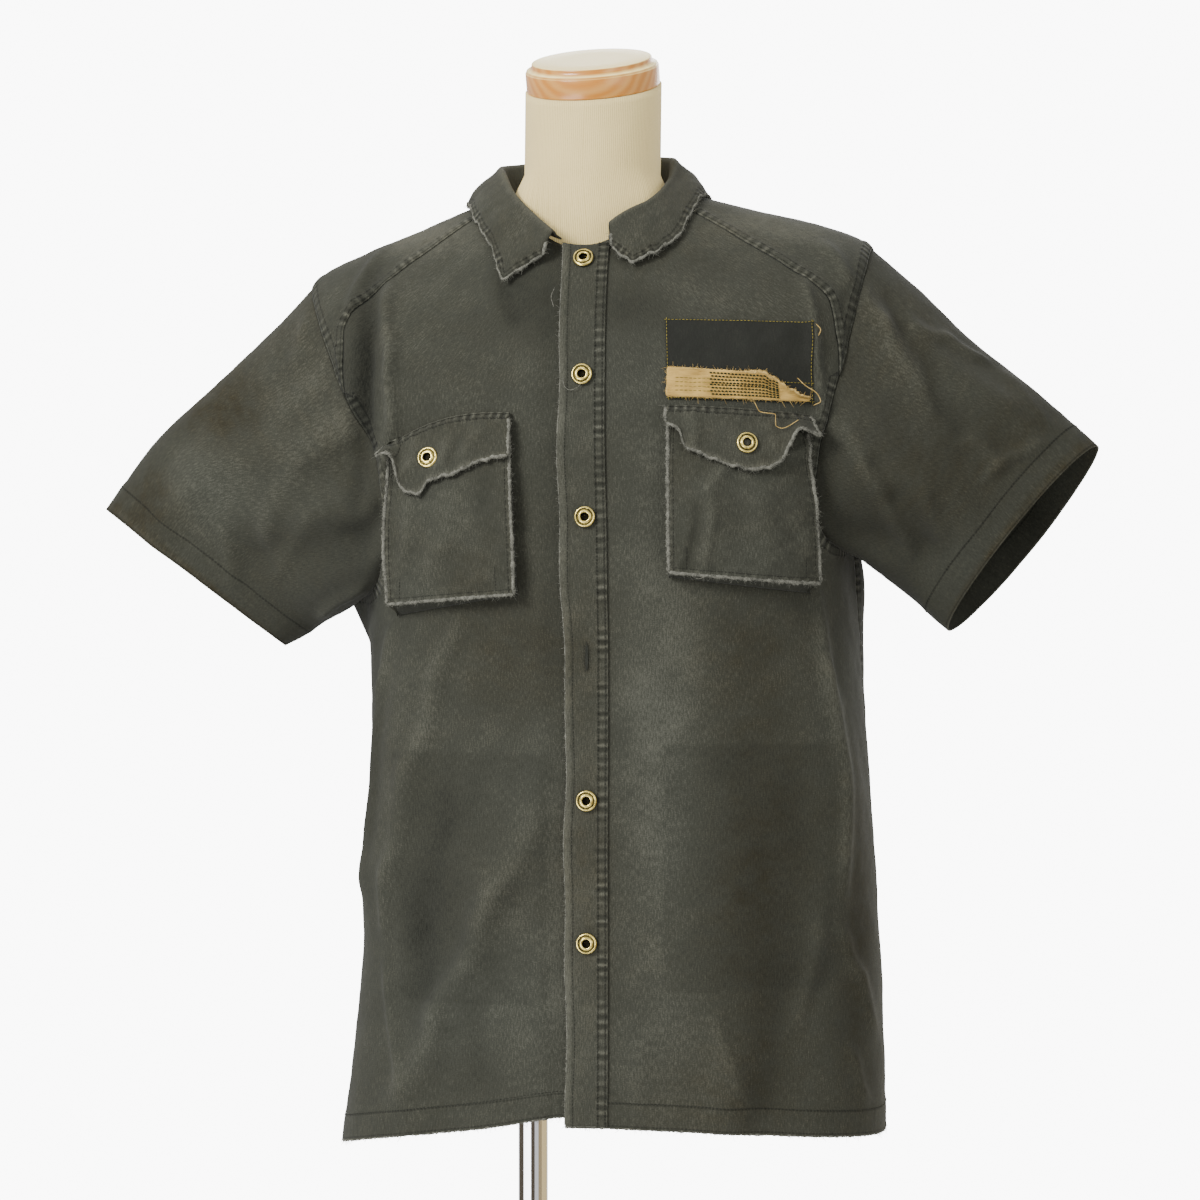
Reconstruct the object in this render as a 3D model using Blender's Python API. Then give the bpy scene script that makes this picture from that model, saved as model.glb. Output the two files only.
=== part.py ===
"""Short-sleeved work shirt on a limbless dress form.

Metres, +Z up, -Y is the front, +X is the wearer's left. The origin is the centre of the round base,
on the floor. The body of the shirt is one smooth surface, body(s, t): s runs once round it (0 centre
front, 1 the wearer's left side, 2 centre back, 3 the right side) and t runs from the neckline, 0, to
the hem, 1. Each panel is a patch of that surface between its own seams, with a cloth's thickness, and
what is sewn on a panel is made from the panel's points, moved out.
"""
import math

import bmesh
import bpy
import numpy as np
from mathutils import Matrix, Vector

# --- driving dimensions -------------------------------------------------------------------------
CLOTH = 0.0020           # wall of the twill, with its seam turnings
SEAM_HALF_GAP = 0.0002   # each piece stops this far short of its seam line
REST_GAP = 0.0004        # between pieces that lie on each other
LAP_GAP = 0.0014         # between the two fronts where they overlap
TRIM_CLOTH = 0.0014      # placket strip, patch and tape
POLE_X = -0.055          # the pole stands off the shirt's own middle line by this
PLACE = np.array((-POLE_X, 0.0, 0.0))   # moves the shirt so that the origin is under the pole

OVERLAP = 0.020          # each front runs this far past centre front
PLACKET_WIDTH = 0.036
BUTTON_RADIUS = 0.0085
BUTTON_HEIGHT = 0.0040

# Rings of the shirt body, outer face: where the side, front and back of each ring lie.
RING_COLUMNS = ("x_right", "z_right", "x_left", "z_left", "y_side", "x_mid",
                "y_front", "z_front", "y_back", "z_back", "square_front", "square_back")
RINGS = {
    "neckline":     (-0.0760, 1.2215, 0.0690, 1.2265, -0.010, 0.0035, -0.089, 1.1765, 0.052, 1.232, 2.0, 2.0),
    "collar edge":  (-0.1050, 1.2145, 0.0980, 1.2195, -0.006, 0.0040, -0.108, 1.1470, 0.073, 1.212, 2.1, 2.0),
    "mid shoulder": (-0.1500, 1.1970, 0.1450, 1.2080, 0.000, 0.0055, -0.123, 1.1080, 0.091, 1.180, 2.2, 2.1),
    "shoulder":     (-0.1970, 1.1790, 0.1920, 1.1975, 0.002, 0.0075, -0.133, 1.0680, 0.104, 1.140, 2.4, 2.2),
    "shoulder end": (-0.2430, 1.1505, 0.2370, 1.1770, 0.004, 0.0090, -0.139, 1.0280, 0.112, 1.098, 2.5, 2.3),
    "upper arm":    (-0.2500, 1.0850, 0.2470, 1.1150, 0.004, 0.0105, -0.142, 0.9850, 0.120, 1.045, 2.6, 2.4),
    "mid armhole":  (-0.2360, 1.0100, 0.2390, 1.0450, 0.003, 0.0120, -0.145, 0.9350, 0.127, 0.985, 2.6, 2.5),
    "low armhole":  (-0.2120, 0.9400, 0.2240, 0.9780, 0.000, 0.0130, -0.148, 0.8850, 0.132, 0.925, 2.6, 2.5),
    "underarm":     (-0.1940, 0.8850, 0.2180, 0.9280, -0.002, 0.0140, -0.149, 0.8350, 0.134, 0.868, 2.6, 2.5),
    "ribs":         (-0.1905, 0.7900, 0.2280, 0.8200, -0.004, 0.0140, -0.149, 0.7700, 0.132, 0.780, 2.6, 2.5),
    "waist":        (-0.1925, 0.6600, 0.2385, 0.6800, -0.006, 0.0136, -0.149, 0.6600, 0.127, 0.660, 2.6, 2.5),
    "hip":          (-0.2030, 0.5290, 0.2470, 0.5400, -0.008, 0.0136, -0.148, 0.5450, 0.121, 0.530, 2.5, 2.4),
    "hem":          (-0.2165, 0.4125, 0.2500, 0.4310, -0.010, 0.0129, -0.146, 0.4480, 0.117, 0.415, 2.5, 2.4),
}

# Large soft folds of the body: both ends of each crest or trough, as x and z on the front or back.
FOLD_COLUMNS = ("face", "x_0", "z_0", "x_1", "z_1", "half_width", "depth")
FOLDS = (
    ("front", -0.062, 0.690, -0.172, 0.455, 0.026, 0.007),
    ("front", -0.128, 0.850, -0.185, 0.610, 0.022, 0.005),
    ("front", -0.100, 0.640, -0.110, 0.450, 0.030, -0.006),
    ("front", 0.196, 0.830, 0.212, 0.610, 0.022, 0.006),
    ("front", 0.186, 0.580, 0.150, 0.440, 0.026, -0.005),
    ("front", 0.120, 0.520, 0.142, 0.440, 0.020, 0.005),
    ("back", -0.120, 0.960, -0.165, 0.560, 0.030, 0.008),
    ("back", -0.045, 0.820, -0.075, 0.440, 0.030, -0.007),
    ("back", 0.060, 0.860, 0.085, 0.460, 0.032, 0.008),
    ("back", 0.150, 0.950, 0.190, 0.520, 0.028, 0.007),
)

# Places where the cloth stands out by itself, by s and t.
PUFF_COLUMNS = ("s", "t", "half_s", "half_t", "depth")
PUFFS = (
    (2.96, 0.47, 0.110, 0.045, 0.022),
    (1.12, 0.50, 0.120, 0.060, 0.010),
)


def smooth_column(knots, values, at):
    """Read a table column at any knot, by a cubic that never swells past its rows."""
    steps = np.diff(knots)
    secants = np.diff(values) / steps
    slopes = np.empty_like(values)
    slopes[0], slopes[-1] = secants[0], secants[-1]
    before, after = secants[:-1], secants[1:]
    same_way = before * after > 0
    total = np.where(same_way, before + after, 1.0)
    slopes[1:-1] = np.where(same_way, 2 * before * after / total, 0.0)
    k = np.clip(np.searchsorted(knots, at, side="right") - 1, 0, len(steps) - 1)
    step = steps[k]
    q = (at - knots[k]) / step
    return (values[k] * (2 * q**3 - 3 * q**2 + 1) + slopes[k] * step * (q**3 - 2 * q**2 + q)
            + values[k + 1] * (3 * q**2 - 2 * q**3) + slopes[k + 1] * step * (q**3 - q**2))


def ramp(x, start, end):
    """0 before start, 1 after end, smooth between."""
    q = np.clip((x - start) / (end - start), 0.0, 1.0)
    return q * q * (3 - 2 * q)


RING_TABLE = np.array(list(RINGS.values()), dtype=float)
RING = {name: RING_TABLE[:, k] for k, name in enumerate(RING_COLUMNS)}


def ring_knots():
    """t of each ring: its mean way down from the neckline over front, back and both sides."""
    steps = np.zeros(len(RING_TABLE) - 1)
    for across, down in (("x_right", "z_right"), ("x_left", "z_left"),
                         ("y_front", "z_front"), ("y_back", "z_back")):
        steps += np.hypot(np.diff(RING[across]), np.diff(RING[down])) / 4
    way = np.concatenate(([0.0], np.cumsum(steps)))
    return way / way[-1], way[-1]


KNOTS, BODY_LENGTH = ring_knots()
T_OF = dict(zip(RINGS, KNOTS))


def ring_value(column, t):
    return smooth_column(KNOTS, RING[column], np.asarray(t, dtype=float))


def smooth_body(s, t):
    """Point of the body's outer face without its folds."""
    s, t = np.broadcast_arrays(np.asarray(s, dtype=float), np.asarray(t, dtype=float))
    turn = s * math.pi / 2
    across, ahead = np.sin(turn), np.cos(turn)
    row = {name: ring_value(name, t) for name in RING_COLUMNS}
    front = ahead > 0
    power = np.where(front, row["square_front"], row["square_back"])
    swell = (np.abs(across)**power + np.abs(ahead)**power)**(-1 / power)
    half_width = np.where(across > 0, row["x_left"] - row["x_mid"], row["x_mid"] - row["x_right"])
    half_depth = np.where(front, row["y_side"] - row["y_front"], row["y_back"] - row["y_side"])
    x = row["x_mid"] + across * swell * half_width
    y = row["y_side"] - ahead * swell * half_depth
    z_side = np.where(across > 0, row["z_left"], row["z_right"])
    z_face = np.where(front, row["z_front"], row["z_back"])
    z = z_face * ahead**2 + z_side * across**2
    return np.stack([x, y, z], axis=-1)


def normals_of(surface, s, t, step=1e-3):
    """Outward unit normals of surface(s, t), by small steps either way."""
    along = surface(s + step, t) - surface(s - step, t)
    low, high = np.clip(t - step, 0, 1), np.clip(t + step, 0, 1)
    down = surface(s, high) - surface(s, low)
    normal = np.cross(down, along)
    return normal / np.linalg.norm(normal, axis=-1, keepdims=True)


def fold_height(points, facing):
    """How far the large folds lift the cloth at each point; facing is the normal's y."""
    height = np.zeros(points.shape[:-1])
    for face, x_0, z_0, x_1, z_1, half_width, depth in FOLDS:
        start, way = np.array((x_0, z_0)), np.array((x_1 - x_0, z_1 - z_0))
        flat = points[..., [0, 2]] - start
        q = (flat @ way) / (way @ way)
        away = np.abs(flat[..., 0] * way[1] - flat[..., 1] * way[0]) / np.hypot(*way)
        ends = ramp(q, -0.25, 0.3) * (1 - ramp(q, 0.75, 1.25))
        side = ramp(-facing if face == "front" else facing, 0.05, 0.45)
        height += depth * ends * side * np.exp(-(away / half_width)**2)
    return height


def puff_height(s, t):
    height = np.zeros(s.shape)
    for at_s, at_t, half_s, half_t, depth in PUFFS:
        height += depth * np.exp(-((s - at_s) / half_s)**2 - ((t - at_t) / half_t)**2)
    return height


def body(s, t, lift=0.0):
    """Points and normals of the folded body, lifted off its outer face."""
    s, t = np.broadcast_arrays(np.asarray(s, dtype=float), np.asarray(t, dtype=float))
    points = smooth_body(s, t)
    normals = normals_of(smooth_body, s, t)
    height = fold_height(points, normals[..., 1]) + puff_height(s, t) + lift
    return points + normals * height[..., None], normals


def find_on_front(x, z):
    """(s, t) of the front's point that is seen at x, z."""
    goal = np.stack(np.broadcast_arrays(np.asarray(x, float), np.asarray(z, float)), axis=-1)
    s = np.clip(goal[..., 0] * 3.5, -0.8, 0.8)
    t = np.clip((1.18 - goal[..., 1]) / 0.74, 0.02, 0.98)
    step = 1e-4
    for _ in range(40):
        here = smooth_body(s, t)[..., [0, 2]]
        by_s = (smooth_body(s + step, t)[..., [0, 2]] - here) / step
        by_t = (smooth_body(s, np.clip(t + step, 0, 1))[..., [0, 2]] - here) / step
        miss = goal - here
        scale = by_s[..., 0] * by_t[..., 1] - by_s[..., 1] * by_t[..., 0]
        ds = (miss[..., 0] * by_t[..., 1] - miss[..., 1] * by_t[..., 0]) / scale
        dt = (miss[..., 1] * by_s[..., 0] - miss[..., 0] * by_s[..., 1]) / scale
        s = np.clip(s + np.clip(ds, -0.1, 0.1), -0.98, 0.98)
        t = np.clip(t + np.clip(dt, -0.1, 0.1), 0.0, 0.999)
    return s, t


# --- seam lines on the body, as rows of (s, t) ----------------------------------------------------
YOKE_AT_NECK = 0.745      # s from centre front to the yoke's front seam, along the neckline
YOKE_BACK_AT_NECK = 1.50  # and to its back seam
SHOULDER_CELLS = 6        # of a yoke's grid, across the shoulder line
YOKE_CELLS = 5            # along each yoke seam
NECK_CELLS = 9            # of a front's neckline, past the overlap
BACK_NECK_CELLS = 16
ARMHOLE_CELLS = 7         # of each armhole, below the yoke seam, front and back
SIDE_CELLS = 12           # of a side seam
FOLD_BACK = 0.022         # over which the under front rises to the body's face

ARMHOLE_COLUMNS = ("side_s", "front_reach", "back_reach", "front_yoke_turn", "back_yoke_turn")
ARMHOLES = {
    "left": (1.0, 0.45, 0.34, math.radians(60), math.radians(42)),
    "right": (3.0, 0.56, 0.34, math.radians(52), math.radians(42)),
}
ARMHOLE_SQUARE = 0.7      # below 1, the armhole is fuller at its shoulder and underarm ends
YOKE_BOW = {"left": 0.035, "right": 0.0}   # how far the front yoke seam bows to the middle, in s
SIGN = {"left": 1.0, "right": -1.0}


def overlap_at(t):
    """How far the fronts run past centre front: less at the collar than lower down."""
    return OVERLAP * (0.78 + 0.16 * ramp(t, 0.0, 0.25))


def s_of_offset(side, offset, t):
    """s of the front point that lies offset from the middle, towards the named side."""
    t = np.asarray(t, dtype=float)
    edge = ring_value("x_left", t) if side == "left" else ring_value("x_right", t)
    half_width = np.abs(edge - ring_value("x_mid", t))
    return SIGN[side] * np.arcsin(np.clip(offset / half_width, -1, 1)) * 2 / math.pi


def armhole_point(side, turn):
    """(s, t) round an armhole: turn 0 is the shoulder point, pi the underarm, front between."""
    side_s, front_reach, back_reach, _, _ = ARMHOLES[side]
    turn = np.asarray(turn, dtype=float)
    top, bottom = T_OF["shoulder end"], T_OF["underarm"]
    t = top + (bottom - top) * (1 - np.cos(turn)) / 2
    reach = np.where(np.sin(turn) > 0, front_reach, back_reach)
    forward = -1.0 if side == "left" else 1.0
    swing = np.sign(np.sin(turn)) * np.abs(np.sin(turn))**ARMHOLE_SQUARE
    return np.stack([side_s + forward * reach * swing, t], axis=-1)


def line(start, end, cells):
    q = np.linspace(0, 1, cells + 1)[:, None]
    return np.asarray(start) * (1 - q) + np.asarray(end) * q


def coons(top, bottom, first, last):
    """Fill four edges of (s, t) rows with a grid; first and last run from top to bottom."""
    u = np.linspace(0, 1, len(top))[None, :, None]
    v = np.linspace(0, 1, len(first))[:, None, None]
    between = (1 - v) * top[None] + v * bottom[None] + (1 - u) * first[:, None] + u * last[:, None]
    corners = ((1 - u) * (1 - v) * top[0] + u * (1 - v) * top[-1]
               + (1 - u) * v * bottom[0] + u * v * bottom[-1])
    return between - corners


def ring_s(side, turn_s):
    """s on the named side, counted from centre front either way."""
    return turn_s if side == "left" else 4.0 - turn_s


def yoke_seam(side, at_neck, armhole_turn):
    corner = armhole_point(side, armhole_turn)
    seam = line((ring_s(side, at_neck), 0.0), corner, YOKE_CELLS)
    if armhole_turn > 0:
        bow = YOKE_BOW[side] * np.sin(np.linspace(0, math.pi, YOKE_CELLS + 1))
        seam[:, 0] -= SIGN[side] * bow
    return seam


def panel_edge(side, at_neck, turn, underarm_turn):
    """(s, t) down a panel's outer edge: its yoke seam, the armhole's lower part, the side seam."""
    seam = yoke_seam(side, at_neck, turn)
    arm = armhole_point(side, np.linspace(turn, underarm_turn, ARMHOLE_CELLS + 1))
    low = line(arm[-1], (ring_s(side, 1.0), 1.0), SIDE_CELLS)
    return np.vstack([seam, arm[1:], low[1:]])


def panel_rows():
    """t of a panel's rows where they meet its free or middle edge."""
    yoke_t, underarm_t = T_OF["shoulder end"], T_OF["underarm"]
    return np.concatenate([np.linspace(0, yoke_t, YOKE_CELLS + 1),
                           np.linspace(yoke_t, underarm_t, ARMHOLE_CELLS + 1)[1:],
                           np.linspace(underarm_t, 1, SIDE_CELLS + 1)[1:]])


def front_patch(side):
    """(s, t) grid of one front: its first column is its free edge, past centre front."""
    wrap = 4.0 if side == "right" else 0.0

    def overlap_row(t):
        past = float(overlap_at(t))
        offsets = np.array((-past, 0.0, past + 0.002, past + FOLD_BACK))
        return np.stack([s_of_offset(side, offsets, t) + wrap, np.full(4, t)], axis=-1)

    last = panel_edge(side, YOKE_AT_NECK, ARMHOLES[side][3], math.pi)
    neck = line(overlap_row(0.0)[-1], last[0], NECK_CELLS)
    hem = line(overlap_row(1.0)[-1], last[-1], NECK_CELLS)
    top = np.vstack([overlap_row(0.0)[:-1], neck])
    bottom = np.vstack([overlap_row(1.0)[:-1], hem])
    first = np.array([overlap_row(t)[0] for t in panel_rows()])
    return coons(top, bottom, first, last)


def yoke_patch(side):
    """(s, t) grid of one shoulder yoke, from its front seam to its back seam."""
    _, _, _, front_turn, back_turn = ARMHOLES[side]
    front = yoke_seam(side, YOKE_AT_NECK, front_turn)
    back = yoke_seam(side, YOKE_BACK_AT_NECK, -back_turn)
    neck = line(front[0], back[0], SHOULDER_CELLS)
    arm = armhole_point(side, np.linspace(front_turn, -back_turn, SHOULDER_CELLS + 1))
    return coons(front, back, neck, arm)


def back_patch():
    """(s, t) grid of the back, from the left side seam to the right one."""
    left, right = (panel_edge(side, YOKE_BACK_AT_NECK, -ARMHOLES[side][4], -math.pi)
                   for side in ("left", "right"))
    neck = line(left[0], right[0], BACK_NECK_CELLS)
    hem = line(left[-1], right[-1], BACK_NECK_CELLS)
    return coons(neck, hem, left, right)


# --- meshes ---------------------------------------------------------------------------------------
MATERIALS = {
    "Charcoal twill": ((0.045, 0.045, 0.038), 0.92, 0.0),
    "Unfaded twill": ((0.028, 0.028, 0.024), 0.92, 0.0),
    "Beige tape": ((0.52, 0.40, 0.23), 0.90, 0.0),
    "Brass": ((0.66, 0.55, 0.30), 0.32, 1.0),
    "Rib-knit cover": ((0.63, 0.56, 0.42), 0.95, 0.0),
    "Varnished maple": ((0.60, 0.37, 0.13), 0.30, 0.0),
    "Chromed steel": ((0.75, 0.75, 0.76), 0.12, 1.0),
    "Painted steel": ((0.78, 0.77, 0.74), 0.40, 0.0),
}


def clear_scene():
    for item in list(bpy.data.objects):
        bpy.data.objects.remove(item, do_unlink=True)


def make_material(kind, name):
    colour, roughness, metallic = MATERIALS[kind]
    material = bpy.data.materials.new(f"{kind} {name}")
    material.use_nodes = True
    shader = material.node_tree.nodes["Principled BSDF"]
    shader.inputs["Base Color"].default_value = (*colour, 1.0)
    shader.inputs["Roughness"].default_value = roughness
    shader.inputs["Metallic"].default_value = metallic
    return material


def finish_object(name, bm, kind, place=PLACE):
    """Turn a closed bmesh into the named object, moved to its place over the base."""
    bmesh.ops.translate(bm, verts=bm.verts, vec=Vector(place))
    bmesh.ops.triangulate(bm, faces=bm.faces)
    bmesh.ops.recalc_face_normals(bm, faces=bm.faces)
    mesh = bpy.data.meshes.new(name)
    bm.to_mesh(mesh)
    bm.free()
    mesh.shade_smooth()
    mesh.set_sharp_from_angle(angle=math.radians(40))
    mesh.materials.append(make_material(kind, name))
    item = bpy.data.objects.new(name, mesh)
    bpy.context.scene.collection.objects.link(item)
    return item


def draw_in(grid, amount, closed_round=False):
    """Stop a sheet short of its four edges, so that sewn neighbours lie just apart."""
    grid = grid.copy()

    def pull(edge, inner):
        way = inner - edge
        return edge + way / np.linalg.norm(way, axis=-1, keepdims=True) * amount

    first, last = pull(grid[0], grid[1]), pull(grid[-1], grid[-2])
    grid[0], grid[-1] = first, last
    if not closed_round:
        first, last = pull(grid[:, 0], grid[:, 1]), pull(grid[:, -1], grid[:, -2])
        grid[:, 0], grid[:, -1] = first, last
    return grid


def wall(name, outer, inner, kind, closed_round=False):
    """Close an outer and an inner grid of points into one wall of cloth."""
    rows, columns = outer.shape[:2]
    bm = bmesh.new()
    skins = [[[bm.verts.new(point) for point in row] for row in grid] for grid in (outer, inner)]
    spans = columns if closed_round else columns - 1
    for skin in skins:
        for i in range(rows - 1):
            for j in range(spans):
                k = (j + 1) % columns
                bm.faces.new((skin[i][j], skin[i + 1][j], skin[i + 1][k], skin[i][k]))
    over, under = skins
    for i in (0, rows - 1):
        for j in range(spans):
            k = (j + 1) % columns
            bm.faces.new((over[i][j], over[i][k], under[i][k], under[i][j]))
    if not closed_round:
        for j in (0, columns - 1):
            for i in range(rows - 1):
                bm.faces.new((over[i][j], over[i + 1][j], under[i + 1][j], under[i][j]))
    return finish_object(name, bm, kind)


def grid_normals(grid, closed_round=False):
    """Unit normals of a grid of points: down its columns crossed with along its rows."""
    down = np.gradient(grid, axis=0)
    if closed_round:
        along = np.roll(grid, -1, axis=1) - np.roll(grid, 1, axis=1)
    else:
        along = np.gradient(grid, axis=1)
    normal = np.cross(down, along)
    return normal / np.linalg.norm(normal, axis=-1, keepdims=True)


def under_lap(side, s, t):
    """How far the right front sinks, so that it passes under the left one."""
    if side == "left":
        return np.zeros(s.shape)
    offset = -(smooth_body(s, t)[..., 0] - ring_value("x_mid", t))
    past = overlap_at(t)
    return (CLOTH + LAP_GAP) * (1 - ramp(offset, past + 0.006, past + FOLD_BACK))


def body_panel(name, patch, sink=None):
    s, t = patch[..., 0], patch[..., 1]
    lift = np.zeros(s.shape) if sink is None else -sink
    outer, normals = body(s, t, lift)
    inner = outer - normals * CLOTH
    wall(name, draw_in(outer, SEAM_HALF_GAP), draw_in(inner, SEAM_HALF_GAP), "Charcoal twill")


def build_body():
    for side in ("left", "right"):
        patch = front_patch(side)
        body_panel(f"front_{side}", patch, under_lap(side, patch[..., 0], patch[..., 1]))
        body_panel(f"yoke_{side}", yoke_patch(side))
    body_panel("back", back_patch())


# --- sleeves --------------------------------------------------------------------------------------
# Top and bottom edge of each section, from the armhole out to the cuff, seen from the front.
SLEEVE_COLUMNS = ("way", "x_top", "z_top", "x_bottom", "z_bottom", "y", "half_depth", "lead")
SLEEVES = {
    "right": (
        (0.00, -0.2430, 1.1505, -0.1960, 0.8850, -0.012, 0.085, 0.000),
        (0.20, -0.2800, 1.1130, -0.2080, 0.8740, -0.012, 0.082, 0.000),
        (0.45, -0.3280, 1.0660, -0.2260, 0.8620, -0.014, 0.073, 0.002),
        (0.75, -0.3850, 1.0130, -0.2500, 0.8490, -0.018, 0.057, 0.004),
        (1.00, -0.4274, 0.9554, -0.2691, 0.8386, -0.022, 0.041, 0.006),
    ),
    "left": (
        (0.00, 0.2370, 1.1770, 0.2180, 0.9280, -0.008, 0.080, 0.000),
        (0.20, 0.2740, 1.1440, 0.2330, 0.9160, -0.010, 0.078, 0.001),
        (0.45, 0.3230, 1.0970, 0.2530, 0.8960, -0.014, 0.071, 0.003),
        (0.75, 0.3790, 1.0520, 0.2790, 0.8740, -0.020, 0.056, 0.007),
        (1.00, 0.4269, 1.0080, 0.3040, 0.8542, -0.026, 0.040, 0.011),
    ),
}
SLEEVE_ROWS = 9
SLEEVE_SETTLES = 0.75     # share of the sleeve over which the armhole's shape dies away
SLEEVE_START = 0.0004
# Large folds of the sleeves: (side, turn and way of both ends, half width, depth).
SLEEVE_FOLD_COLUMNS = ("side", "turn_0", "way_0", "turn_1", "way_1", "half_width", "depth")
SLEEVE_FOLDS = (
    ("right", 1.00, 0.10, 1.15, 0.95, 0.20, 0.005),
    ("right", 1.75, 0.05, 1.95, 0.80, 0.22, -0.006),
    ("left", 0.65, 0.05, 0.80, 0.80, 0.20, 0.005),
    ("left", 1.45, 0.05, 1.70, 0.85, 0.22, 0.005),
    ("left", 2.10, 0.10, 2.20, 0.80, 0.20, -0.005),
    ("right", -1.30, 0.10, -1.50, 0.90, 0.24, 0.006),
    ("left", -1.20, 0.10, -1.45, 0.90, 0.24, 0.006),
)


def sleeve_section(side, way, turn):
    """Point of the plain sleeve: an ellipse in a plane that runs front to back."""
    table = np.array(SLEEVES[side])
    row = {name: smooth_column(table[:, 0], table[:, k], way)
           for k, name in enumerate(SLEEVE_COLUMNS)}
    axis = np.stack([row["x_top"] - row["x_bottom"], 0 * way, row["z_top"] - row["z_bottom"]], -1) / 2
    middle = np.stack([(row["x_top"] + row["x_bottom"]) / 2, row["y"],
                       (row["z_top"] + row["z_bottom"]) / 2], -1)
    out = np.stack([axis[..., 2], 0 * way, -axis[..., 0]], -1) * SIGN[side]
    out /= np.linalg.norm(out, axis=-1, keepdims=True)
    ahead = np.array((0.0, -1.0, 0.0)) * row["half_depth"][..., None] - out * row["lead"][..., None]
    return middle + axis * np.cos(turn)[..., None] + ahead * np.sin(turn)[..., None]


def sleeve_surface(side, way, turn):
    """Outer face of a sleeve: the armhole's own line, settling into the plain sections."""
    way, turn = np.broadcast_arrays(np.asarray(way, float), np.asarray(turn, float))
    st = armhole_point(side, turn)
    start, _ = body(st[..., 0], st[..., 1])
    kept = 1 - ramp(way, 0.0, SLEEVE_SETTLES)
    plain = sleeve_section(side, way, turn)
    return plain + kept[..., None] * (start - sleeve_section(side, 0 * way, turn))


def sleeve_fold_height(side, way, turn):
    height = np.zeros(way.shape)
    for fold_side, turn_0, way_0, turn_1, way_1, half_width, depth in SLEEVE_FOLDS:
        if fold_side != side:
            continue
        q = (way - way_0) / (way_1 - way_0)
        crest = turn_0 + (turn_1 - turn_0) * q
        away = np.angle(np.exp(1j * (turn - crest)))
        ends = ramp(q, -0.1, 0.25) * (1 - ramp(q, 0.7, 1.15))
        height += depth * ends * np.exp(-(away / half_width)**2)
    return height


def armhole_turns(side):
    """Turn of each point round an armhole, at the ends of the panels' own cells."""
    _, _, _, front_turn, back_turn = ARMHOLES[side]
    low_front = np.linspace(front_turn, math.pi, ARMHOLE_CELLS + 1)
    low_back = np.linspace(math.pi, 2 * math.pi - back_turn, ARMHOLE_CELLS + 1)
    yoke = np.linspace(-back_turn, front_turn, SHOULDER_CELLS + 1)
    return np.concatenate([low_front[:-1], low_back[:-1], yoke[:-1]])


def build_sleeves():
    for side in ("left", "right"):
        turns = armhole_turns(side)
        ways = np.linspace(0, 1, SLEEVE_ROWS + 1)[:, None]
        turn_grid = np.broadcast_to(turns, (len(ways), len(turns)))
        way_grid = np.broadcast_to(ways, turn_grid.shape)
        outer = sleeve_surface(side, way_grid, turn_grid)
        centre = outer.mean(axis=1, keepdims=True)
        normals = grid_normals(outer, closed_round=True)
        outward = np.sign(((outer - centre) * normals).sum(axis=-1).mean())
        normals *= outward
        outer = outer + normals * sleeve_fold_height(side, way_grid, turn_grid)[..., None]
        inner = outer - normals * CLOTH
        outer, inner = (draw_in(grid, SLEEVE_START, closed_round=True) for grid in (outer, inner))
        wall(f"sleeve_{side}", outer, inner, "Charcoal twill", closed_round=True)


# --- collar ---------------------------------------------------------------------------------------
# Its fold line round the neck, and its outer edge on the body; s as on the neckline ring.
COLLAR_COLUMNS = ("s", "fold_x", "fold_y", "fold_z", "edge_s", "edge_t", "edge_lift")
COLLAR = (
    (0.150, 0.0159, -0.0970, 1.1845, 0.150, 0.006, 0.0060),
    (0.220, 0.0267, -0.0910, 1.1965, 0.207, 0.018, 0.0060),
    (0.320, 0.0390, -0.0790, 1.2060, 0.262, 0.035, 0.0065),
    (0.450, 0.0535, -0.0665, 1.2145, 0.345, 0.043, 0.0070),
    (0.600, 0.0635, -0.0445, 1.2275, 0.470, 0.046, 0.0060),
    (0.800, 0.0675, -0.0165, 1.2410, 0.720, 0.036, 0.0045),
    (1.000, 0.0670, 0.0100, 1.2555, 1.000, 0.032, 0.0045),
    (1.400, 0.0500, 0.0430, 1.2610, 1.400, 0.052, 0.0050),
    (2.000, -0.0070, 0.0600, 1.2640, 2.000, 0.058, 0.0050),
    (2.600, -0.0680, 0.0460, 1.2570, 2.600, 0.050, 0.0050),
    (3.000, -0.0850, 0.0130, 1.2515, 3.000, 0.038, 0.0045),
    (3.200, -0.0800, -0.0110, 1.2465, 3.210, 0.037, 0.0045),
    (3.400, -0.0710, -0.0360, 1.2340, 3.460, 0.040, 0.0050),
    (3.550, -0.0600, -0.0570, 1.2200, 3.600, 0.052, 0.0060),
    (3.680, -0.0440, -0.0750, 1.2050, 3.668, 0.062, 0.0070),
    (3.800, -0.0275, -0.0915, 1.1915, 3.745, 0.036, 0.0060),
    (3.870, -0.0145, -0.0990, 1.1810, 3.855, 0.008, 0.0060),
)
FOLD_RADIUS = 0.0034
COLLAR_ROOT_GAP = 0.0013
COLLAR_END_IN = 0.03      # in s: the collar's ends stop this far short of the fronts' overlap


def neckline_stations():
    """s of every panel corner along the neckline, from the left collar end to the right one."""
    past_lap = 2
    neck_end = 3 + NECK_CELLS
    left_front = front_patch("left")[0, past_lap:neck_end + 1, 0]
    right_front = front_patch("right")[0, past_lap:neck_end + 1, 0]
    left_yoke = yoke_patch("left")[:, 0, 0]
    right_yoke = yoke_patch("right")[:, 0, 0]
    back = back_patch()[0, :, 0]
    stations = np.concatenate([left_front, left_yoke[1:], back[1:], right_yoke[::-1][1:],
                               right_front[::-1][1:]])
    stations[0] += COLLAR_END_IN
    stations[-1] -= COLLAR_END_IN
    return stations


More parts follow.
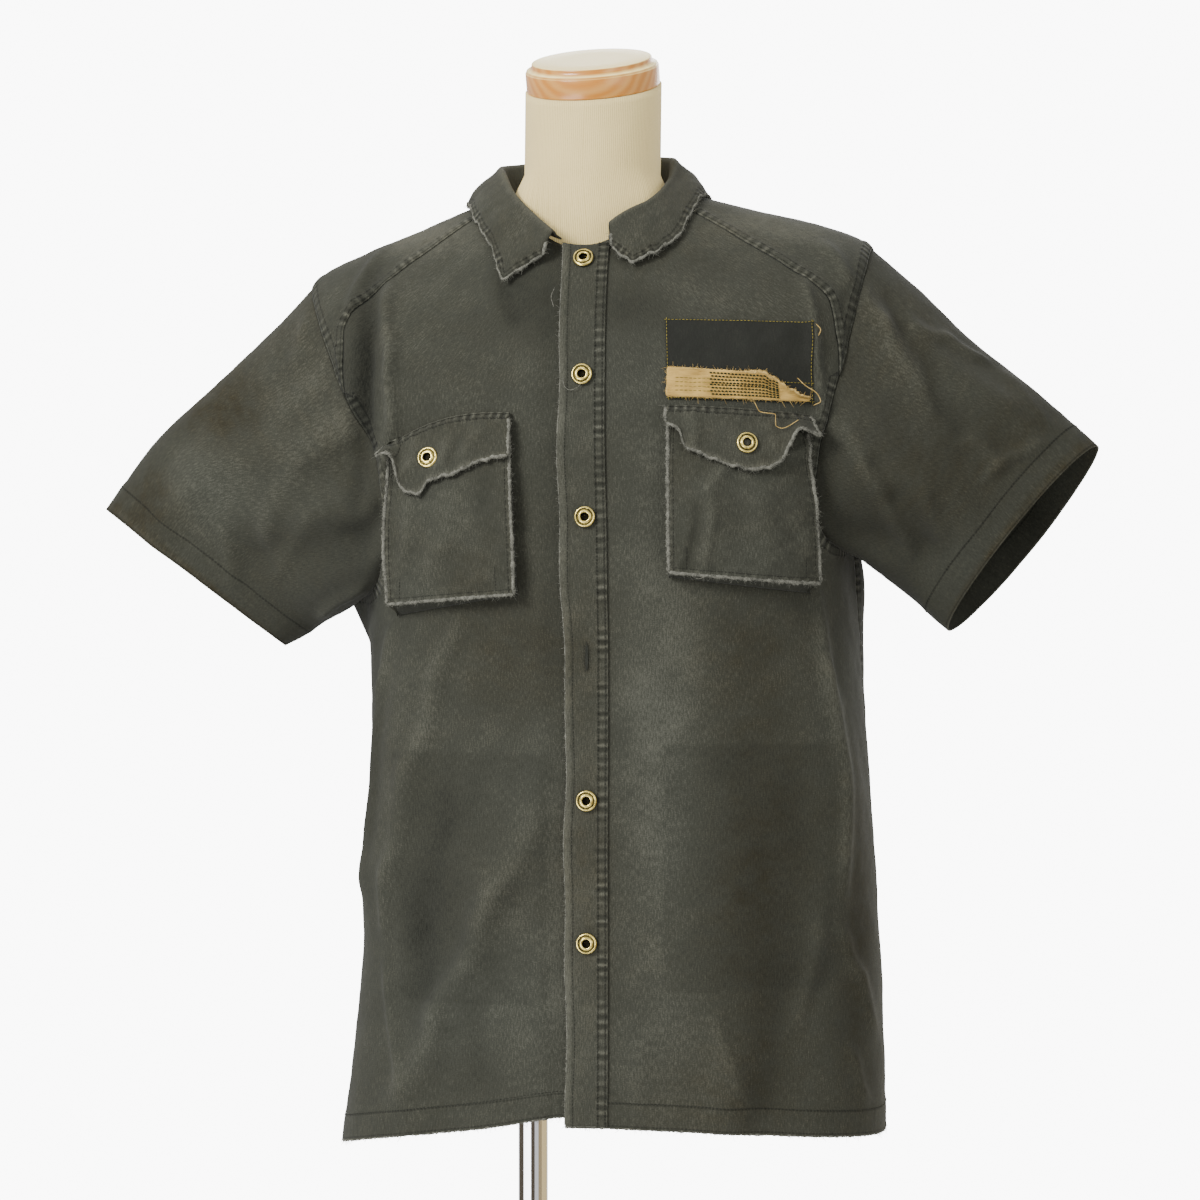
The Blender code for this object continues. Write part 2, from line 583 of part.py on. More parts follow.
def collar_middle(s):
    """Middle line of the collar's cloth at each station: root, stand, fold, fall and edge."""
    table = np.array(COLLAR)
    at = np.clip(s, table[0, 0], table[-1, 0])
    row = {name: smooth_column(table[:, 0], table[:, k], at)
           for k, name in enumerate(COLLAR_COLUMNS)}
    fold = np.stack([row["fold_x"], row["fold_y"], row["fold_z"]], -1)
    seat, normals = body(s, np.zeros(s.shape))
    below, _ = body(s, np.full(s.shape, 0.004))
    upward = seat - below
    upward /= np.linalg.norm(upward, axis=-1, keepdims=True)
    near_end = 1 - ramp(np.minimum(s - s[0], s[-1] - s), 0.0, 0.25)
    root = seat - normals * CLOTH / 2 + upward * (COLLAR_ROOT_GAP * (1 + near_end))[..., None]
    edge, _ = body(row["edge_s"], row["edge_t"], row["edge_lift"])
    out = edge - root
    out[..., 2] = 0
    out /= np.linalg.norm(out, axis=-1, keepdims=True)
    down = np.array((0.0, 0.0, -1.0))
    leaf = np.linalg.norm(edge - fold, axis=-1, keepdims=True)
    radius = np.clip(0.15 * leaf, 0.0016, FOLD_RADIUS)
    fold_in = fold - out * radius + down * radius
    fold_out = fold + out * radius + down * radius
    stand = root * 0.5 + fold_in * 0.5
    bulge = 0.06 * np.linalg.norm(edge - fold_out, axis=-1, keepdims=True)
    fall_high = fold_out * 0.67 + edge * 0.33 + out * bulge
    fall_low = fold_out * 0.33 + edge * 0.67 + out * bulge
    return np.stack([root, stand, fold_in, fold, fold_out, fall_high, fall_low, edge])


def build_collar():
    middle = collar_middle(neckline_stations())
    normals = -grid_normals(middle)
    wall("collar", middle + normals * CLOTH / 2, middle - normals * CLOTH / 2, "Charcoal twill")


# --- what is sewn on the fronts -------------------------------------------------------------------
PLACKET_CELLS = 3
# Corners of each pocket bag and flap on its front, as x and z seen from the front.
POCKET_COLUMNS = ("x_inner_top", "z_inner_top", "x_outer_top", "z_outer_top",
                  "x_inner_low", "z_inner_low", "x_outer_low", "z_outer_low")
POCKET_BAGS = {
    "right": (-0.0520, 1.0240, -0.1520, 0.9990, -0.0440, 0.8860, -0.1490, 0.8790),
    "left": (0.0790, 1.0280, 0.1880, 1.0190, 0.0805, 0.9040, 0.1900, 0.8950),
}
BAG_RISE_TOP = 0.006
BAG_RISE_LOW = 0.014
BAG_RIM_GAP = 0.0009
BAG_ACROSS = (0.0, 0.0, 0.03, 0.15, 0.30, 0.45, 0.60, 0.75, 0.88, 0.97, 1.0, 1.0)
BAG_DOWN = (0.0, 0.14, 0.28, 0.42, 0.56, 0.70, 0.83, 0.96, 1.0, 1.0)

# Flaps: the seam's two ends, then how far the frayed edge hangs below it along the flap.
FLAP_COLUMNS = ("x_inner", "z_inner", "x_outer", "z_outer", "arch")
FLAPS = {
    "right": (-0.0510, 1.0345, -0.1560, 1.0090, 0.004),
    "left": (0.0770, 1.0405, 0.1910, 1.0330, 0.000),
}
FLAP_DROP_COLUMNS = ("way", "drop", "curl")
FLAP_DROPS = {
    "right": ((0.0, 0.035, 0.000), (0.25, 0.041, 0.000), (0.50, 0.047, 0.001), (0.65, 0.054, 0.002),
              (0.78, 0.046, 0.004), (0.90, 0.024, 0.008), (1.0, 0.014, 0.010)),
    "left": ((0.0, 0.016, 0.004), (0.12, 0.027, 0.003), (0.30, 0.038, 0.000), (0.50, 0.043, 0.001),
             (0.68, 0.044, 0.004), (0.80, 0.036, 0.008), (0.90, 0.018, 0.012), (1.0, 0.011, 0.012)),
}
FLAP_CELLS = 14
FLAP_ROWS = (0.0, 0.18, 0.36, 0.58, 0.80, 1.0)

PATCH = (0.0745, 1.1120, 0.1920, 1.1095, 0.0785, 1.0460, 0.1940, 1.0430)   # like POCKET_COLUMNS
TAPE = (0.0780, 1.0715, 0.1860, 1.0640, 0.0775, 1.0480, 0.1900, 1.0440)
TAPE_PEEL = 0.006         # its outer end stands off the patch by this


def on_front(corners, across, down, lift):
    """Points over a four-cornered place on the fronts, lifted off the cloth."""
    x_a, z_a, x_b, z_b, x_c, z_c, x_d, z_d = corners
    x = (x_a * (1 - across) + x_b * across) * (1 - down) + (x_c * (1 - across) + x_d * across) * down
    z = (z_a * (1 - across) + z_b * across) * (1 - down) + (z_c * (1 - across) + z_d * across) * down
    s, t = find_on_front(x, z)
    return body(s, t, lift)[0]


def build_placket():
    """Strip down the left front's free edge, from the collar to the hem."""
    rows = front_patch("left")[:, 0, 1]
    ways = np.linspace(0, 1, PLACKET_CELLS + 1)
    t = np.repeat(np.clip(rows, 0.002, 0.998)[:, None], len(ways), axis=1)
    offsets = ways[None, :] * PLACKET_WIDTH - overlap_at(t)
    s = s_of_offset("left", offsets, t)
    inner, normals = body(s, t, REST_GAP)
    wall("placket", inner + normals * TRIM_CLOTH, inner, "Charcoal twill")


def build_pockets():
    for side, corners in POCKET_BAGS.items():
        across, down = np.meshgrid(BAG_ACROSS, BAG_DOWN)
        columns, rows = np.meshgrid(np.arange(len(BAG_ACROSS)), np.arange(len(BAG_DOWN)))
        from_side = np.minimum(columns, len(BAG_ACROSS) - 1 - columns)
        from_foot = len(BAG_DOWN) - 1 - rows
        raised = np.minimum(from_side, from_foot) > 0
        rise = BAG_RISE_TOP + (BAG_RISE_LOW - BAG_RISE_TOP) * ramp(down, 0.0, 0.5)
        width = abs(corners[2] - corners[0])
        height = abs(corners[1] - corners[5])
        outer = on_front(corners, across, down, np.where(raised, rise, BAG_RIM_GAP))
        inset_across = CLOTH / width
        inset_down = CLOTH / height
        inner_across = inset_across + across * (1 - 2 * inset_across)
        inner_down = down * (1 - inset_down)
        inner = on_front(corners, inner_across, inner_down,
                         np.where(raised, rise - CLOTH, BAG_RIM_GAP))
        wall(f"pocket_{side}", outer, inner, "Charcoal twill")


def flap_place(side, way, hang):
    """x, z and lift of a flap's inner face, way along it and hang down it, 0 to 1."""
    x_inner, z_inner, x_outer, z_outer, arch = FLAPS[side]
    table = np.array(FLAP_DROPS[side])
    drop = smooth_column(table[:, 0], table[:, 1], way)
    curl = smooth_column(table[:, 0], table[:, 2], way)
    x = x_inner + (x_outer - x_inner) * way
    z = z_inner + (z_outer - z_inner) * way + arch * np.sin(way * math.pi) - drop * hang
    fallen = drop * hang
    over_bag = BAG_RISE_TOP + 1.5 * REST_GAP + 0.0030 * ramp(fallen, 0.010, 0.045)
    risen = ramp(fallen, 0.0, 0.0075)
    lift = BAG_RIM_GAP * (1 - risen) + over_bag * risen + curl * hang**2
    return x, z, lift


def flap_face(side, way, hang):
    """Inner face of a flap and the normals that point away from the body."""
    x, z, lift = flap_place(side, way, hang)
    s, t = find_on_front(x, z)
    inner, _ = body(s, t, lift)
    normals = grid_normals(inner)
    return inner, -normals * np.sign(normals[..., 1].mean())


def build_flaps():
    for side in FLAPS:
        way, hang = np.meshgrid(np.linspace(0, 1, FLAP_CELLS + 1), FLAP_ROWS)
        inner, normals = flap_face(side, way, hang)
        wall(f"flap_{side}", inner + normals * CLOTH, inner, "Charcoal twill")


def build_patch_and_tape():
    across, down = np.meshgrid(np.linspace(0, 1, 9), np.linspace(0, 1, 5))
    flat = np.full(across.shape, BAG_RIM_GAP)
    inner = on_front(PATCH, across, down, flat)
    outer = on_front(PATCH, across, down, flat + TRIM_CLOTH)
    wall("chest_patch", outer, inner, "Unfaded twill")
    across, down = np.meshgrid(np.linspace(0, 1, 11), np.linspace(0, 1, 4))
    seat = BAG_RIM_GAP + TRIM_CLOTH + REST_GAP
    seat = seat + TAPE_PEEL * ramp(across - 0.35 * down, 0.55, 1.0)
    inner = on_front(TAPE, across, down, seat)
    outer = on_front(TAPE, across, down, seat + TRIM_CLOTH)
    wall("label_tape", outer, inner, "Beige tape")


# --- buttons --------------------------------------------------------------------------------------
BUTTON_HEIGHTS = (1.1621, 1.0659, 0.9495, 0.7176, 0.6005)
# Half section of a donut tack button: radius and height, over the button's own sizes.
BUTTON_PROFILE = ((0.0, 0.05), (0.92, 0.05), (1.0, 0.30), (0.97, 0.62), (0.80, 0.92), (0.60, 1.0),
                  (0.42, 0.90), (0.30, 0.50), (0.0, 0.45))
BUTTON_SIDES = 16
FLAP_BUTTONS = {"right": (0.62, 0.62), "left": (0.56, 0.58)}


def spin_profile(profile, sides):
    """Turned solid from (radius, height) points, whose first and last lie on the axis."""
    bm = bmesh.new()
    points = [bm.verts.new((radius, 0.0, height)) for radius, height in profile]
    edges = [bm.edges.new(pair) for pair in zip(points, points[1:])]
    bmesh.ops.spin(bm, geom=points + edges, cent=(0, 0, 0), axis=(0, 0, 1),
                   angle=2 * math.pi, steps=sides, use_merge=True)
    bmesh.ops.remove_doubles(bm, verts=bm.verts, dist=1e-6)
    return bm


def build_button(name, seat, normal):
    profile = [(radius * BUTTON_RADIUS, height * BUTTON_HEIGHT) for radius, height in BUTTON_PROFILE]
    bm = spin_profile(profile, BUTTON_SIDES)
    turn = Vector(normal).to_track_quat("Z", "Y").to_matrix().to_4x4()
    bmesh.ops.transform(bm, matrix=Matrix.Translation(Vector(seat)) @ turn, verts=bm.verts)
    finish_object(name, bm, "Brass")


def build_buttons():
    for number, height in enumerate(BUTTON_HEIGHTS, start=1):
        x_middle = smooth_column(-RING["z_front"], RING["x_mid"], -height)
        s, t = find_on_front(x_middle, height)
        seat, normal = body(s, t, REST_GAP * 2 + TRIM_CLOTH)
        build_button(f"button_{number}", seat, normal)
    for side, (way, hang) in FLAP_BUTTONS.items():
        ways, hangs = np.meshgrid(way + np.array((-0.07, 0, 0.07)), hang + np.array((-0.2, 0, 0.2)))
        inner, normals = flap_face(side, ways, hangs)
        seat = inner[1, 1] + normals[1, 1] * (CLOTH + REST_GAP)
        build_button(f"flap_button_{side}", seat, normals[1, 1])


# --- dress form -----------------------------------------------------------------------------------
NECK_MIDDLE = (0.000, -0.021)
NECK_RADIUS = 0.058
NECK_TOP = Vector((0.0025, -0.033, 1.3130))
CAP_LEAN = math.radians(17.5)
CAP_ROLL = math.radians(-1.8)
CAP_RADIUS = 0.0567
CAP_TOP_RADIUS = 0.0510
CAP_BAND = 0.0175
CAP_HEIGHT = 0.0245
POLE_RADIUS = 0.0127
BASE_RADIUS = 0.190
BASE_EDGE = 0.010
BASE_BOSS_RADIUS = 0.024
BASE_BOSS_HEIGHT = 0.040
FORM_GAP = CLOTH + 0.0016
FORM_SIDES = 40
NECK_FOOT = 1.240
SHOULDER_DROP = 0.002     # and by this more at the shoulder's end
COLLAR_ROOM = 0.004       # the form stands back by this under the collar's stand
# Rings of the form below its shoulders: middle and half sizes of each.
FORM_COLUMNS = ("z", "x_middle", "y_middle", "half_width", "half_front", "half_back", "square")
FORM_RINGS = (
    (1.1150, -0.002, 0.000, 0.190, 0.102, 0.096, 2.3),
    (1.0500, 0.000, 0.000, 0.184, 0.114, 0.106, 2.4),
    (0.9600, 0.000, -0.002, 0.174, 0.122, 0.106, 2.4),
    (0.8600, 0.000, -0.004, 0.164, 0.112, 0.098, 2.3),
    (0.7600, -0.004, -0.004, 0.156, 0.100, 0.092, 2.2),
    (0.6400, -0.010, 0.000, 0.162, 0.100, 0.100, 2.2),
    (0.5500, -0.014, 0.000, 0.166, 0.100, 0.104, 2.2),
    (0.5100, -0.016, 0.000, 0.158, 0.092, 0.096, 2.2),
)
SHOULDER_RINGS = ("neckline", "collar edge", "mid shoulder", "shoulder")


def cap_frame():
    """Turn of the neck's top and of the cap on it: leaning forward, a little to one side."""
    from_side = Matrix.Rotation(CAP_ROLL, 4, "Y")
    return Matrix.Translation(NECK_TOP) @ from_side @ Matrix.Rotation(CAP_LEAN, 4, "X")


def neck_ring(way):
    """Ring of the neck: round and level at its foot, way 0, leaning with the cap at its top."""
    angles = np.linspace(0, 2 * math.pi, FORM_SIDES, endpoint=False)
    flat = np.stack([np.sin(angles), -np.cos(angles), 0 * angles], -1) * NECK_RADIUS
    foot = flat + np.array((*NECK_MIDDLE, NECK_FOOT))
    frame = np.array(cap_frame())
    top = flat @ frame[:3, :3].T + frame[:3, 3]
    return foot * (1 - way) + top * way


def form_ring(z, x_middle, y_middle, half_width, half_front, half_back, square):
    angles = np.linspace(0, 2 * math.pi, FORM_SIDES, endpoint=False)
    across, ahead = np.sin(angles), np.cos(angles)
    swell = (np.abs(across)**square + np.abs(ahead)**square)**(-1 / square)
    depth = np.where(ahead > 0, half_front, half_back)
    return np.stack([x_middle + across * swell * half_width,
                     y_middle - ahead * swell * depth, np.full(FORM_SIDES, z)], -1)


def shoulder_ring(name):
    """Ring of the form right under the shirt's own ring of that name."""
    s = np.linspace(0, 4, FORM_SIDES, endpoint=False)
    t = np.full(FORM_SIDES, T_OF[name])
    points, normals = body(s, t)
    sink = FORM_GAP + 0.030 * ramp(np.abs(np.cos(s * math.pi / 2)), 0.55, 1.0)
    if name == "neckline":
        sink = sink + COLLAR_ROOM
    if name == "shoulder":
        sink = sink + SHOULDER_DROP
    return points - normals * sink[:, None]


def build_form():
    rings = [neck_ring(way) for way in (1.0, 0.5, 0.0)]
    rings += [shoulder_ring(name) for name in SHOULDER_RINGS]
    rings += [form_ring(*row) for row in FORM_RINGS]
    bm = bmesh.new()
    loops = [[bm.verts.new(point) for point in ring] for ring in rings]
    for upper, lower in zip(loops, loops[1:]):
        for k in range(FORM_SIDES):
            n = (k + 1) % FORM_SIDES
            bm.faces.new((upper[k], lower[k], lower[n], upper[n]))
    bm.faces.new(loops[0])
    bm.faces.new(loops[-1][::-1])
    finish_object("form_torso", bm, "Rib-knit cover")


def build_cap():
    """Turned wooden cap on the neck: a straight band under a coved rim."""
    seat = REST_GAP
    profile = ((0.0, seat), (CAP_RADIUS - 0.001, seat), (CAP_RADIUS, seat + 0.001),
               (CAP_RADIUS, CAP_BAND - 0.001), (CAP_RADIUS - 0.001, CAP_BAND),
               (CAP_TOP_RADIUS + 0.002, CAP_BAND + 0.0015), (CAP_TOP_RADIUS, CAP_HEIGHT - 0.002),
               (CAP_TOP_RADIUS - 0.002, CAP_HEIGHT), (0.0, CAP_HEIGHT))
    bm = spin_profile(profile, 36)
    bmesh.ops.transform(bm, matrix=cap_frame(), verts=bm.verts)
    finish_object("neck_cap", bm, "Varnished maple")


def build_stand():
    torso_foot = FORM_RINGS[-1][0]
    bm = bmesh.new()
    top, foot = torso_foot - REST_GAP, BASE_BOSS_HEIGHT + REST_GAP
    bmesh.ops.create_cone(bm, cap_ends=True, segments=24, radius1=POLE_RADIUS,
                          radius2=POLE_RADIUS, depth=top - foot)
    bmesh.ops.translate(bm, verts=bm.verts, vec=(POLE_X, 0, (top + foot) / 2))
    finish_object("pole", bm, "Chromed steel")
    profile = ((0.0, 0.0), (BASE_RADIUS - 0.002, 0.0), (BASE_RADIUS, 0.002),
               (BASE_RADIUS, BASE_EDGE - 0.003), (BASE_RADIUS - 0.003, BASE_EDGE),
               (BASE_BOSS_RADIUS + 0.040, BASE_EDGE + 0.003),
               (BASE_BOSS_RADIUS + 0.004, BASE_EDGE + 0.010),
               (BASE_BOSS_RADIUS, BASE_EDGE + 0.016),
               (BASE_BOSS_RADIUS, BASE_BOSS_HEIGHT - 0.002),
               (BASE_BOSS_RADIUS - 0.002, BASE_BOSS_HEIGHT), (0.0, BASE_BOSS_HEIGHT))
    bm = spin_profile(profile, 48)
    bmesh.ops.translate(bm, verts=bm.verts, vec=(POLE_X, 0, 0))
    finish_object("base", bm, "Painted steel")


def main():
    clear_scene()
    build_body()
    build_sleeves()
    build_collar()
    build_placket()
    build_pockets()
    build_flaps()
    build_patch_and_tape()
    build_buttons()
    build_form()
    build_cap()
    build_stand()


main()
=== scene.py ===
"""Looks of a faded short-sleeved work shirt with raw edges, on a limbless dress form.

Metres, +Z up, the shirt's front faces -Y and +X is the wearer's left. The body of the shirt is one
smooth surface read at (s, t): s runs once round it (0 centre front, 1 the left side, 2 centre back,
3 the right side) and t runs from the neckline, 0, to the hem, 1. Panels are patches of it.
"""
import logging
import math
from collections.abc import Callable
from dataclasses import dataclass, field
from enum import Enum

import bmesh
import bpy
import numpy as np
from mathutils import Matrix, Vector


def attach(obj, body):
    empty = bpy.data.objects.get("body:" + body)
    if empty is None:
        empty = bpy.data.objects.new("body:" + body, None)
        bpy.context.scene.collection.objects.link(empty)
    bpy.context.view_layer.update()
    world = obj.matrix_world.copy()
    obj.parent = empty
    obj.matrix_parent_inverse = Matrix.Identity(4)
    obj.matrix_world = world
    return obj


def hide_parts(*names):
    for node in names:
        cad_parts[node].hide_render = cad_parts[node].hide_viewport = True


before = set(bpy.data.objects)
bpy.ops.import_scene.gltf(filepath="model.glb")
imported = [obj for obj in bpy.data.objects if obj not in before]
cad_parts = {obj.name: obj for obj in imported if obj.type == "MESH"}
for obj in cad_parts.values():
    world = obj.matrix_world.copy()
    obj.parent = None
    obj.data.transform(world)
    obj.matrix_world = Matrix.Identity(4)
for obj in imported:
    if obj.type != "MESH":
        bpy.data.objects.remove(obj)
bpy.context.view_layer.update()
LOG = logging.getLogger("work_shirt")
Array = np.ndarray

PLACE = np.array((0.055, 0.0, 0.0))   # added to shirt coordinates: the frame starts under the pole
BODY = "root"
CLOTH = 0.0014           # twill as it shows at an edge
SEAM_HALF_GAP = 0.00012
REST_GAP = 0.0004
LAP_GAP = 0.0020
PUCKER_PITCH = 0.0078
PUCKER_SWAY, PUCKER_DRIFT = 0.35, 0.031    # how unevenly the puckers follow each other
FAR_FROM_SEAM = 0.08
CREASE_DEPTH = 1.7      # creases stand this much taller than their tables say
BAND_SCALE = 6.2832 / 20      # scale at which a wave texture has one band in a metre


class Side(Enum):
    """The wearer's sides."""
    LEFT = "left"
    RIGHT = "right"

    @property
    def sign(self) -> float:
        """+1 on the wearer's left, where x grows."""
        return 1.0 if self is Side.LEFT else -1.0

    def from_front(self, turn_s: float) -> float:
        """s on this side, counted from centre front."""
        return turn_s if self is Side.LEFT else 4.0 - turn_s


class Face(Enum):
    """Half of the body that a crease or a wash lies on."""
    FRONT = -1.0
    BACK = 1.0


def each(kind: Callable[..., object], *rows: tuple) -> tuple:
    """One thing of a kind for each row of its sizes."""
    return tuple(kind(*row) for row in rows)


# --- small mathematics ----------------------------------------------------------------------------
def ramp(x: Array, start: float, end: float) -> Array:
    """0 before start, 1 after end, smooth between."""
    q = np.clip((np.asarray(x, float) - start) / (end - start), 0.0, 1.0)
    return q * q * (3 - 2 * q)


def unit(vectors: Array) -> Array:
    """Vectors of length 1, over the last axis."""
    return vectors / np.maximum(np.linalg.norm(vectors, axis=-1, keepdims=True), 1e-12)


def smooth_column(knots: Array, values: Array, at: Array) -> Array:
    """Read a table column at any knot, by a cubic that never swells past its rows.

    Args:
        knots: places of the rows, rising.
        values: the column.
        at: places to read.
    Returns:
        The column's values there.
    """
    steps = np.diff(knots)
    secants = np.diff(values) / steps
    slopes = np.empty_like(values)
    slopes[0], slopes[-1] = secants[0], secants[-1]
    before, after = secants[:-1], secants[1:]
    same_way = before * after > 0
    slopes[1:-1] = np.where(same_way, 2 * before * after / np.where(same_way, before + after, 1), 0)
    k = np.clip(np.searchsorted(knots, at, side="right") - 1, 0, len(steps) - 1)
    step = steps[k]
    q = (at - knots[k]) / step
    return (values[k] * (2 * q**3 - 3 * q**2 + 1) + slopes[k] * step * (q**3 - 2 * q**2 + q)
            + values[k + 1] * (3 * q**2 - 2 * q**3) + slopes[k + 1] * step * (q**3 - q**2))


def soft_noise(points: Array, length: float, seed: int, waves: int = 9) -> Array:
    """Smooth noise, about -1 to 1, from plane waves of about one length.

    Args:
        points: places, (..., 3).
        length: mean wave length, in metres.
        seed: picks the waves.
        waves: how many.
    Returns:
        The noise at each place.
    """
    rng = np.random.default_rng(seed)
    total = np.zeros(points.shape[:-1])
    for _ in range(waves):
        way = unit(rng.normal(size=3)) * (2 * math.pi / (length * rng.uniform(0.7, 1.6)))
        total += np.sin(points @ way + rng.uniform(0, 2 * math.pi))
    return total * 0.8 / math.sqrt(waves)


def grid_normals(grid: Array, closed_round: bool = False) -> Array:
    """Unit normals of a grid of points: down its columns crossed with along its rows."""
    down = np.gradient(grid, axis=0)
    along = (np.roll(grid, -1, axis=1) - np.roll(grid, 1, axis=1) if closed_round
             else np.gradient(grid, axis=1))
    return unit(np.cross(down, along))


def line(start: Array, end: Array, cells: int) -> Array:
    """Points from start to end, cells + 1 of them."""
    q = np.linspace(0, 1, cells + 1)[:, None]
    return np.asarray(start) * (1 - q) + np.asarray(end) * q


def coons(top: Array, bottom: Array, first: Array, last: Array) -> Array:
    """Fill four edges with a grid; first and last run from top to bottom."""
    u = np.linspace(0, 1, len(top))[None, :, None]
    v = np.linspace(0, 1, len(first))[:, None, None]
    between = (1 - v) * top[None] + v * bottom[None] + (1 - u) * first[:, None] + u * last[:, None]
    corners = ((1 - u) * (1 - v) * top[0] + u * (1 - v) * top[-1]
               + (1 - u) * v * bottom[0] + u * v * bottom[-1])
    return between - corners


def way_along(path: Array) -> Array:
    """Length from a path's start to each of its points."""
    return np.concatenate(([0.0], np.cumsum(np.linalg.norm(np.diff(path, axis=0), axis=-1))))


def respace(path: Array, pitch: float, *others: Array) -> list[Array]:
    """Read a path, and what goes with it, at even steps.

    Args:
        path: points, (n, 3).
        pitch: the step, in metres.
        others: more columns given at the same points.
    Returns:
        The path and the others, at the steps.
    """
    way = way_along(path)
    at = np.linspace(0, way[-1], max(3, round(way[-1] / pitch) + 1))
    return [np.stack([np.interp(at, way, column) for column in item.T], -1)
            for item in (path, *others)]


# --- creases, washes and seams: what shapes the cloth, fades it and paints shade on it ------------
@dataclass(frozen=True)
class Crease:
    """Soft ridge, or trough where depth is negative, between two places of a flat chart."""
    a_0: float
    b_0: float
    a_1: float
    b_1: float
    half_width: float
    depth: float
    crooked: float = 0.3

    def height(self, a: Array, b: Array) -> Array:
        """Lift of the cloth at chart places a, b."""
        way = np.array((self.a_1 - self.a_0, self.b_1 - self.b_0))
        length = np.hypot(*way)
        q = ((a - self.a_0) * way[0] + (b - self.b_0) * way[1]) / length**2
        off = ((a - self.a_0) * way[1] - (b - self.b_0) * way[0]) / length
        off = off + self.crooked * self.half_width * np.sin(q * 5.0 + self.a_0 * 60)
        ends = ramp(q, -0.20, 0.22) * (1 - ramp(q, 0.78, 1.20))
        return CREASE_DEPTH * self.depth * ends * np.exp(-(off / self.half_width)**2)


@dataclass(frozen=True)
class Wash:
    """Patch of the chart that is more or less faded, or browner, than the rest, or darker with
    painted shade.
    """
    a: float
    b: float
    half_a: float
    half_b: float
    fade: float
    tint: float

    def strength(self, a: Array, b: Array) -> Array:
        """1 in the middle, dying away."""
        return np.exp(-((a - self.a) / self.half_a)**2 - ((b - self.b) / self.half_b)**2)


@dataclass
class Seam:
    """Lapped seam or hem: a second layer beside its line, puckered by the sewing.

    Args:
        path: the line, (n, 3), in shirt coordinates.
        band: width of the double layer, up to its stitching.
        lift: how far the second layer raises the face.
        pucker: height of its puckers, where the grid is fine enough to hold them.
        pitch: from one pucker to the next.
    """
    path: Array
    band: float = 0.0080
    lift: float = 0.0011
    pucker: float = 0.0
    pitch: float = PUCKER_PITCH

    def __post_init__(self) -> None:
        self.path, = respace(self.path, 0.003)
        self.way = way_along(self.path)

    def chart(self, points: Array) -> tuple[Array, Array]:
        """Distance of each point from the line, and way along the line to its nearest place."""
        away, at = np.full(points.shape[:-1], FAR_FROM_SEAM), np.zeros(points.shape[:-1])
        reach = 0.045
        near = np.all((points > self.path.min(0) - reach) & (points < self.path.max(0) + reach), -1)
        spots = points[near]
        apart, way = np.empty(len(spots)), np.empty(len(spots))
        for k in range(0, len(spots), 4000):
            block = np.linalg.norm(spots[k:k + 4000, None] - self.path[None], axis=-1)
            best = block.argmin(1)
            step = np.clip(best, 1, len(self.path) - 2)
            tangent = unit(self.path[step + 1] - self.path[step - 1])
            offset = spots[k:k + 4000] - self.path[best]
            along = (offset * tangent).sum(-1)
            inside = (best > 0) & (best < len(self.path) - 1)
            apart[k:k + 4000] = np.where(
                inside, np.sqrt(np.maximum((offset**2).sum(-1) - along**2, 0)), block.min(1))
            way[k:k + 4000] = self.way[best] + along
        away[near], at[near] = apart, way
        return away, at

    def beat(self, at: Array) -> Array:
        """Pucker wave, -1 to 1, at each way along the line."""
        return np.sin(2 * math.pi * (at / self.pitch + PUCKER_SWAY * np.sin(at / PUCKER_DRIFT)))


@dataclass
class Sewn:
    """What a sheet's seams do to its points: lift, and the chart that its finish draws them by."""
    lift: Array
    away: Array
    way: Array
    band: Array

    @staticmethod
    def by(points: Array, laps: tuple[Seam, ...], meets: tuple[Seam, ...] = ()) -> "Sewn":
        """Read the seams at a sheet's points.

        Args:
            points: places on the smooth face.
            laps: seams where the sheet lies over its neighbour.
            meets: seams where it lies under it.
        Returns:
            The fields, point by point.
        """
        shape = points.shape[:-1]
        sewn = Sewn(lift=np.zeros(shape), away=np.full(shape, FAR_FROM_SEAM),
                    way=np.zeros(shape), band=np.zeros(shape))
        for seams, lapped in ((laps, True), (meets, False)):
            for seam in seams:
                away, at = seam.chart(points)
                if lapped:
                    raised = 1 - ramp(away, seam.band, seam.band * 1.3)
                    window = (ramp(away, 0.0, 0.002)
                              * (1 - ramp(away, seam.band * 0.8, seam.band * 1.3)))
                    sewn.lift += seam.lift * raised + seam.pucker * seam.beat(at) * window
                nearer = away < sewn.away
                sewn.away = np.where(nearer, away, sewn.away)
                sewn.way = np.where(nearer, at, sewn.way)
                sewn.band = np.where(nearer, seam.band if lapped else 0.0, sewn.band)
        return sewn


# --- the shirt's body -----------------------------------------------------------------------------
@dataclass(frozen=True)
class BodyRing:
    """Outer face of the body at one level: where its sides, front and back lie."""
    name: str
    x_right: float
    z_right: float
    x_left: float
    z_left: float
    y_side: float
    x_mid: float
    y_front: float
    z_front: float
    y_back: float
    z_back: float
    square_front: float
    square_back: float


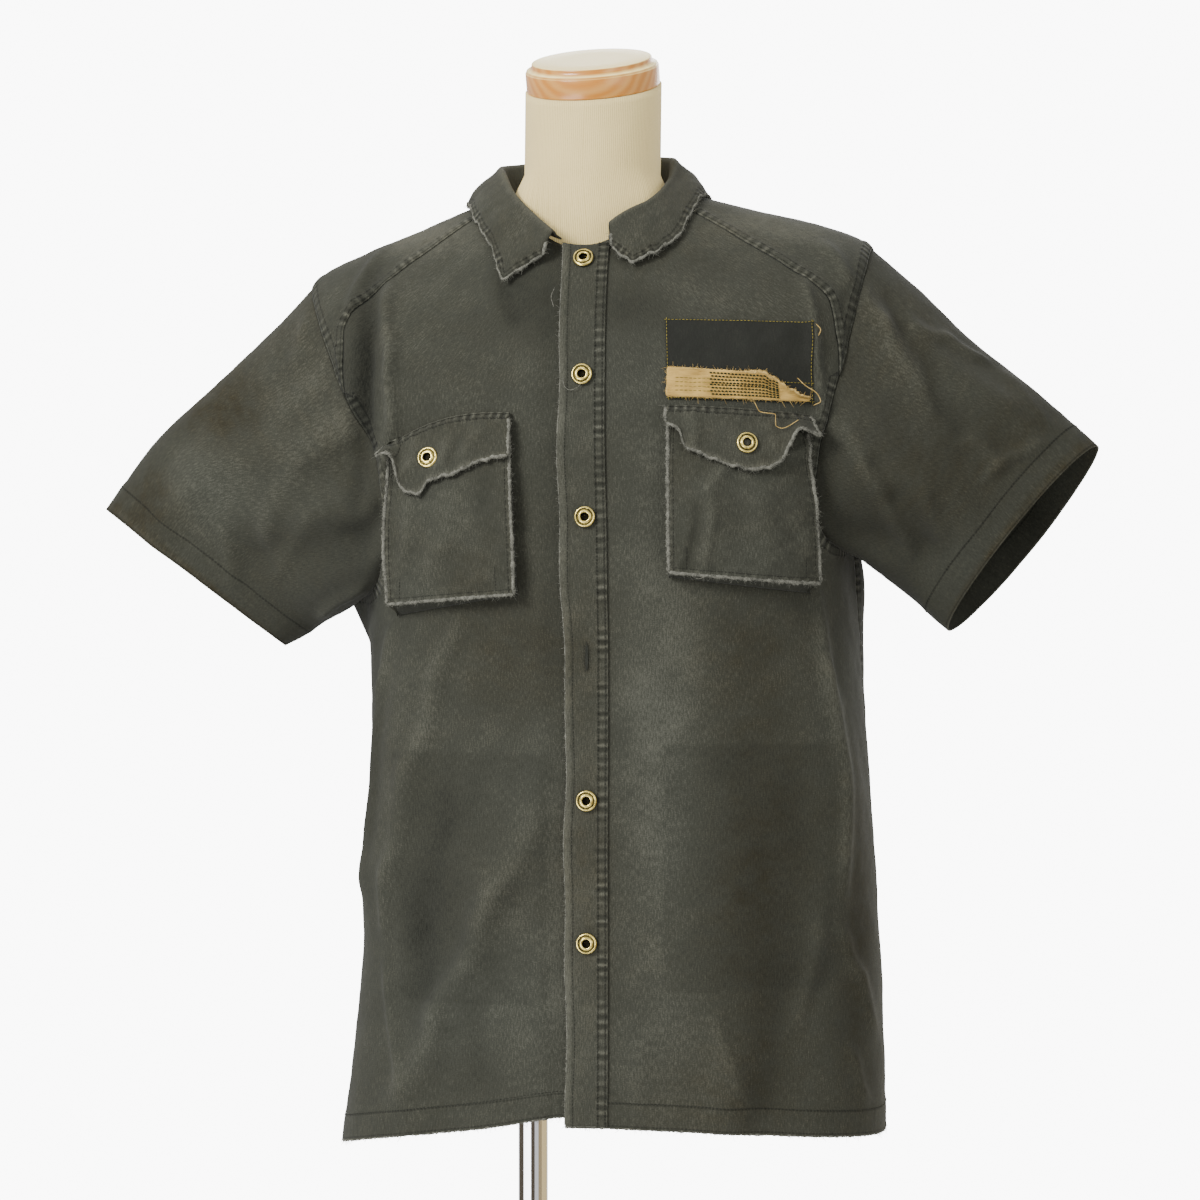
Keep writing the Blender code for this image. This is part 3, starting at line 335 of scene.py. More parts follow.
RING_ROWS = each(BodyRing,
    ("neckline", -.076, 1.2215, .069, 1.2265, -.01, .0035, -.089, 1.1765, .052, 1.232, 2.0, 2.0),
    ("collar edge", -.105, 1.2145, .098, 1.2195, -.006, .004, -.108, 1.147, .073, 1.212, 2.1, 2.0),
    ("mid shoulder", -.15, 1.197, .145, 1.208, .0, .0055, -.123, 1.108, .091, 1.18, 2.2, 2.1),
    ("shoulder", -.197, 1.179, .192, 1.1975, .002, .0075, -.133, 1.068, .104, 1.14, 2.4, 2.2),
    ("shoulder end", -.243, 1.1505, .237, 1.177, .004, .009, -.139, 1.028, .112, 1.098, 2.5, 2.3),
    ("upper arm", -.25, 1.085, .247, 1.115, .004, .0105, -.142, .985, .12, 1.045, 2.6, 2.4),
    ("mid armhole", -.236, 1.01, .239, 1.045, .003, .012, -.145, .935, .127, .985, 2.6, 2.5),
    ("low armhole", -.212, .94, .224, .978, .0, .013, -.148, .885, .132, .925, 2.6, 2.5),
    ("underarm", -.194, .885, .218, .928, -.002, .014, -.149, .835, .134, .868, 2.6, 2.5),
    ("ribs", -.1905, .79, .228, .82, -.004, .014, -.149, .77, .132, .78, 2.6, 2.5),
    ("waist", -.1925, .66, .2385, .68, -.006, .0136, -.149, .66, .127, .66, 2.6, 2.5),
    ("hip", -.203, .529, .247, .54, -.008, .0136, -.148, .545, .121, .53, 2.5, 2.4),
    ("hem", -.2165, .4125, .25, .431, -.01, .0129, -.146, .448, .117, .415, 2.5, 2.4))
RING_COLUMNS = tuple(BodyRing.__dataclass_fields__)[1:]

# The body's large folds, as on its solid: chart x, z, then half width and depth.
LARGE_FOLDS = {
    Face.FRONT: each(Crease,
        (-.04, .68, -.148, .455, .026, .007), (-.128, .85, -.185, .61, .022, .005),
        (-.1, .64, -.11, .45, .03, -.006), (.196, .83, .212, .61, .022, .006),
        (.186, .58, .15, .44, .026, -.005), (.12, .52, .142, .44, .02, .005)),
    Face.BACK: each(Crease,
        (-.12, .96, -.165, .56, .03, .008), (-.045, .82, -.075, .44, .03, -.007),
        (.06, .86, .085, .46, .032, .008), (.15, .95, .19, .52, .028, .007)),
}
# Creases that the solid leaves out.
CREASES = {
    Face.FRONT: each(Crease,
        (-.097, .866, -.113, .812, .008, .003), (-.113, .818, -.137, .73, .009, .0034),
        (-.134, .742, -.157, .65, .008, .003), (-.156, .662, -.166, .6, .005, .0026),
        (-.163, .575, -.148, .478, .005, .0026), (-.024, .702, -.064, .638, .01, .0026),
        (-.058, .648, -.092, .575, .01, .0036), (-.086, .588, -.12, .528, .011, .0038),
        (-.112, .541, -.147, .462, .011, .0036), (-.106, .73, -.131, .6, .015, -.0026),
        (-.128, .62, -.131, .54, .014, -.0024), (-.064, .631, -.078, .56, .007, .001),
        (-.154, .86, -.168, .8, .005, .0028), (-.167, .812, -.178, .69, .005, .003),
        (-.177, .7, -.182, .63, .005, .0026), (-.01, .779, -.051, .688, .013, .0013),
        (-.166, 1.142, -.155, 1.075, .006, .0038), (-.156, 1.085, -.153, 1.02, .006, .004),
        (-.154, 1.03, -.16, .9, .007, .0034), (-.181, 1.12, -.173, .96, .008, -.0042),
        (-.064, 1.146, -.049, 1.108, .006, -.0018), (-.182, 1.176, -.198, 1.122, .006, .0026),
        (.198, .836, .211, .745, .005, .003), (.211, .76, .216, .64, .005, .003),
        (.2, .618, .187, .532, .006, .0026), (.213, .612, .229, .568, .005, .003),
        (.227, .578, .246, .515, .005, .0032), (.115, .542, .131, .498, .005, .0022),
        (.129, .505, .144, .47, .005, .002), (.224, .508, .238, .462, .004, .0022),
        (.136, .69, .139, .61, .015, .0011), (.163, .755, .175, .655, .015, .0011),
        (.187, 1.146, .196, 1.088, .005, .003), (.195, 1.098, .201, 1.02, .005, .003),
        (.218, 1.04, .216, .935, .005, .0024), (.196, .89, .202, .8, .005, .0028),
        (.198, 1.178, .224, 1.142, .006, .0028), (.206, 1.02, .208, .96, .007, -.0024),
        (.028, 1.1, .046, 1.04, .012, .0008), (.06, .86, .066, .7, .016, .001),
        (-.03, 1.08, -.048, 1.02, .014, .0008), (.092, .88, .11, .79, .014, .0009),
        (-.08, .548, -.07, .47, .01, -.0012), (.06, .52, .052, .455, .01, .0012)),
    Face.BACK: each(Crease,
        (-.172, 1.13, -.15, .985, .009, .0036), (-.152, 1.0, -.168, .84, .008, .0032),
        (-.14, .86, -.172, .7, .009, .003), (-.168, .7, -.186, .56, .008, .003),
        (-.11, .79, -.148, .61, .01, .003), (-.14, .6, -.158, .46, .01, .0028),
        (-.075, .92, -.098, .76, .014, .0018), (-.05, .64, -.078, .47, .011, .003),
        (-.02, .76, -.034, .58, .014, -.0018), (.004, .98, .01, .8, .018, .0012),
        (.028, .7, .044, .5, .01, .0028), (.082, .88, .104, .69, .011, .003),
        (.104, .7, .112, .47, .011, .003), (.15, .84, .176, .69, .008, .003),
        (.176, .69, .192, .52, .008, .003), (.17, 1.14, .16, .99, .009, .0036),
        (.16, 1.01, .188, .86, .008, .0032), (.2, .86, .214, .7, .006, .0028),
        (.214, .69, .226, .54, .006, .0026), (.14, .56, .128, .45, .009, -.0022),
        (.01, .62, .0, .47, .012, -.0018), (.06, 1.08, .04, .96, .016, .0012),
        (-.06, 1.09, -.05, .96, .016, .0012), (-.182, .98, -.19, .9, .008, -.003),
        (.196, 1.06, .206, .95, .008, -.003), (-.2, .64, -.206, .48, .005, .0026)),
}
# Fades and brown stains; the narrow dark strips by the armholes and sides, and the two dark patches
# under the collar's front, are painted shade.
WASHES = {
    Face.FRONT: each(Wash,
        (.078, .74, .035, .26, .1, -.2), (.155, .66, .04, .15, -.04, .55),
        (.12, .47, .08, .05, .02, .35), (-.03, .6, .045, .12, .08, -.1),
        (-.05, .84, .055, .05, .0, .45), (-.11, .95, .06, .05, .03, .15),
        (-.04, 1.125, .03, .028, -.14, .0), (.05, 1.12, .035, .02, -.12, .0),
        (-.12, .56, .05, .1, -.05, -.1), (-.15, 1.19, .06, .018, .2, .2),
        (.15, 1.195, .07, .018, .16, .2), (.135, .84, .05, .05, .02, .45),
        (-.185, 1.05, .014, .14, -.22, .0), (-.176, .76, .01, .12, -.16, .0),
        (.228, 1.0, .012, .09, -.18, .0), (.23, .6, .016, .12, -.04, .7),
        (.014, .7, .018, .2, .02, .35), (.1, 1.13, .05, .02, .05, .0)),
    Face.BACK: each(Wash,
        (.0, 1.17, .16, .03, .16, .2), (-.09, .74, .05, .18, .05, -.1),
        (.11, .66, .05, .15, -.03, .5), (-.05, .5, .1, .06, .02, .3),
        (.02, .98, .09, .08, .06, -.1), (-.18, .98, .014, .1, -.2, .0),
        (.205, 1.0, .014, .1, -.2, .0)),
}
# Where lower pockets were unpicked: x and z of opposite corners, a shade darker than round them.
UNPICKED = ((-.1502, .5475, -.0207, .7545), (.0765, .5615, .2083, .7635))
# Puffs of slack cloth: s, t, half width in s and in t, and depth.
PUFFS = ((2.96, .47, .110, .045, .022), (1.12, .50, .120, .060, .010))


class ShirtBody:
    """The surface that the fronts, yokes, back and all that is sewn on them are read from."""

    def __init__(self) -> None:
        self.column = {name: np.array([getattr(row, name) for row in RING_ROWS], float)
                       for name in RING_COLUMNS}
        steps = np.zeros(len(RING_ROWS) - 1)
        for across, down in (("x_right", "z_right"), ("x_left", "z_left"),
                             ("y_front", "z_front"), ("y_back", "z_back")):
            steps += np.hypot(np.diff(self.column[across]), np.diff(self.column[down])) / 4
        way = np.concatenate(([0.0], np.cumsum(steps)))
        self.knots, self.length = way / way[-1], way[-1]
        self.t_of = {row.name: t for row, t in zip(RING_ROWS, self.knots)}

    def value(self, column: str, t: Array) -> Array:
        """A ring column at t."""
        return smooth_column(self.knots, self.column[column], np.asarray(t, float))

    def smooth(self, s: Array, t: Array) -> Array:
        """Point of the outer face without folds."""
        s, t = np.broadcast_arrays(np.asarray(s, float), np.asarray(t, float))
        across, ahead = np.sin(s * math.pi / 2), np.cos(s * math.pi / 2)
        row = {name: self.value(name, t) for name in RING_COLUMNS}
        front = ahead > 0
        power = np.where(front, row["square_front"], row["square_back"])
        swell = (np.abs(across)**power + np.abs(ahead)**power)**(-1 / power)
        half_width = np.where(across > 0, row["x_left"] - row["x_mid"],
                              row["x_mid"] - row["x_right"])
        half_depth = np.where(front, row["y_side"] - row["y_front"], row["y_back"] - row["y_side"])
        z_side = np.where(across > 0, row["z_left"], row["z_right"])
        z_face = np.where(front, row["z_front"], row["z_back"])
        return np.stack([row["x_mid"] + across * swell * half_width,
                         row["y_side"] - ahead * swell * half_depth,
                         z_face * ahead**2 + z_side * across**2], axis=-1)

    def normals(self, s: Array, t: Array, step: float = 1e-3) -> Array:
        """Outward unit normals of the smooth face."""
        along = self.smooth(s + step, t) - self.smooth(s - step, t)
        down = self.smooth(s, np.clip(t + step, 0, 1)) - self.smooth(s, np.clip(t - step, 0, 1))
        return unit(np.cross(down, along))

    def folds(self, points: Array, facing: Array, table: dict) -> Array:
        """Height of a table of creases; facing is the normal's y."""
        height = np.zeros(points.shape[:-1])
        for face, creases in table.items():
            side = ramp(facing * face.value, 0.05, 0.45)
            for crease in creases:
                height += side * crease.height(points[..., 0], points[..., 2])
        return height

    def at(self, s: Array, t: Array, lift: Array | float = 0.0,
           fine: bool = True) -> tuple[Array, Array]:
        """Points and normals of the folded face.

        Args:
            s: way round.
            t: way down.
            lift: how far off the face.
            fine: with the creases that the solid leaves out.
        Returns:
            Points and outward normals, in shirt coordinates.
        """
        s, t = np.broadcast_arrays(np.asarray(s, float), np.asarray(t, float))
        points, normals = self.smooth(s, t), self.normals(s, t)
        height = self.folds(points, normals[..., 1], LARGE_FOLDS) + lift
        for at_s, at_t, half_s, half_t, depth in PUFFS:
            height = height + depth * np.exp(-((s - at_s) / half_s)**2 - ((t - at_t) / half_t)**2)
        if fine:
            height = height + self.fine_height(points, normals)
        return points + normals * height[..., None], normals

    def fine_height(self, points: Array, normals: Array) -> Array:
        """Creases and slight unevenness over the solid's form."""
        height = self.folds(points, normals[..., 1], CREASES)
        height += 0.0006 * soft_noise(points, 0.085, 11) + 0.00028 * soft_noise(points, 0.034, 12)
        return height + 0.00012 * soft_noise(points, 0.013, 13)

    def tones(self, points: Array, normals: Array) -> tuple[Array, Array]:
        """How faded, how brown and how shaded the cloth is at each point of the smooth face:
        painted light and shade on its folds, painted shade under the collar and where it turns
        away.
        """
        creases = self.folds(points, normals[..., 1], CREASES)
        large = self.folds(points, normals[..., 1], LARGE_FOLDS)
        # Painted light and shade: fold ridges lighter, troughs darker; the creases' crests are
        # lighter partly by wear.
        fade = 0.42 + crest_tone(creases) + 4.0 * large
        tint = 0.22 + 0.12 * soft_noise(points, 0.16, 21)
        for face, washes in WASHES.items():
            side = ramp(normals[..., 1] * face.value, -0.05, 0.35)
            for wash in washes:
                strength = side * wash.strength(points[..., 0], points[..., 2])
                fade, tint = fade + strength * wash.fade, tint + strength * wash.tint
        front = ramp(-normals[..., 1], 0.1, 0.4)
        for x_0, z_0, x_1, z_1 in UNPICKED:
            inside = (ramp(points[..., 0], x_0 - .002, x_0 + .002)
                      * (1 - ramp(points[..., 0], x_1 - .002, x_1 + .002))
                      * ramp(points[..., 2], z_0 - .002, z_0 + .002)
                      * (1 - ramp(points[..., 2], z_1 - .0015, z_1 + .0015)))
            fade = fade - 0.060 * inside * front
        fade += 0.020 * soft_noise(points, 0.045, 22) + 0.014 * soft_noise(points, 0.018, 23)
        return fade, tint

    def find_on_front(self, x: Array, z: Array) -> tuple[Array, Array]:
        """(s, t) of the front's point that is seen at x, z."""
        goal = np.stack(np.broadcast_arrays(np.asarray(x, float), np.asarray(z, float)), axis=-1)
        s = np.clip(goal[..., 0] * 3.5, -0.8, 0.8)
        t = np.clip((1.18 - goal[..., 1]) / 0.74, 0.02, 0.98)
        step = 1e-4
        for _ in range(25):
            here = self.smooth(s, t)[..., [0, 2]]
            by_s = (self.smooth(s + step, t)[..., [0, 2]] - here) / step
            by_t = (self.smooth(s, np.clip(t + step, 0, 1))[..., [0, 2]] - here) / step
            miss = goal - here
            scale = by_s[..., 0] * by_t[..., 1] - by_s[..., 1] * by_t[..., 0]
            ds = (miss[..., 0] * by_t[..., 1] - miss[..., 1] * by_t[..., 0]) / scale
            dt = (miss[..., 1] * by_s[..., 0] - miss[..., 0] * by_s[..., 1]) / scale
            s = np.clip(s + np.clip(ds, -0.1, 0.1), -0.98, 0.98)
            t = np.clip(t + np.clip(dt, -0.1, 0.1), 0.0, 0.999)
        return s, t

    def s_of_offset(self, side: Side, offset: Array, t: Array) -> Array:
        """s of the front point that lies offset from the middle, towards a side."""
        edge = self.value("x_left" if side is Side.LEFT else "x_right", t)
        half_width = np.abs(edge - self.value("x_mid", t))
        return side.sign * np.arcsin(np.clip(offset / half_width, -1, 1)) * 2 / math.pi


def crest_tone(height: Array) -> Array:
    """How much a crest is lightened by wear and painted light, and a trough darkened by painted
    shade.
    """
    return np.where(height > 0, 11.0 * height, 20.0 * height)


# --- meshes ---------------------------------------------------------------------------------------
def set_down(name: str, data: bpy.types.ID) -> bpy.types.Object:
    """Object of this data, in the scene."""
    item = bpy.data.objects.new(name, data)
    bpy.context.scene.collection.objects.link(item)
    return item


def mesh_object(name: str, bm: bmesh.types.BMesh,
                material: bpy.types.Material) -> bpy.types.Object:
    """Object of one finish made from a bmesh, which is freed."""
    mesh = bpy.data.meshes.new(name)
    bm.to_mesh(mesh)
    bm.free()
    mesh.materials.append(material)
    return set_down(name, mesh)


def take_in(whole: bmesh.types.BMesh, bm: bmesh.types.BMesh) -> None:
    """Add a bmesh to a whole one, and free it."""
    mesh = bpy.data.meshes.new("taken in")
    bm.to_mesh(mesh)
    bm.free()
    whole.from_mesh(mesh)
    bpy.data.meshes.remove(mesh)


def to_object(name: str, bm: bmesh.types.BMesh, material: bpy.types.Material,
              replaces: tuple[str, ...] = ()) -> bpy.types.Object:
    """Turn a bmesh into a piece of the part.

    Args:
        name: the piece.
        bm: its mesh, in shirt coordinates; freed here.
        material: its finish.
        replaces: solids that it stands for.
    Returns:
        The object, at the origin, riding on the body.
    """
    bmesh.ops.translate(bm, verts=bm.verts, vec=Vector(PLACE))
    item = mesh_object(name, bm, material)
    item.data.shade_smooth()
    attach(item, BODY)
    if replaces:
        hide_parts(*replaces)
    LOG.info("%s: %d faces", name, len(item.data.polygons))
    return item


def shaped_grid(points: Array, uv: Array | None = None, fields: dict[str, Array] | None = None,
                closed_round: bool = False, outward: Array | None = None) -> bmesh.types.BMesh:
    """Make a grid and move its corners to the given places.

    Args:
        points: (rows, columns, 3).
        uv: cloth coordinates in metres, (rows, columns, 2).
        fields: named values for each point.
        closed_round: join the last column to the first.
        outward: normals that the faces have to agree with.
    Returns:
        The bmesh, with its UV map and its attributes.
    """
    def wrapped(grid: Array) -> Array:
        return np.concatenate([grid, grid[:, :1]], axis=1) if closed_round else grid

    points = wrapped(points)
    rows, columns = points.shape[:2]
    bm = bmesh.new()
    bmesh.ops.create_grid(bm, x_segments=columns - 1, y_segments=rows - 1, size=0.5)
    places = np.array([vert.co[:2] for vert in bm.verts])
    column = np.rint((places[:, 0] + 0.5) * (columns - 1)).astype(int)
    row = np.rint((0.5 - places[:, 1]) * (rows - 1)).astype(int)
    layers = {name: (bm.verts.layers.float.new(name), wrapped(grid))
              for name, grid in (fields or {}).items()}
    for vert, i, j in zip(bm.verts, row, column):
        vert.co = points[i, j]
        for layer, grid in layers.values():
            vert[layer] = float(grid[i, j])
    if uv is not None:
        uv = uv if uv.shape[1] == columns else wrapped(uv)
        layer = bm.loops.layers.uv.new("UVMap")
        bm.verts.index_update()
        for face in bm.faces:
            for loop in face.loops:
                k = loop.vert.index
                loop[layer].uv = uv[row[k], column[k]]
    if closed_round:
        bmesh.ops.remove_doubles(bm, verts=bm.verts, dist=1e-6)
    if outward is not None:
        bm.faces.ensure_lookup_table()
        bm.normal_update()
        face = bm.faces[len(bm.faces) // 2]
        middle = np.array(face.calc_center_median())
        nearest = np.linalg.norm(points.reshape(-1, 3) - middle, axis=1).argmin()
        if np.array(face.normal) @ wrapped(outward).reshape(-1, 3)[nearest] < 0:
            bmesh.ops.reverse_faces(bm, faces=bm.faces)
    return bm


def give_thickness(item: bpy.types.Object) -> None:
    """Give a sheet its wall, behind the face that shows."""
    solidify = item.modifiers.new("Cloth thickness", "SOLIDIFY")
    solidify.thickness = CLOTH
    solidify.offset = -1.0
    solidify.use_even_offset = False


def turned(profile: list[tuple[float, float]], sides: int,
           tarnish_and_shade: tuple[float, ...] = ()) -> bmesh.types.BMesh:
    """Closed shape turned from a profile.

    Args:
        profile: radius and height, point by point.
        sides: steps round.
        tarnish_and_shade: how tarnished it is at each point, if it is brass, and how dark its hole
            is painted as shade.
    Returns:
        The bmesh, about the Z axis.
    """
    bm = bmesh.new()
    layer = bm.verts.layers.float.new("tarnish_and_shade") if tarnish_and_shade else None
    points = [bm.verts.new((radius, 0.0, height)) for radius, height in profile]
    for vert, amount in zip(points, tarnish_and_shade):
        vert[layer] = amount
    edges = [bm.edges.new(pair) for pair in zip(points, points[1:])]
    bmesh.ops.spin(bm, geom=points + edges, cent=(0, 0, 0), axis=(0, 0, 1), angle=2 * math.pi,
                   steps=sides, use_merge=True)
    bmesh.ops.remove_doubles(bm, verts=bm.verts, dist=1e-6)
    bmesh.ops.recalc_face_normals(bm, faces=bm.faces)
    return bm


class Swarm:
    """One small shape set down many times, joined into one mesh."""

    def __init__(self, template: bmesh.types.BMesh) -> None:
        template.verts.index_update()
        self.corners = np.array([vert.co[:] for vert in template.verts])
        self.faces = [[vert.index for vert in face.verts] for face in template.faces]
        template.free()
        self.frames: list[Array] = []

    def add(self, places: Array, along: Array, across: Array, up: Array) -> None:
        """Set copies down: each axis holds that copy's half size too; all are (n, 3)."""
        self.frames.append(np.stack([along, across, up, places], axis=1))

    def mesh(self) -> bmesh.types.BMesh:
        """All the copies in one bmesh."""
        frames = np.concatenate(self.frames)
        corners = np.einsum("ck,nkx->ncx", self.corners, frames[:, :3]) + frames[:, None, 3]
        size = len(self.corners)
        faces = [[n * size + k for k in face] for n in range(len(frames)) for face in self.faces]
        mesh = bpy.data.meshes.new("swarm")
        mesh.from_pydata(corners.reshape(-1, 3).tolist(), [], faces)
        bm = bmesh.new()
        bm.from_mesh(mesh)
        bpy.data.meshes.remove(mesh)
        return bm


def stitch_template() -> bmesh.types.BMesh:
    """Bead of unit half length, for one stitch."""
    bm = bmesh.new()
    bmesh.ops.create_uvsphere(bm, u_segments=5, v_segments=4, radius=1.0)
    bmesh.ops.rotate(bm, verts=bm.verts, matrix=Matrix.Rotation(math.pi / 2, 3, "Y"))
    return bm


def fibre_template() -> bmesh.types.BMesh:
    """Three-sided hair that stands on its thick end."""
    bm = bmesh.new()
    bmesh.ops.create_cone(bm, cap_ends=False, segments=3, radius1=1.0, radius2=0.35, depth=1.0)
    bmesh.ops.translate(bm, verts=bm.verts, vec=(0, 0, 0.5))
    return bm


@dataclass
class Stitching:
    """Rows of machine stitches in one thread."""
    name: str
    slot: str
    pitch: float = 0.0030
    length: float = 0.0024
    radius: float = 0.00026
    swarm: Swarm = field(default_factory=lambda: Swarm(stitch_template()))

    def row(self, path: Array, normals: Array, sunk: float = 0.3) -> None:
        """Sew along a path; sunk is the share of the thread that the cloth hides."""
        path, normals = respace(path, self.pitch, normals)
        normals = unit(normals)
        along = unit(np.gradient(path, axis=0))
        across = unit(np.cross(normals, along))
        self.swarm.add(path + normals * self.radius * (1 - sunk), along * self.length / 2,
                       across * self.radius, normals * self.radius)

    def build(self, material: bpy.types.Material) -> bpy.types.Object:
        """Make the rows one piece."""
        return to_object(self.name, self.swarm.mesh(), material)


@dataclass
class FrayedEdge:
    """Raw edge: a rope of loosened yarns with short ends standing out of it."""
    name: str
    slot: str = "charcoal_twill"
    radius: float = 0.0018
    density: float = 3000.0    # yarn ends in each metre
    reach: float = 0.0026      # their mean length
    seed: int = 5

    def build(self, paths: list[tuple[Array, Array, Array]],
              material: bpy.types.Material) -> bpy.types.Object:
        """Fray along paths.

        Args:
            paths: points, the way out of the cloth and the face's normals of each edge.
            material: the yarn.
        Returns:
            The piece.
        """
        rng = np.random.default_rng(self.seed)
        hairs = Swarm(fibre_template())
        whole = bmesh.new()
        for path, outward, normals in paths:
            path, outward, normals = respace(path, 0.0016, outward, normals)
            outward, normals = unit(outward), unit(normals)
            angles = np.linspace(0, 2 * math.pi, 6, endpoint=False)
            lumps = 0.60 + 0.70 * rng.random((len(path), 6))
            lumps *= (0.8 + 0.4 * rng.random(len(path)))[:, None]
            lumps[[0, -1]] = 0.05
            ring = (np.cos(angles)[None, :, None] * outward[:, None]
                    + np.sin(angles)[None, :, None] * normals[:, None] * 0.8)
            take_in(whole, shaped_grid(path[:, None] + ring * (self.radius * lumps)[..., None],
                                       closed_round=True))
            total = way_along(path)[-1]
            count = int(total * self.density)
            at = rng.integers(0, len(path) - 1, count)
            along = unit(np.gradient(path, axis=0))[at]
            lean = (outward[at] * rng.normal(0.9, 0.45, (count, 1))
                    + normals[at] * rng.normal(0.25, 0.55, (count, 1))
                    + along * rng.normal(0, 0.75, (count, 1)))
            lean = unit(lean)
            side = unit(np.cross(lean, along + 0.01))
            length = self.reach * rng.gamma(3.0, 1 / 3.0, (count, 1)).clip(0.2, 2.6)
            thick = rng.uniform(0.00012, 0.00024, (count, 1))
            hairs.add(path[at] + along * rng.uniform(-.0008, .0008, (count, 1)),
                      side * thick, np.cross(lean, side) * thick, lean * length)
        take_in(whole, hairs.mesh())
        bmesh.ops.recalc_face_normals(whole, faces=whole.faces)
        return to_object(self.name, whole, material)


# --- sheets of cloth ------------------------------------------------------------------------------
class Edge(Enum):
    """Sides of a sheet's grid: its first and last row, and its first and last column."""
    TOP = "top"
    FOOT = "foot"
    FIRST = "first"
    LAST = "last"

    def foremost(self, grid: Array) -> Array:
        """Turn a grid so that this edge is its first column."""
        if self in (Edge.TOP, Edge.FOOT):
            return (grid if self is Edge.TOP else grid[::-1]).swapaxes(0, 1)
        return grid if self is Edge.FIRST else grid[:, ::-1]


@dataclass(frozen=True)
class Cut:
    """Flat size that a sheet was cut to, and what it lies on."""
    width: float
    length: float
    area: float
    rests_on: tuple[str, ...]
    held: str = "draped"


@dataclass
class Sheet:
    """Points of a piece of cloth's outer face, with what its weave, its wear and its painted light
    and shade need.
    """
    points: Array
    facing: Array
    uv: Array
    fade: Array
    tint: Array
    sewn: Sewn | None = None
    closed_round: bool = False

    def __post_init__(self) -> None:
        normals = grid_normals(self.points, self.closed_round)
        self.normals = normals * np.sign((normals * self.facing).sum(axis=-1).mean())

    def beside(self, edge: Edge, distance: float, start: float = 0.0,
               end: float = 1.0) -> tuple[Array, Array]:
        """Line on the sheet at a distance from one of its edges.

        Args:
            edge: which one.
            distance: how far in.
            start: share of the edge where the line begins.
            end: share of the edge where it ends.
        Returns:
            Points and normals along it.
        """
        points, normals = edge.foremost(self.points), edge.foremost(self.normals)
        border = unit(np.gradient(points[:, 0], axis=0))
        inward = unit(points[:, min(3, points.shape[1] - 1)] - points[:, 0])
        slant = np.sqrt(np.clip(1 - (border * inward).sum(-1)**2, 0.12, 1))
        way = np.cumsum(np.linalg.norm(np.diff(points, axis=1), axis=-1), axis=1)
        way = np.concatenate([np.zeros((len(way), 1)), way], axis=1)
        goal = np.minimum(distance / slant, way[:, -1] * 0.999)
        k = (way[:, 1:] < goal[:, None]).sum(axis=1)
        rows = np.arange(len(k))
        q = ((goal - way[rows, k]) / (way[rows, k + 1] - way[rows, k]))[:, None]
        path = points[rows, k] * (1 - q) + points[rows, k + 1] * q
        up = normals[rows, k] * (1 - q) + normals[rows, k + 1] * q
        kept = slice(int(start * len(path)), max(3, int(end * len(path))))
        return path[kept], up[kept]

    def border(self, edge: Edge, start: float = 0.0,
               end: float = 1.0) -> tuple[Array, Array, Array]:
        """Points of an edge, the way out of the cloth there, and its normals."""
        path, up = self.beside(edge, 0.0, start, end)
        inner, _ = self.beside(edge, 0.0025, start, end)
        return path - unit(up) * CLOTH / 2, unit(path - inner), up

    def build(self, name: str, material: bpy.types.Material, slot: str,
              cut: Cut) -> bpy.types.Object:
        """Make the piece that stands for the solid of this name."""
        sewn = self.sewn or Sewn.by(self.points, ())
        fields = {"fade": np.clip(self.fade, 0, 1), "tint": np.clip(self.tint, 0, 1),
                  "seam_away": sewn.away, "seam_way": sewn.way, "seam_band": sewn.band}
        bm = shaped_grid(self.points, self.uv, fields, self.closed_round, self.normals)
        item = to_object(f"{name}_cloth", bm, material, replaces=(name,))
        give_thickness(item)
        return item


def draw_in(grid: Array, amount: float, closed_round: bool = False) -> Array:
    """Stop a sheet short of its edges, so that sewn neighbours lie just apart."""
    grid = grid.copy()

    def pull(edge: Array, inner: Array) -> Array:
        return edge + unit(inner - edge) * amount

    grid[0], grid[-1] = pull(grid[0], grid[1]), pull(grid[-1], grid[-2])
    if not closed_round:
        grid[:, 0], grid[:, -1] = pull(grid[:, 0], grid[:, 1]), pull(grid[:, -1], grid[:, -2])
    return grid


# --- the body's panels ----------------------------------------------------------------------------
@dataclass(frozen=True)
class Armhole:
    """Where an armhole lies on the body, and where the yoke seams reach it."""
    side_s: float
    front_reach: float
    back_reach: float
    front_turn: float
    back_turn: float
    yoke_bow: float


ARMHOLES = {
    Side.LEFT: Armhole(1.0, 0.45, 0.34, math.radians(60), math.radians(42), 0.035),
    Side.RIGHT: Armhole(3.0, 0.56, 0.34, math.radians(52), math.radians(42), 0.0),
}


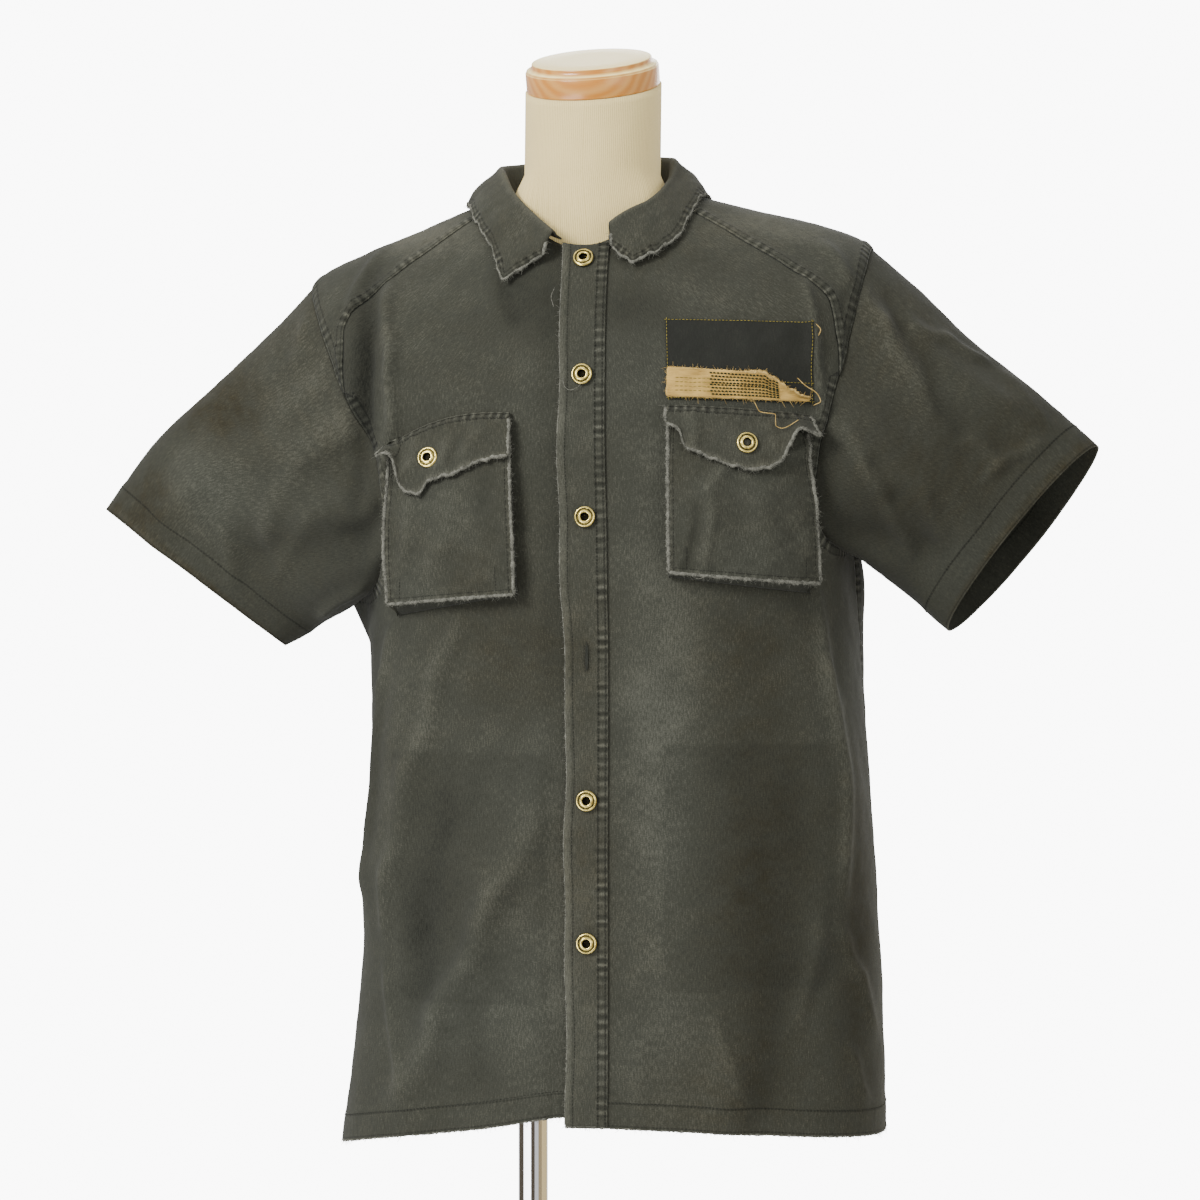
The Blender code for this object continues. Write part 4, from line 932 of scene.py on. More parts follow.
@dataclass
class BodyPanels:
    """Fronts, shoulder yokes and back, cut from the body's surface along its seams."""
    body: ShirtBody
    overlap: float = 0.020
    yoke_at_neck: float = 0.745
    yoke_back_at_neck: float = 1.50
    fold_back: float = 0.022
    armhole_square: float = 0.7
    short_under_hem: float = 0.008      # the under front is that much shorter at its free edge
    yoke_cells: int = 60
    armhole_cells: int = 84
    side_cells: int = 144
    lap_cells: int = 22
    neck_cells: int = 70
    back_neck_cells: int = 144
    shoulder_cells: int = 42

    def __post_init__(self) -> None:
        self.yoke_seams, self.yoke_back_seams, self.arm_seams, self.side_seams = {}, {}, {}, {}
        self.side_rows = {}
        for side, armhole in ARMHOLES.items():
            front = self.yoke_seam(side, self.yoke_at_neck, armhole.front_turn)
            back = self.yoke_seam(side, self.yoke_back_at_neck, -armhole.back_turn)
            arm = self.armhole_point(side, np.linspace(0, 2 * math.pi, 241))
            low = line(arm[120], (side.from_front(1.0), 1.0), 100)
            self.yoke_seams[side] = self.seam_on(front)
            self.yoke_back_seams[side] = self.seam_on(back)
            self.arm_seams[side] = self.seam_on(arm, band=0.0090)
            self.side_seams[side] = self.seam_on(low, lift=0.0)
            self.side_rows[side] = line(low[0], (low[-1][0], 0.997), 200)
        hem = np.stack([np.linspace(0, 4, 500), np.ones(500)], axis=-1)
        self.hem_seam = self.seam_on(hem, band=0.0215, lift=0.0006)

    def seam_on(self, rows: Array, **sizes: float) -> Seam:
        """Seam along (s, t) rows of the body."""
        return Seam(self.body.smooth(rows[:, 0], rows[:, 1]), **sizes)

    def overlap_at(self, t: Array) -> Array:
        """How far the fronts run past centre front: less at the collar than lower down."""
        return self.overlap * (0.78 + 0.16 * ramp(t, 0.0, 0.25))

    def armhole_point(self, side: Side, turn: Array) -> Array:
        """(s, t) round an armhole: turn 0 is the shoulder point, pi the underarm."""
        armhole, turn = ARMHOLES[side], np.asarray(turn, float)
        top, bottom = self.body.t_of["shoulder end"], self.body.t_of["underarm"]
        t = top + (bottom - top) * (1 - np.cos(turn)) / 2
        reach = np.where(np.sin(turn) > 0, armhole.front_reach, armhole.back_reach)
        swing = np.sign(np.sin(turn)) * np.abs(np.sin(turn))**self.armhole_square
        return np.stack([armhole.side_s - side.sign * reach * swing, t], axis=-1)

    def yoke_seam(self, side: Side, at_neck: float, turn: float) -> Array:
        """(s, t) along a yoke seam, from the neckline to the armhole."""
        corner = self.armhole_point(side, turn)
        seam = line((side.from_front(at_neck), 0.0), corner, self.yoke_cells)
        if turn > 0:
            bow = ARMHOLES[side].yoke_bow * np.sin(np.linspace(0, math.pi, self.yoke_cells + 1))
            seam[:, 0] -= side.sign * bow
        return seam

    def panel_edge(self, side: Side, at_neck: float, turn: float, underarm: float) -> Array:
        """(s, t) down a panel's outer edge: yoke seam, lower armhole, side seam."""
        seam = self.yoke_seam(side, at_neck, turn)
        arm = self.armhole_point(side, np.linspace(turn, underarm, self.armhole_cells + 1))
        low = line(arm[-1], (side.from_front(1.0), 1.0), self.side_cells)
        return np.vstack([seam, arm[1:], low[1:]])

    def panel_rows(self) -> Array:
        """t of a front's rows where they meet its free edge."""
        yoke_t, underarm_t = self.body.t_of["shoulder end"], self.body.t_of["underarm"]
        return np.concatenate([np.linspace(0, yoke_t, self.yoke_cells + 1),
                               np.linspace(yoke_t, underarm_t, self.armhole_cells + 1)[1:],
                               np.linspace(underarm_t, 1, self.side_cells + 1)[1:]])

    def front_patch(self, side: Side) -> Array:
        """(s, t) grid of one front, from its free edge outwards."""
        wrap = 4.0 if side is Side.RIGHT else 0.0

        def lap_row(t: float) -> Array:
            past = float(self.overlap_at(t))
            offsets = np.linspace(-past, past + self.fold_back, self.lap_cells + 1)
            return np.stack([self.body.s_of_offset(side, offsets, np.full(len(offsets), t)) + wrap,
                             np.full(len(offsets), t)], axis=-1)

        last = self.panel_edge(side, self.yoke_at_neck, ARMHOLES[side].front_turn, math.pi)
        top = np.vstack([lap_row(0.0)[:-1], line(lap_row(0.0)[-1], last[0], self.neck_cells)])
        bottom = np.vstack([lap_row(1.0)[:-1], line(lap_row(1.0)[-1], last[-1], self.neck_cells)])
        first = np.array([lap_row(t)[0] for t in self.panel_rows()])
        return coons(top, bottom, first, last)

    def yoke_patch(self, side: Side) -> Array:
        """(s, t) grid of one shoulder yoke, from its front seam to its back seam."""
        armhole = ARMHOLES[side]
        front = self.yoke_seam(side, self.yoke_at_neck, armhole.front_turn)
        back = self.yoke_seam(side, self.yoke_back_at_neck, -armhole.back_turn)
        turns = np.linspace(armhole.front_turn, -armhole.back_turn, self.shoulder_cells + 1)
        return coons(front, back, line(front[0], back[0], self.shoulder_cells),
                     self.armhole_point(side, turns))

    def back_patch(self) -> Array:
        """(s, t) grid of the back, from the left side seam to the right one."""
        left, right = (self.panel_edge(side, self.yoke_back_at_neck,
                                       -ARMHOLES[side].back_turn, -math.pi) for side in Side)
        return coons(line(left[0], right[0], self.back_neck_cells),
                     line(left[-1], right[-1], self.back_neck_cells), left, right)

    def under_lap(self, s: Array, t: Array) -> Array:
        """How far the right front sinks, so that it passes under the left one."""
        offset = self.body.value("x_mid", t) - self.body.smooth(s, t)[..., 0]
        past = self.overlap_at(t)
        return (CLOTH + LAP_GAP) * (1 - ramp(offset - past, 0.006, self.fold_back))

    def sheet(self, patch: Array, laps: tuple[Seam, ...], meets: tuple[Seam, ...],
              sink: Array | float = 0.0, shorter: Array | float = 0.0) -> Sheet:
        """Cloth over a patch.

        Args:
            patch: its (s, t) grid.
            laps: seams where it lies over its neighbour.
            meets: seams where it lies under it.
            sink: how far it lies in.
            shorter: how much of its foot is missing.
        Returns:
            The sheet.
        """
        s, t = patch[..., 0], patch[..., 1]
        flat = self.body.smooth(s, t)
        sewn = Sewn.by(flat, laps, meets)
        points, normals = self.body.at(s, t, sewn.lift - sink)
        points[..., 2] += shorter * ramp(t, 0.88, 1.0)
        fade, tint = self.body.tones(flat, normals)
        uv = np.stack([s * 0.27, t * self.body.length], axis=-1)
        return Sheet(draw_in(points, SEAM_HALF_GAP), normals, uv, fade, tint, sewn)

    def fronts(self) -> dict[Side, Sheet]:
        """Both fronts: the left one lies over the right."""
        sheets = {}
        for side in Side:
            patch = self.front_patch(side)
            s, t = patch[..., 0], patch[..., 1]
            sink, shorter = 0.0, 0.0
            if side is Side.RIGHT:
                sink = self.under_lap(s, t)
                shorter = self.short_under_hem * np.exp(
                    -(self.body.smooth(s, t)[..., 0] / 0.055)**2)
            sheets[side] = self.sheet(patch, (self.arm_seams[side], self.hem_seam),
                                      (self.yoke_seams[side], self.side_seams[side]), sink, shorter)
        return sheets

    def yokes(self) -> dict[Side, Sheet]:
        """Both shoulder yokes, lapped over the fronts and the back."""
        return {side: self.sheet(self.yoke_patch(side),
                                 (self.yoke_seams[side], self.yoke_back_seams[side],
                                  self.arm_seams[side]), ()) for side in Side}

    def back(self) -> Sheet:
        """The back, lapped over the fronts at its sides."""
        return self.sheet(self.back_patch(),
                          (*self.arm_seams.values(), *self.side_seams.values(), self.hem_seam),
                          tuple(self.yoke_back_seams.values()))


# --- sleeves --------------------------------------------------------------------------------------
@dataclass(frozen=True)
class SleeveRing:
    """Section of a sleeve: its top and bottom edge as seen from the front, and its depth."""
    way: float
    x_top: float
    z_top: float
    x_bottom: float
    z_bottom: float
    y: float
    half_depth: float
    lead: float


SLEEVE_RINGS = {
    Side.RIGHT: each(SleeveRing,
        (.0, -.243, 1.1505, -.196, .885, -.012, .085, .0),
        (.2, -.28, 1.113, -.208, .874, -.012, .082, .0),
        (.45, -.328, 1.066, -.226, .862, -.014, .073, .002),
        (.75, -.385, 1.013, -.25, .849, -.018, .057, .004),
        (1.0, -.4274, .9554, -.2691, .8386, -.022, .041, .006)),
    Side.LEFT: each(SleeveRing,
        (.0, .237, 1.177, .218, .928, -.008, .08, .0),
        (.2, .274, 1.144, .233, .916, -.01, .078, .001),
        (.45, .323, 1.097, .253, .896, -.014, .071, .003),
        (.75, .379, 1.052, .279, .874, -.02, .056, .007),
        (1.0, .4269, 1.008, .304, .8542, -.026, .04, .011)),
}
TURN_SCALE, WAY_SCALE = 0.085, 0.250     # metres of cloth for one radian round, and for the length


def sleeve_crease(turn_0: float, way_0: float, turn_1: float, way_1: float, half_width: float,
                  depth: float, crooked: float = 0.3) -> Crease:
    """Crease between two places of a sleeve, whose chart is laid out in metres."""
    return Crease(turn_0 * TURN_SCALE, way_0 * WAY_SCALE, turn_1 * TURN_SCALE, way_1 * WAY_SCALE,
                  half_width, depth, crooked)


SLEEVE_FOLDS = {
    Side.RIGHT: each(sleeve_crease,
        (1.0, .1, 1.15, .95, .017, .005, 0), (1.75, .05, 1.95, .8, .019, -.006, 0),
        (-1.3, .1, -1.5, .9, .02, .006, 0)),
    Side.LEFT: each(sleeve_crease,
        (.65, .05, .8, .8, .017, .005, 0), (1.45, .05, 1.7, .85, .019, .005, 0),
        (2.1, .1, 2.2, .8, .017, -.005, 0), (-1.2, .1, -1.45, .9, .02, .006, 0)),
}
SLEEVE_CREASES = {
    Side.RIGHT: each(sleeve_crease,
        (1.02, .0, 1.16, .31, .008, .0036), (1.13, .28, 1.78, .6, .008, .0034),
        (.34, .03, .56, .16, .007, .002), (.67, .0, .8, .27, .007, .0022),
        (1.48, .27, 2.09, .65, .008, .003), (1.0, -.05, 1.5, .15, .007, -.0024),
        (1.64, .0, 1.76, .26, .008, -.0028), (2.35, .15, 2.7, .52, .008, .0028),
        (.6, .45, .95, .74, .01, .0012), (1.5, .66, 1.95, .9, .009, .0018),
        (.2, .3, .42, .6, .012, .001), (-.6, .02, -.8, .4, .009, .0026),
        (-1.1, .05, -1.6, .5, .009, .003), (-1.8, .2, -2.3, .62, .009, .003),
        (-1.4, .45, -1.0, .85, .01, -.002), (-2.6, .25, -2.4, .8, .008, .0024)),
    Side.LEFT: each(sleeve_crease,
        (.48, -.03, .67, .15, .007, .0032), (.65, .12, .98, .4, .007, .0034),
        (.52, .23, .38, .38, .006, .0022), (.39, .36, .29, .53, .006, .002),
        (.46, .11, .75, .36, .007, -.0024), (.73, .34, 1.2, .6, .008, -.0026),
        (1.31, .07, 1.65, .33, .008, .0034), (1.62, .3, 2.26, .59, .008, .0034),
        (1.48, .25, 1.75, .43, .007, -.0026), (1.34, .77, .77, .87, .006, .0024),
        (1.16, .58, 1.22, .8, .006, .0022), (1.65, .48, 2.03, .74, .008, .003),
        (.3, .6, .55, .85, .01, .0012), (-.5, .04, -.78, .45, .009, .0026),
        (-1.05, .06, -1.5, .48, .009, .003), (-1.75, .18, -2.25, .66, .009, .003),
        (-1.3, .5, -.95, .86, .01, -.002), (-2.55, .22, -2.4, .82, .008, .0024)),
}
SLEEVE_WASHES = {      # as creases: their places are turn x TURN_SCALE and way x WAY_SCALE
    Side.RIGHT: each(Wash,
        (.035, .115, .045, .035, .03, .85), (.045, .03, .06, .05, .06, .25),
        (.11, .17, .05, .05, .06, -.15), (.095, .246, .14, .006, .1, 1.0),
        (.19, .06, .05, .05, -.1, .1), (.075, .215, .03, .03, .02, .7)),
    Side.LEFT: each(Wash,
        (.045, .06, .05, .05, .04, .45), (.13, .15, .05, .06, -.04, .3),
        (.095, .246, .14, .006, .1, 1.0), (.19, .06, .05, .05, -.1, .1),
        (.08, .195, .05, .03, .02, .35)),
}


@dataclass
class Sleeve:
    """One short sleeve: the armhole's own line, settling into plain oval sections."""
    panels: BodyPanels
    side: Side
    settles: float = 0.75
    start_gap: float = 0.0004
    rows: int = 92
    columns: int = 200
    cuff_band: float = 0.025

    def section(self, way: Array, turn: Array) -> Array:
        """Point of the plain sleeve: an oval in a plane that runs front to back."""
        rings = SLEEVE_RINGS[self.side]
        knots = np.array([ring.way for ring in rings])
        row = {name: smooth_column(knots, np.array([getattr(ring, name) for ring in rings]), way)
               for name in list(SleeveRing.__dataclass_fields__)[1:]}
        axis = np.stack([row["x_top"] - row["x_bottom"], 0 * way,
                         row["z_top"] - row["z_bottom"]], -1) / 2
        middle = np.stack([(row["x_top"] + row["x_bottom"]) / 2, row["y"],
                           (row["z_top"] + row["z_bottom"]) / 2], -1)
        out = unit(np.stack([axis[..., 2], 0 * way, -axis[..., 0]], -1) * self.side.sign)
        ahead = (np.array((0.0, -1.0, 0.0)) * row["half_depth"][..., None]
                 - out * row["lead"][..., None])
        return middle + axis * np.cos(turn)[..., None] + ahead * np.sin(turn)[..., None]

    def surface(self, way: Array, turn: Array) -> Array:
        """Outer face of the sleeve without its folds."""
        way, turn = np.broadcast_arrays(np.asarray(way, float), np.asarray(turn, float))
        st = self.panels.armhole_point(self.side, turn)
        start, _ = self.panels.body.at(st[..., 0], st[..., 1])
        kept = 1 - ramp(way, 0.0, self.settles)
        return self.section(way, turn) + kept[..., None] * (start - self.section(0 * way, turn))

    def sheet(self) -> Sheet:
        """The sleeve's cloth, from the armhole to the cuff."""
        turn = np.linspace(0, 2 * math.pi, self.columns, endpoint=False)
        turn, way = np.meshgrid(turn, np.linspace(0, 1, self.rows + 1))
        outer = self.surface(way, turn)
        normals = grid_normals(outer, closed_round=True)
        middle = outer.mean(axis=1, keepdims=True)
        normals = normals * np.sign(((outer - middle) * normals).sum(axis=-1).mean())
        chart_a = np.angle(np.exp(1j * turn)) * TURN_SCALE
        chart_b = way * WAY_SCALE
        large = sum(fold.height(chart_a, chart_b) for fold in SLEEVE_FOLDS[self.side])
        fine = sum(crease.height(chart_a, chart_b) for crease in SLEEVE_CREASES[self.side])
        arm = Seam(np.vstack([outer[0], outer[0, :1]]), band=0.0095)
        cuff = Seam(np.vstack([outer[-1], outer[-1, :1]]), band=self.cuff_band, lift=0.0006)
        sewn = Sewn.by(outer, (cuff,), (arm,))
        height = large + fine + sewn.lift + 0.0005 * soft_noise(outer, 0.070, 31)
        height += 0.00025 * soft_noise(outer, 0.030, 32) + 0.00012 * soft_noise(outer, 0.013, 33)
        height *= 1 - 0.85 * (1 - ramp(way, 0.0, 0.03))
        points = draw_in(outer + normals * height[..., None], self.start_gap, closed_round=True)
        # Painted light and shade: fold ridges lighter, troughs darker; the creases' crests are
        # lighter partly by wear.
        fade = 0.39 + crest_tone(fine) + 4.0 * large
        fade += 0.02 * soft_noise(outer, 0.045, 34) + 0.014 * soft_noise(outer, 0.018, 35)
        tint = 0.30 + 0.12 * soft_noise(outer, 0.12, 36)
        for wash in SLEEVE_WASHES[self.side]:
            strength = wash.strength(chart_a, chart_b)
            fade, tint = fade + strength * wash.fade, tint + strength * wash.tint
        uv = np.stack([turn * TURN_SCALE, way * WAY_SCALE], axis=-1)
        closing = uv[:, :1] + np.array((2 * math.pi * TURN_SCALE, 0.0))
        return Sheet(points, normals, np.concatenate([uv, closing], axis=1), fade, tint, sewn,
                     True)


# --- collar ---------------------------------------------------------------------------------------
@dataclass(frozen=True)
class CollarStation:
    """Where the collar's fold and its outer edge lie, at one s of the neckline."""
    s: float
    fold_x: float
    fold_y: float
    fold_z: float
    edge_s: float
    edge_t: float
    edge_lift: float


COLLAR_STATIONS = each(CollarStation,
    (.15, .0159, -.097, 1.1845, .15, .006, .006), (.22, .0267, -.091, 1.1965, .207, .018, .006),
    (.32, .039, -.079, 1.206, .262, .035, .0065),
    (.45, .0535, -.0665, 1.2145, .345, .043, .007),
    (.6, .0635, -.0445, 1.2275, .47, .046, .006), (.8, .0675, -.0165, 1.241, .72, .036, .0045),
    (1.0, .067, .01, 1.2555, 1.0, .032, .0045), (1.4, .05, .043, 1.261, 1.4, .052, .005),
    (2.0, -.007, .06, 1.264, 2.0, .058, .005), (2.6, -.068, .046, 1.257, 2.6, .05, .005),
    (3.0, -.085, .013, 1.2515, 3.0, .038, .0045), (3.2, -.08, -.011, 1.2465, 3.21, .037, .0045),
    (3.4, -.071, -.036, 1.234, 3.46, .04, .005), (3.55, -.06, -.057, 1.22, 3.6, .052, .006),
    (3.68, -.044, -.075, 1.205, 3.668, .062, .007),
    (3.8, -.0275, -.0915, 1.1915, 3.745, .036, .006),
    (3.87, -.0145, -.099, 1.181, 3.855, .008, .006))


@dataclass
class Collar:
    """Turned-down collar with a raw edge, its ends short of the fronts' overlap."""
    panels: BodyPanels
    fold_radius: float = 0.0034
    root_gap: float = 0.0013
    past_lap: float = 0.002
    end_in: float = 0.03          # in s
    columns: int = 260
    rows: int = 40

    def stations(self) -> Array:
        """s along the neckline, from the left collar end to the right one."""
        body, past = self.panels.body, float(self.panels.overlap_at(0.0)) + self.past_lap
        start = float(body.s_of_offset(Side.LEFT, past, 0.0)) + self.end_in
        end = 4.0 + float(body.s_of_offset(Side.RIGHT, past, 0.0)) - self.end_in
        even = np.linspace(0, 1, self.columns)
        return start + (end - start) * even

    def profile(self, s: Array) -> Array:
        """Middle of the collar's cloth at each station: root, stand, fold, fall and edge."""
        knots = np.array([station.s for station in COLLAR_STATIONS])
        at = np.clip(s, knots[0], knots[-1])
        row = {name: smooth_column(knots, np.array([getattr(k, name) for k in COLLAR_STATIONS]), at)
               for name in list(CollarStation.__dataclass_fields__)[1:]}
        body = self.panels.body
        fold = np.stack([row["fold_x"], row["fold_y"], row["fold_z"]], -1)
        seat, normals = body.at(s, np.zeros(s.shape), fine=False)
        below, _ = body.at(s, np.full(s.shape, 0.004), fine=False)
        near_end = 1 - ramp(np.minimum(s - s[0], s[-1] - s), 0.0, 0.25)
        root = (seat - normals * CLOTH / 2
                + unit(seat - below) * (self.root_gap * (1 + near_end))[..., None])
        edge, _ = body.at(row["edge_s"], row["edge_t"], row["edge_lift"], fine=False)
        out = edge - root
        out[..., 2] = 0
        out, down = unit(out), np.array((0.0, 0.0, -1.0))
        leaf = np.linalg.norm(edge - fold, axis=-1, keepdims=True)
        radius = np.clip(0.15 * leaf, 0.0016, self.fold_radius)
        fold_in, fold_out = (fold + (out * side + down) * radius for side in (-1, 1))
        bulge = 0.06 * np.linalg.norm(edge - fold_out, axis=-1, keepdims=True)
        falls = [fold_out * (1 - q) + edge * q + out * bulge for q in (0.33, 0.67)]
        return np.stack([root, (root + fold_in) / 2, fold_in, fold, fold_out, *falls, edge])

    def sheet(self) -> Sheet:
        """The collar's cloth, from its root to its raw edge."""
        s = self.stations()
        profile = self.profile(s)
        knots = np.concatenate(([0.0], np.cumsum(np.linalg.norm(
            np.diff(profile, axis=0), axis=-1).mean(axis=1))))
        at = np.linspace(0, knots[-1], self.rows + 1)
        middle = np.stack([[smooth_column(knots, profile[:, j, k], at) for k in range(3)]
                           for j in range(len(s))], axis=0).transpose(2, 0, 1)
        normals = -grid_normals(middle)
        edge = Seam(middle[-1], band=0.0062, lift=0.0003, pucker=0.0003)
        fall = np.linspace(0, 1, self.rows + 1)[:, None] * np.ones(len(s))
        sewn = Sewn.by(middle, (edge,))
        bumps = soft_noise(middle, 0.040, 41) * 0.0009 + soft_noise(middle, 0.017, 42) * 0.0004
        height = CLOTH / 2 + sewn.lift + bumps * ramp(fall, 0.45, 0.7)
        wander = 0.0022 * np.sin(s * 31) * np.sin(s * 12.3) + 0.0010 * np.sin(s * 77)
        outward = unit(middle[-1] - middle[-3])
        points = middle + normals * height[..., None]
        points = points + outward[None] * (wander * ramp(fall, 0.75, 1.0))[..., None]
        crest = np.exp(-((at - knots[3]) / 0.004)**2)[:, None]
        # Pale along the fold with wear; the fall's wrinkles are lighter and darker with their
        # height, as painted light and shade.
        fade = 0.45 + 0.14 * crest + 0.02 * soft_noise(middle, 0.03, 43) + 12 * bumps
        fade = fade + 0.014 * soft_noise(middle, 0.012, 44)
        tint = 0.35 + 0.10 * soft_noise(middle, 0.09, 45)
        uv = np.stack([np.broadcast_to(way_along(middle[-1]), fade.shape),
                       np.broadcast_to(at[:, None], fade.shape)], axis=-1)
        return Sheet(points, normals, uv, fade, tint, sewn)


# --- placket, pockets, flaps, patch and tape ------------------------------------------------------
@dataclass
class Placket:
    """Strip down the left front's free edge: raw outside, stitched hard and puckered inside."""
    panels: BodyPanels
    width: float = 0.036
    columns: int = 18
    rows: int = 380
    outer_stitch: float = 0.006
    band: float = 0.0085

    def sheet(self) -> Sheet:
        """The strip's cloth; its first column is the raw edge."""
        body = self.panels.body
        t, way = np.meshgrid(np.linspace(0.002, 0.998, self.rows + 1),
                             np.linspace(0, 1, self.columns + 1), indexing="ij")
        s = body.s_of_offset(Side.LEFT, way * self.width - self.panels.overlap_at(t), t)
        flat = body.smooth(s, t)
        along = way_along(flat[:, -1])[:, None]
        sewn = Sewn.by(flat, (Seam(flat[:, -1], band=self.band, lift=0.0003, pucker=0.00055),))
        raw = np.exp(-(way * self.width / 0.005)**2)
        lift = sewn.lift + raw * 0.0007 * (np.sin(along / 0.013) + 0.6 * np.sin(along / 0.0052 + 1))
        wander = 0.0010 * np.sin(along / 0.05) + 0.0007 * np.sin(along / 0.017)
        points, normals = body.at(s, t, REST_GAP + CLOTH + np.maximum(lift, -0.0002))
        points[..., 0] += (wander * (1 - ramp(way, 0.0, 0.25)))
        fade, tint = body.tones(flat, normals)
        stitched = np.exp(-((way * self.width - self.outer_stitch) / 0.0012)**2)
        fade = fade + 0.12 * raw - 0.06 * stitched + 0.03
        uv = np.stack([way * self.width, along + 0 * way], axis=-1)
        return Sheet(points, normals, uv, fade, tint, sewn)


@dataclass(frozen=True)
class Corners:
    """Four corners of a place on the fronts, as x and z seen from the front."""
    x_inner_top: float
    z_inner_top: float
    x_outer_top: float
    z_outer_top: float
    x_inner_low: float
    z_inner_low: float
    x_outer_low: float
    z_outer_low: float

    def spread(self, across: Array, down: Array) -> tuple[Array, Array]:
        """x and z, way across and way down, 0 to 1 each."""
        x = ((self.x_inner_top * (1 - across) + self.x_outer_top * across) * (1 - down)
             + (self.x_inner_low * (1 - across) + self.x_outer_low * across) * down)
        z = ((self.z_inner_top * (1 - across) + self.z_outer_top * across) * (1 - down)
             + (self.z_inner_low * (1 - across) + self.z_outer_low * across) * down)
        return x, z

    @property
    def width(self) -> float:
        """Across its top."""
        return abs(self.x_outer_top - self.x_inner_top)

    @property
    def height(self) -> float:
        """Down its inner side."""
        return abs(self.z_inner_top - self.z_inner_low)


POCKET_CREASES = {      # x and z, as seen from the front
    Side.RIGHT: each(Crease,
        (-.1, .975, -.104, .9, .01, .0014), (-.13, .965, -.137, .905, .007, .0018),
        (-.068, .985, -.062, .925, .01, -.0014), (-.085, .94, -.12, .905, .009, .0012),
        (-.055, .905, -.085, .893, .006, .0012)),
    Side.LEFT: each(Crease,
        (.113, .962, .109, .905, .005, .0022), (.104, .958, .097, .903, .005, -.002),
        (.123, .992, .11, .965, .006, .0022), (.17, 1.002, .2, 1.009, .005, .002),
        (.15, .98, .158, .92, .01, .0012), (.178, .955, .182, .915, .006, .0014)),
}


@dataclass
class Pocket:
    """Bellows pocket: a face that stands off the front on three narrow sides."""
    panels: BodyPanels
    side: Side
    corners: Corners
    rise_top: float = 0.006
    rise_low: float = 0.014
    rim_gap: float = 0.0009
    gusset_spread: float = 0.011        # the foot of its lowest side reaches that much lower
    face_columns: int = 62
    face_rows: int = 68
    side_cells: int = 7

    def sheet(self) -> Sheet:
        """The pocket's cloth, all in one: side, face and side across, face and foot down."""
        face = np.linspace(0, 1, self.face_columns + 1)
        wall = np.linspace(0, 1, self.side_cells + 1)[:-1]
        across = np.concatenate([0 * wall, face, 0 * wall + 1])
        raised_across = np.concatenate([wall, 0 * face + 1, wall[::-1]])
        down = np.concatenate([np.linspace(0, 1, self.face_rows + 1), 0 * wall + 1])
        raised_down = np.concatenate([np.ones(self.face_rows + 1), wall[::-1]])
        across, down = np.meshgrid(across, down)
        raised = np.minimum(*np.meshgrid(raised_across, raised_down))
        rise = self.rise_top + (self.rise_low - self.rise_top) * ramp(down, 0.0, 0.5)
        x, z = self.corners.spread(across, down)
        outer_share = across if self.side is Side.RIGHT else 0.45 * across + 0.3
        z = z - self.gusset_spread * (1 - raised) * (down >= 1) * outer_share
        fold_in = 0.0030 * np.sin(raised * math.pi) * (raised < 1)
        on_side = (across <= 0) | (across >= 1)
        x = x + self.side.sign * fold_in * np.where(across < 0.5, 1, -1) * on_side
        lift = self.rim_gap + CLOTH + (rise - self.rim_gap - CLOTH) * raised
        on_face = raised >= 1
        crease = sum(item.height(x, z) for item in POCKET_CREASES[self.side])
        edge_away = np.minimum(np.minimum(across, 1 - across) * self.corners.width,
                               (1 - down) * self.corners.height)
        crown = 0.0024 * ramp(edge_away, 0.0, 0.028) * ramp(down, 0.20, 0.50)
        beat = np.where(np.minimum(across, 1 - across) * self.corners.width
                        < (1 - down) * self.corners.height, z, x)
        pucker = (np.sin(2 * math.pi * beat / 0.0076 + 2 * np.sin(beat / 0.021))
                  * np.exp(-((edge_away - 0.003) / 0.0026)**2))
        lift = lift + on_face * (crease + crown + 0.0003 * pucker * ramp(down, 0.2, 0.4))
        s, t = self.panels.body.find_on_front(x, z)
        points, facing = self.panels.body.at(s, t, lift)
        rough = 0.0004 * soft_noise(points, 0.020, 51) + 0.0007 * soft_noise(points, 0.045, 52)
        rough = rough * ramp(raised, 0.2, 1.0) * ramp(down, 0.15, 0.4)
        points = points + facing * rough[..., None]
        # Painted light and shade on creases and puckers, a pale rubbed rim round the face, and
        # painted shade on the standing sides.
        fade = 0.44 + crest_tone(crease) + 0.05 * pucker * on_face
        fade = fade + 0.20 * on_face * np.exp(-(edge_away / 0.0018)**2) - 0.16 * (raised < 0.9)
        fade = fade + 0.02 * soft_noise(points, 0.03, 53) + 0.014 * soft_noise(points, 0.012, 54)
        tint = 0.28 + 0.15 * soft_noise(points, 0.08, 55)
        uv = np.stack([np.broadcast_to(np.cumsum(np.ones(across.shape[1])) * 0.0018, across.shape),
                       np.cumsum(np.ones(across.shape), axis=0) * 0.0019], axis=-1)
        return Sheet(points, facing, uv, fade, tint)

    def face_edges(self, sheet: Sheet) -> list[tuple[Array, Array, Array]]:
        """Raw edge round the face: down one side, along the foot and up the other side."""
        n, last = self.side_cells, sheet.points.shape[1] - 1 - self.side_cells
        rows = slice(0, self.face_rows + 1)
        edges = []
        for column, inner in ((n, n + 2), (last, last - 2)):
            path, up = sheet.points[rows, column], sheet.normals[rows, inner]
            edges.append((path, path - sheet.points[rows, inner] + up * 0.001, up))
        face, inner = slice(n, last + 1), self.face_rows - 2
        foot, up = sheet.points[self.face_rows, face], sheet.normals[inner, face]
        edges.append((foot, foot - sheet.points[inner, face] + up * 0.001, up))
        return edges


@dataclass(frozen=True)
class FlapDrop:
    """How far a flap hangs below its seam, and how far its edge curls out, way along it."""
    way: float
    drop: float
    curl: float


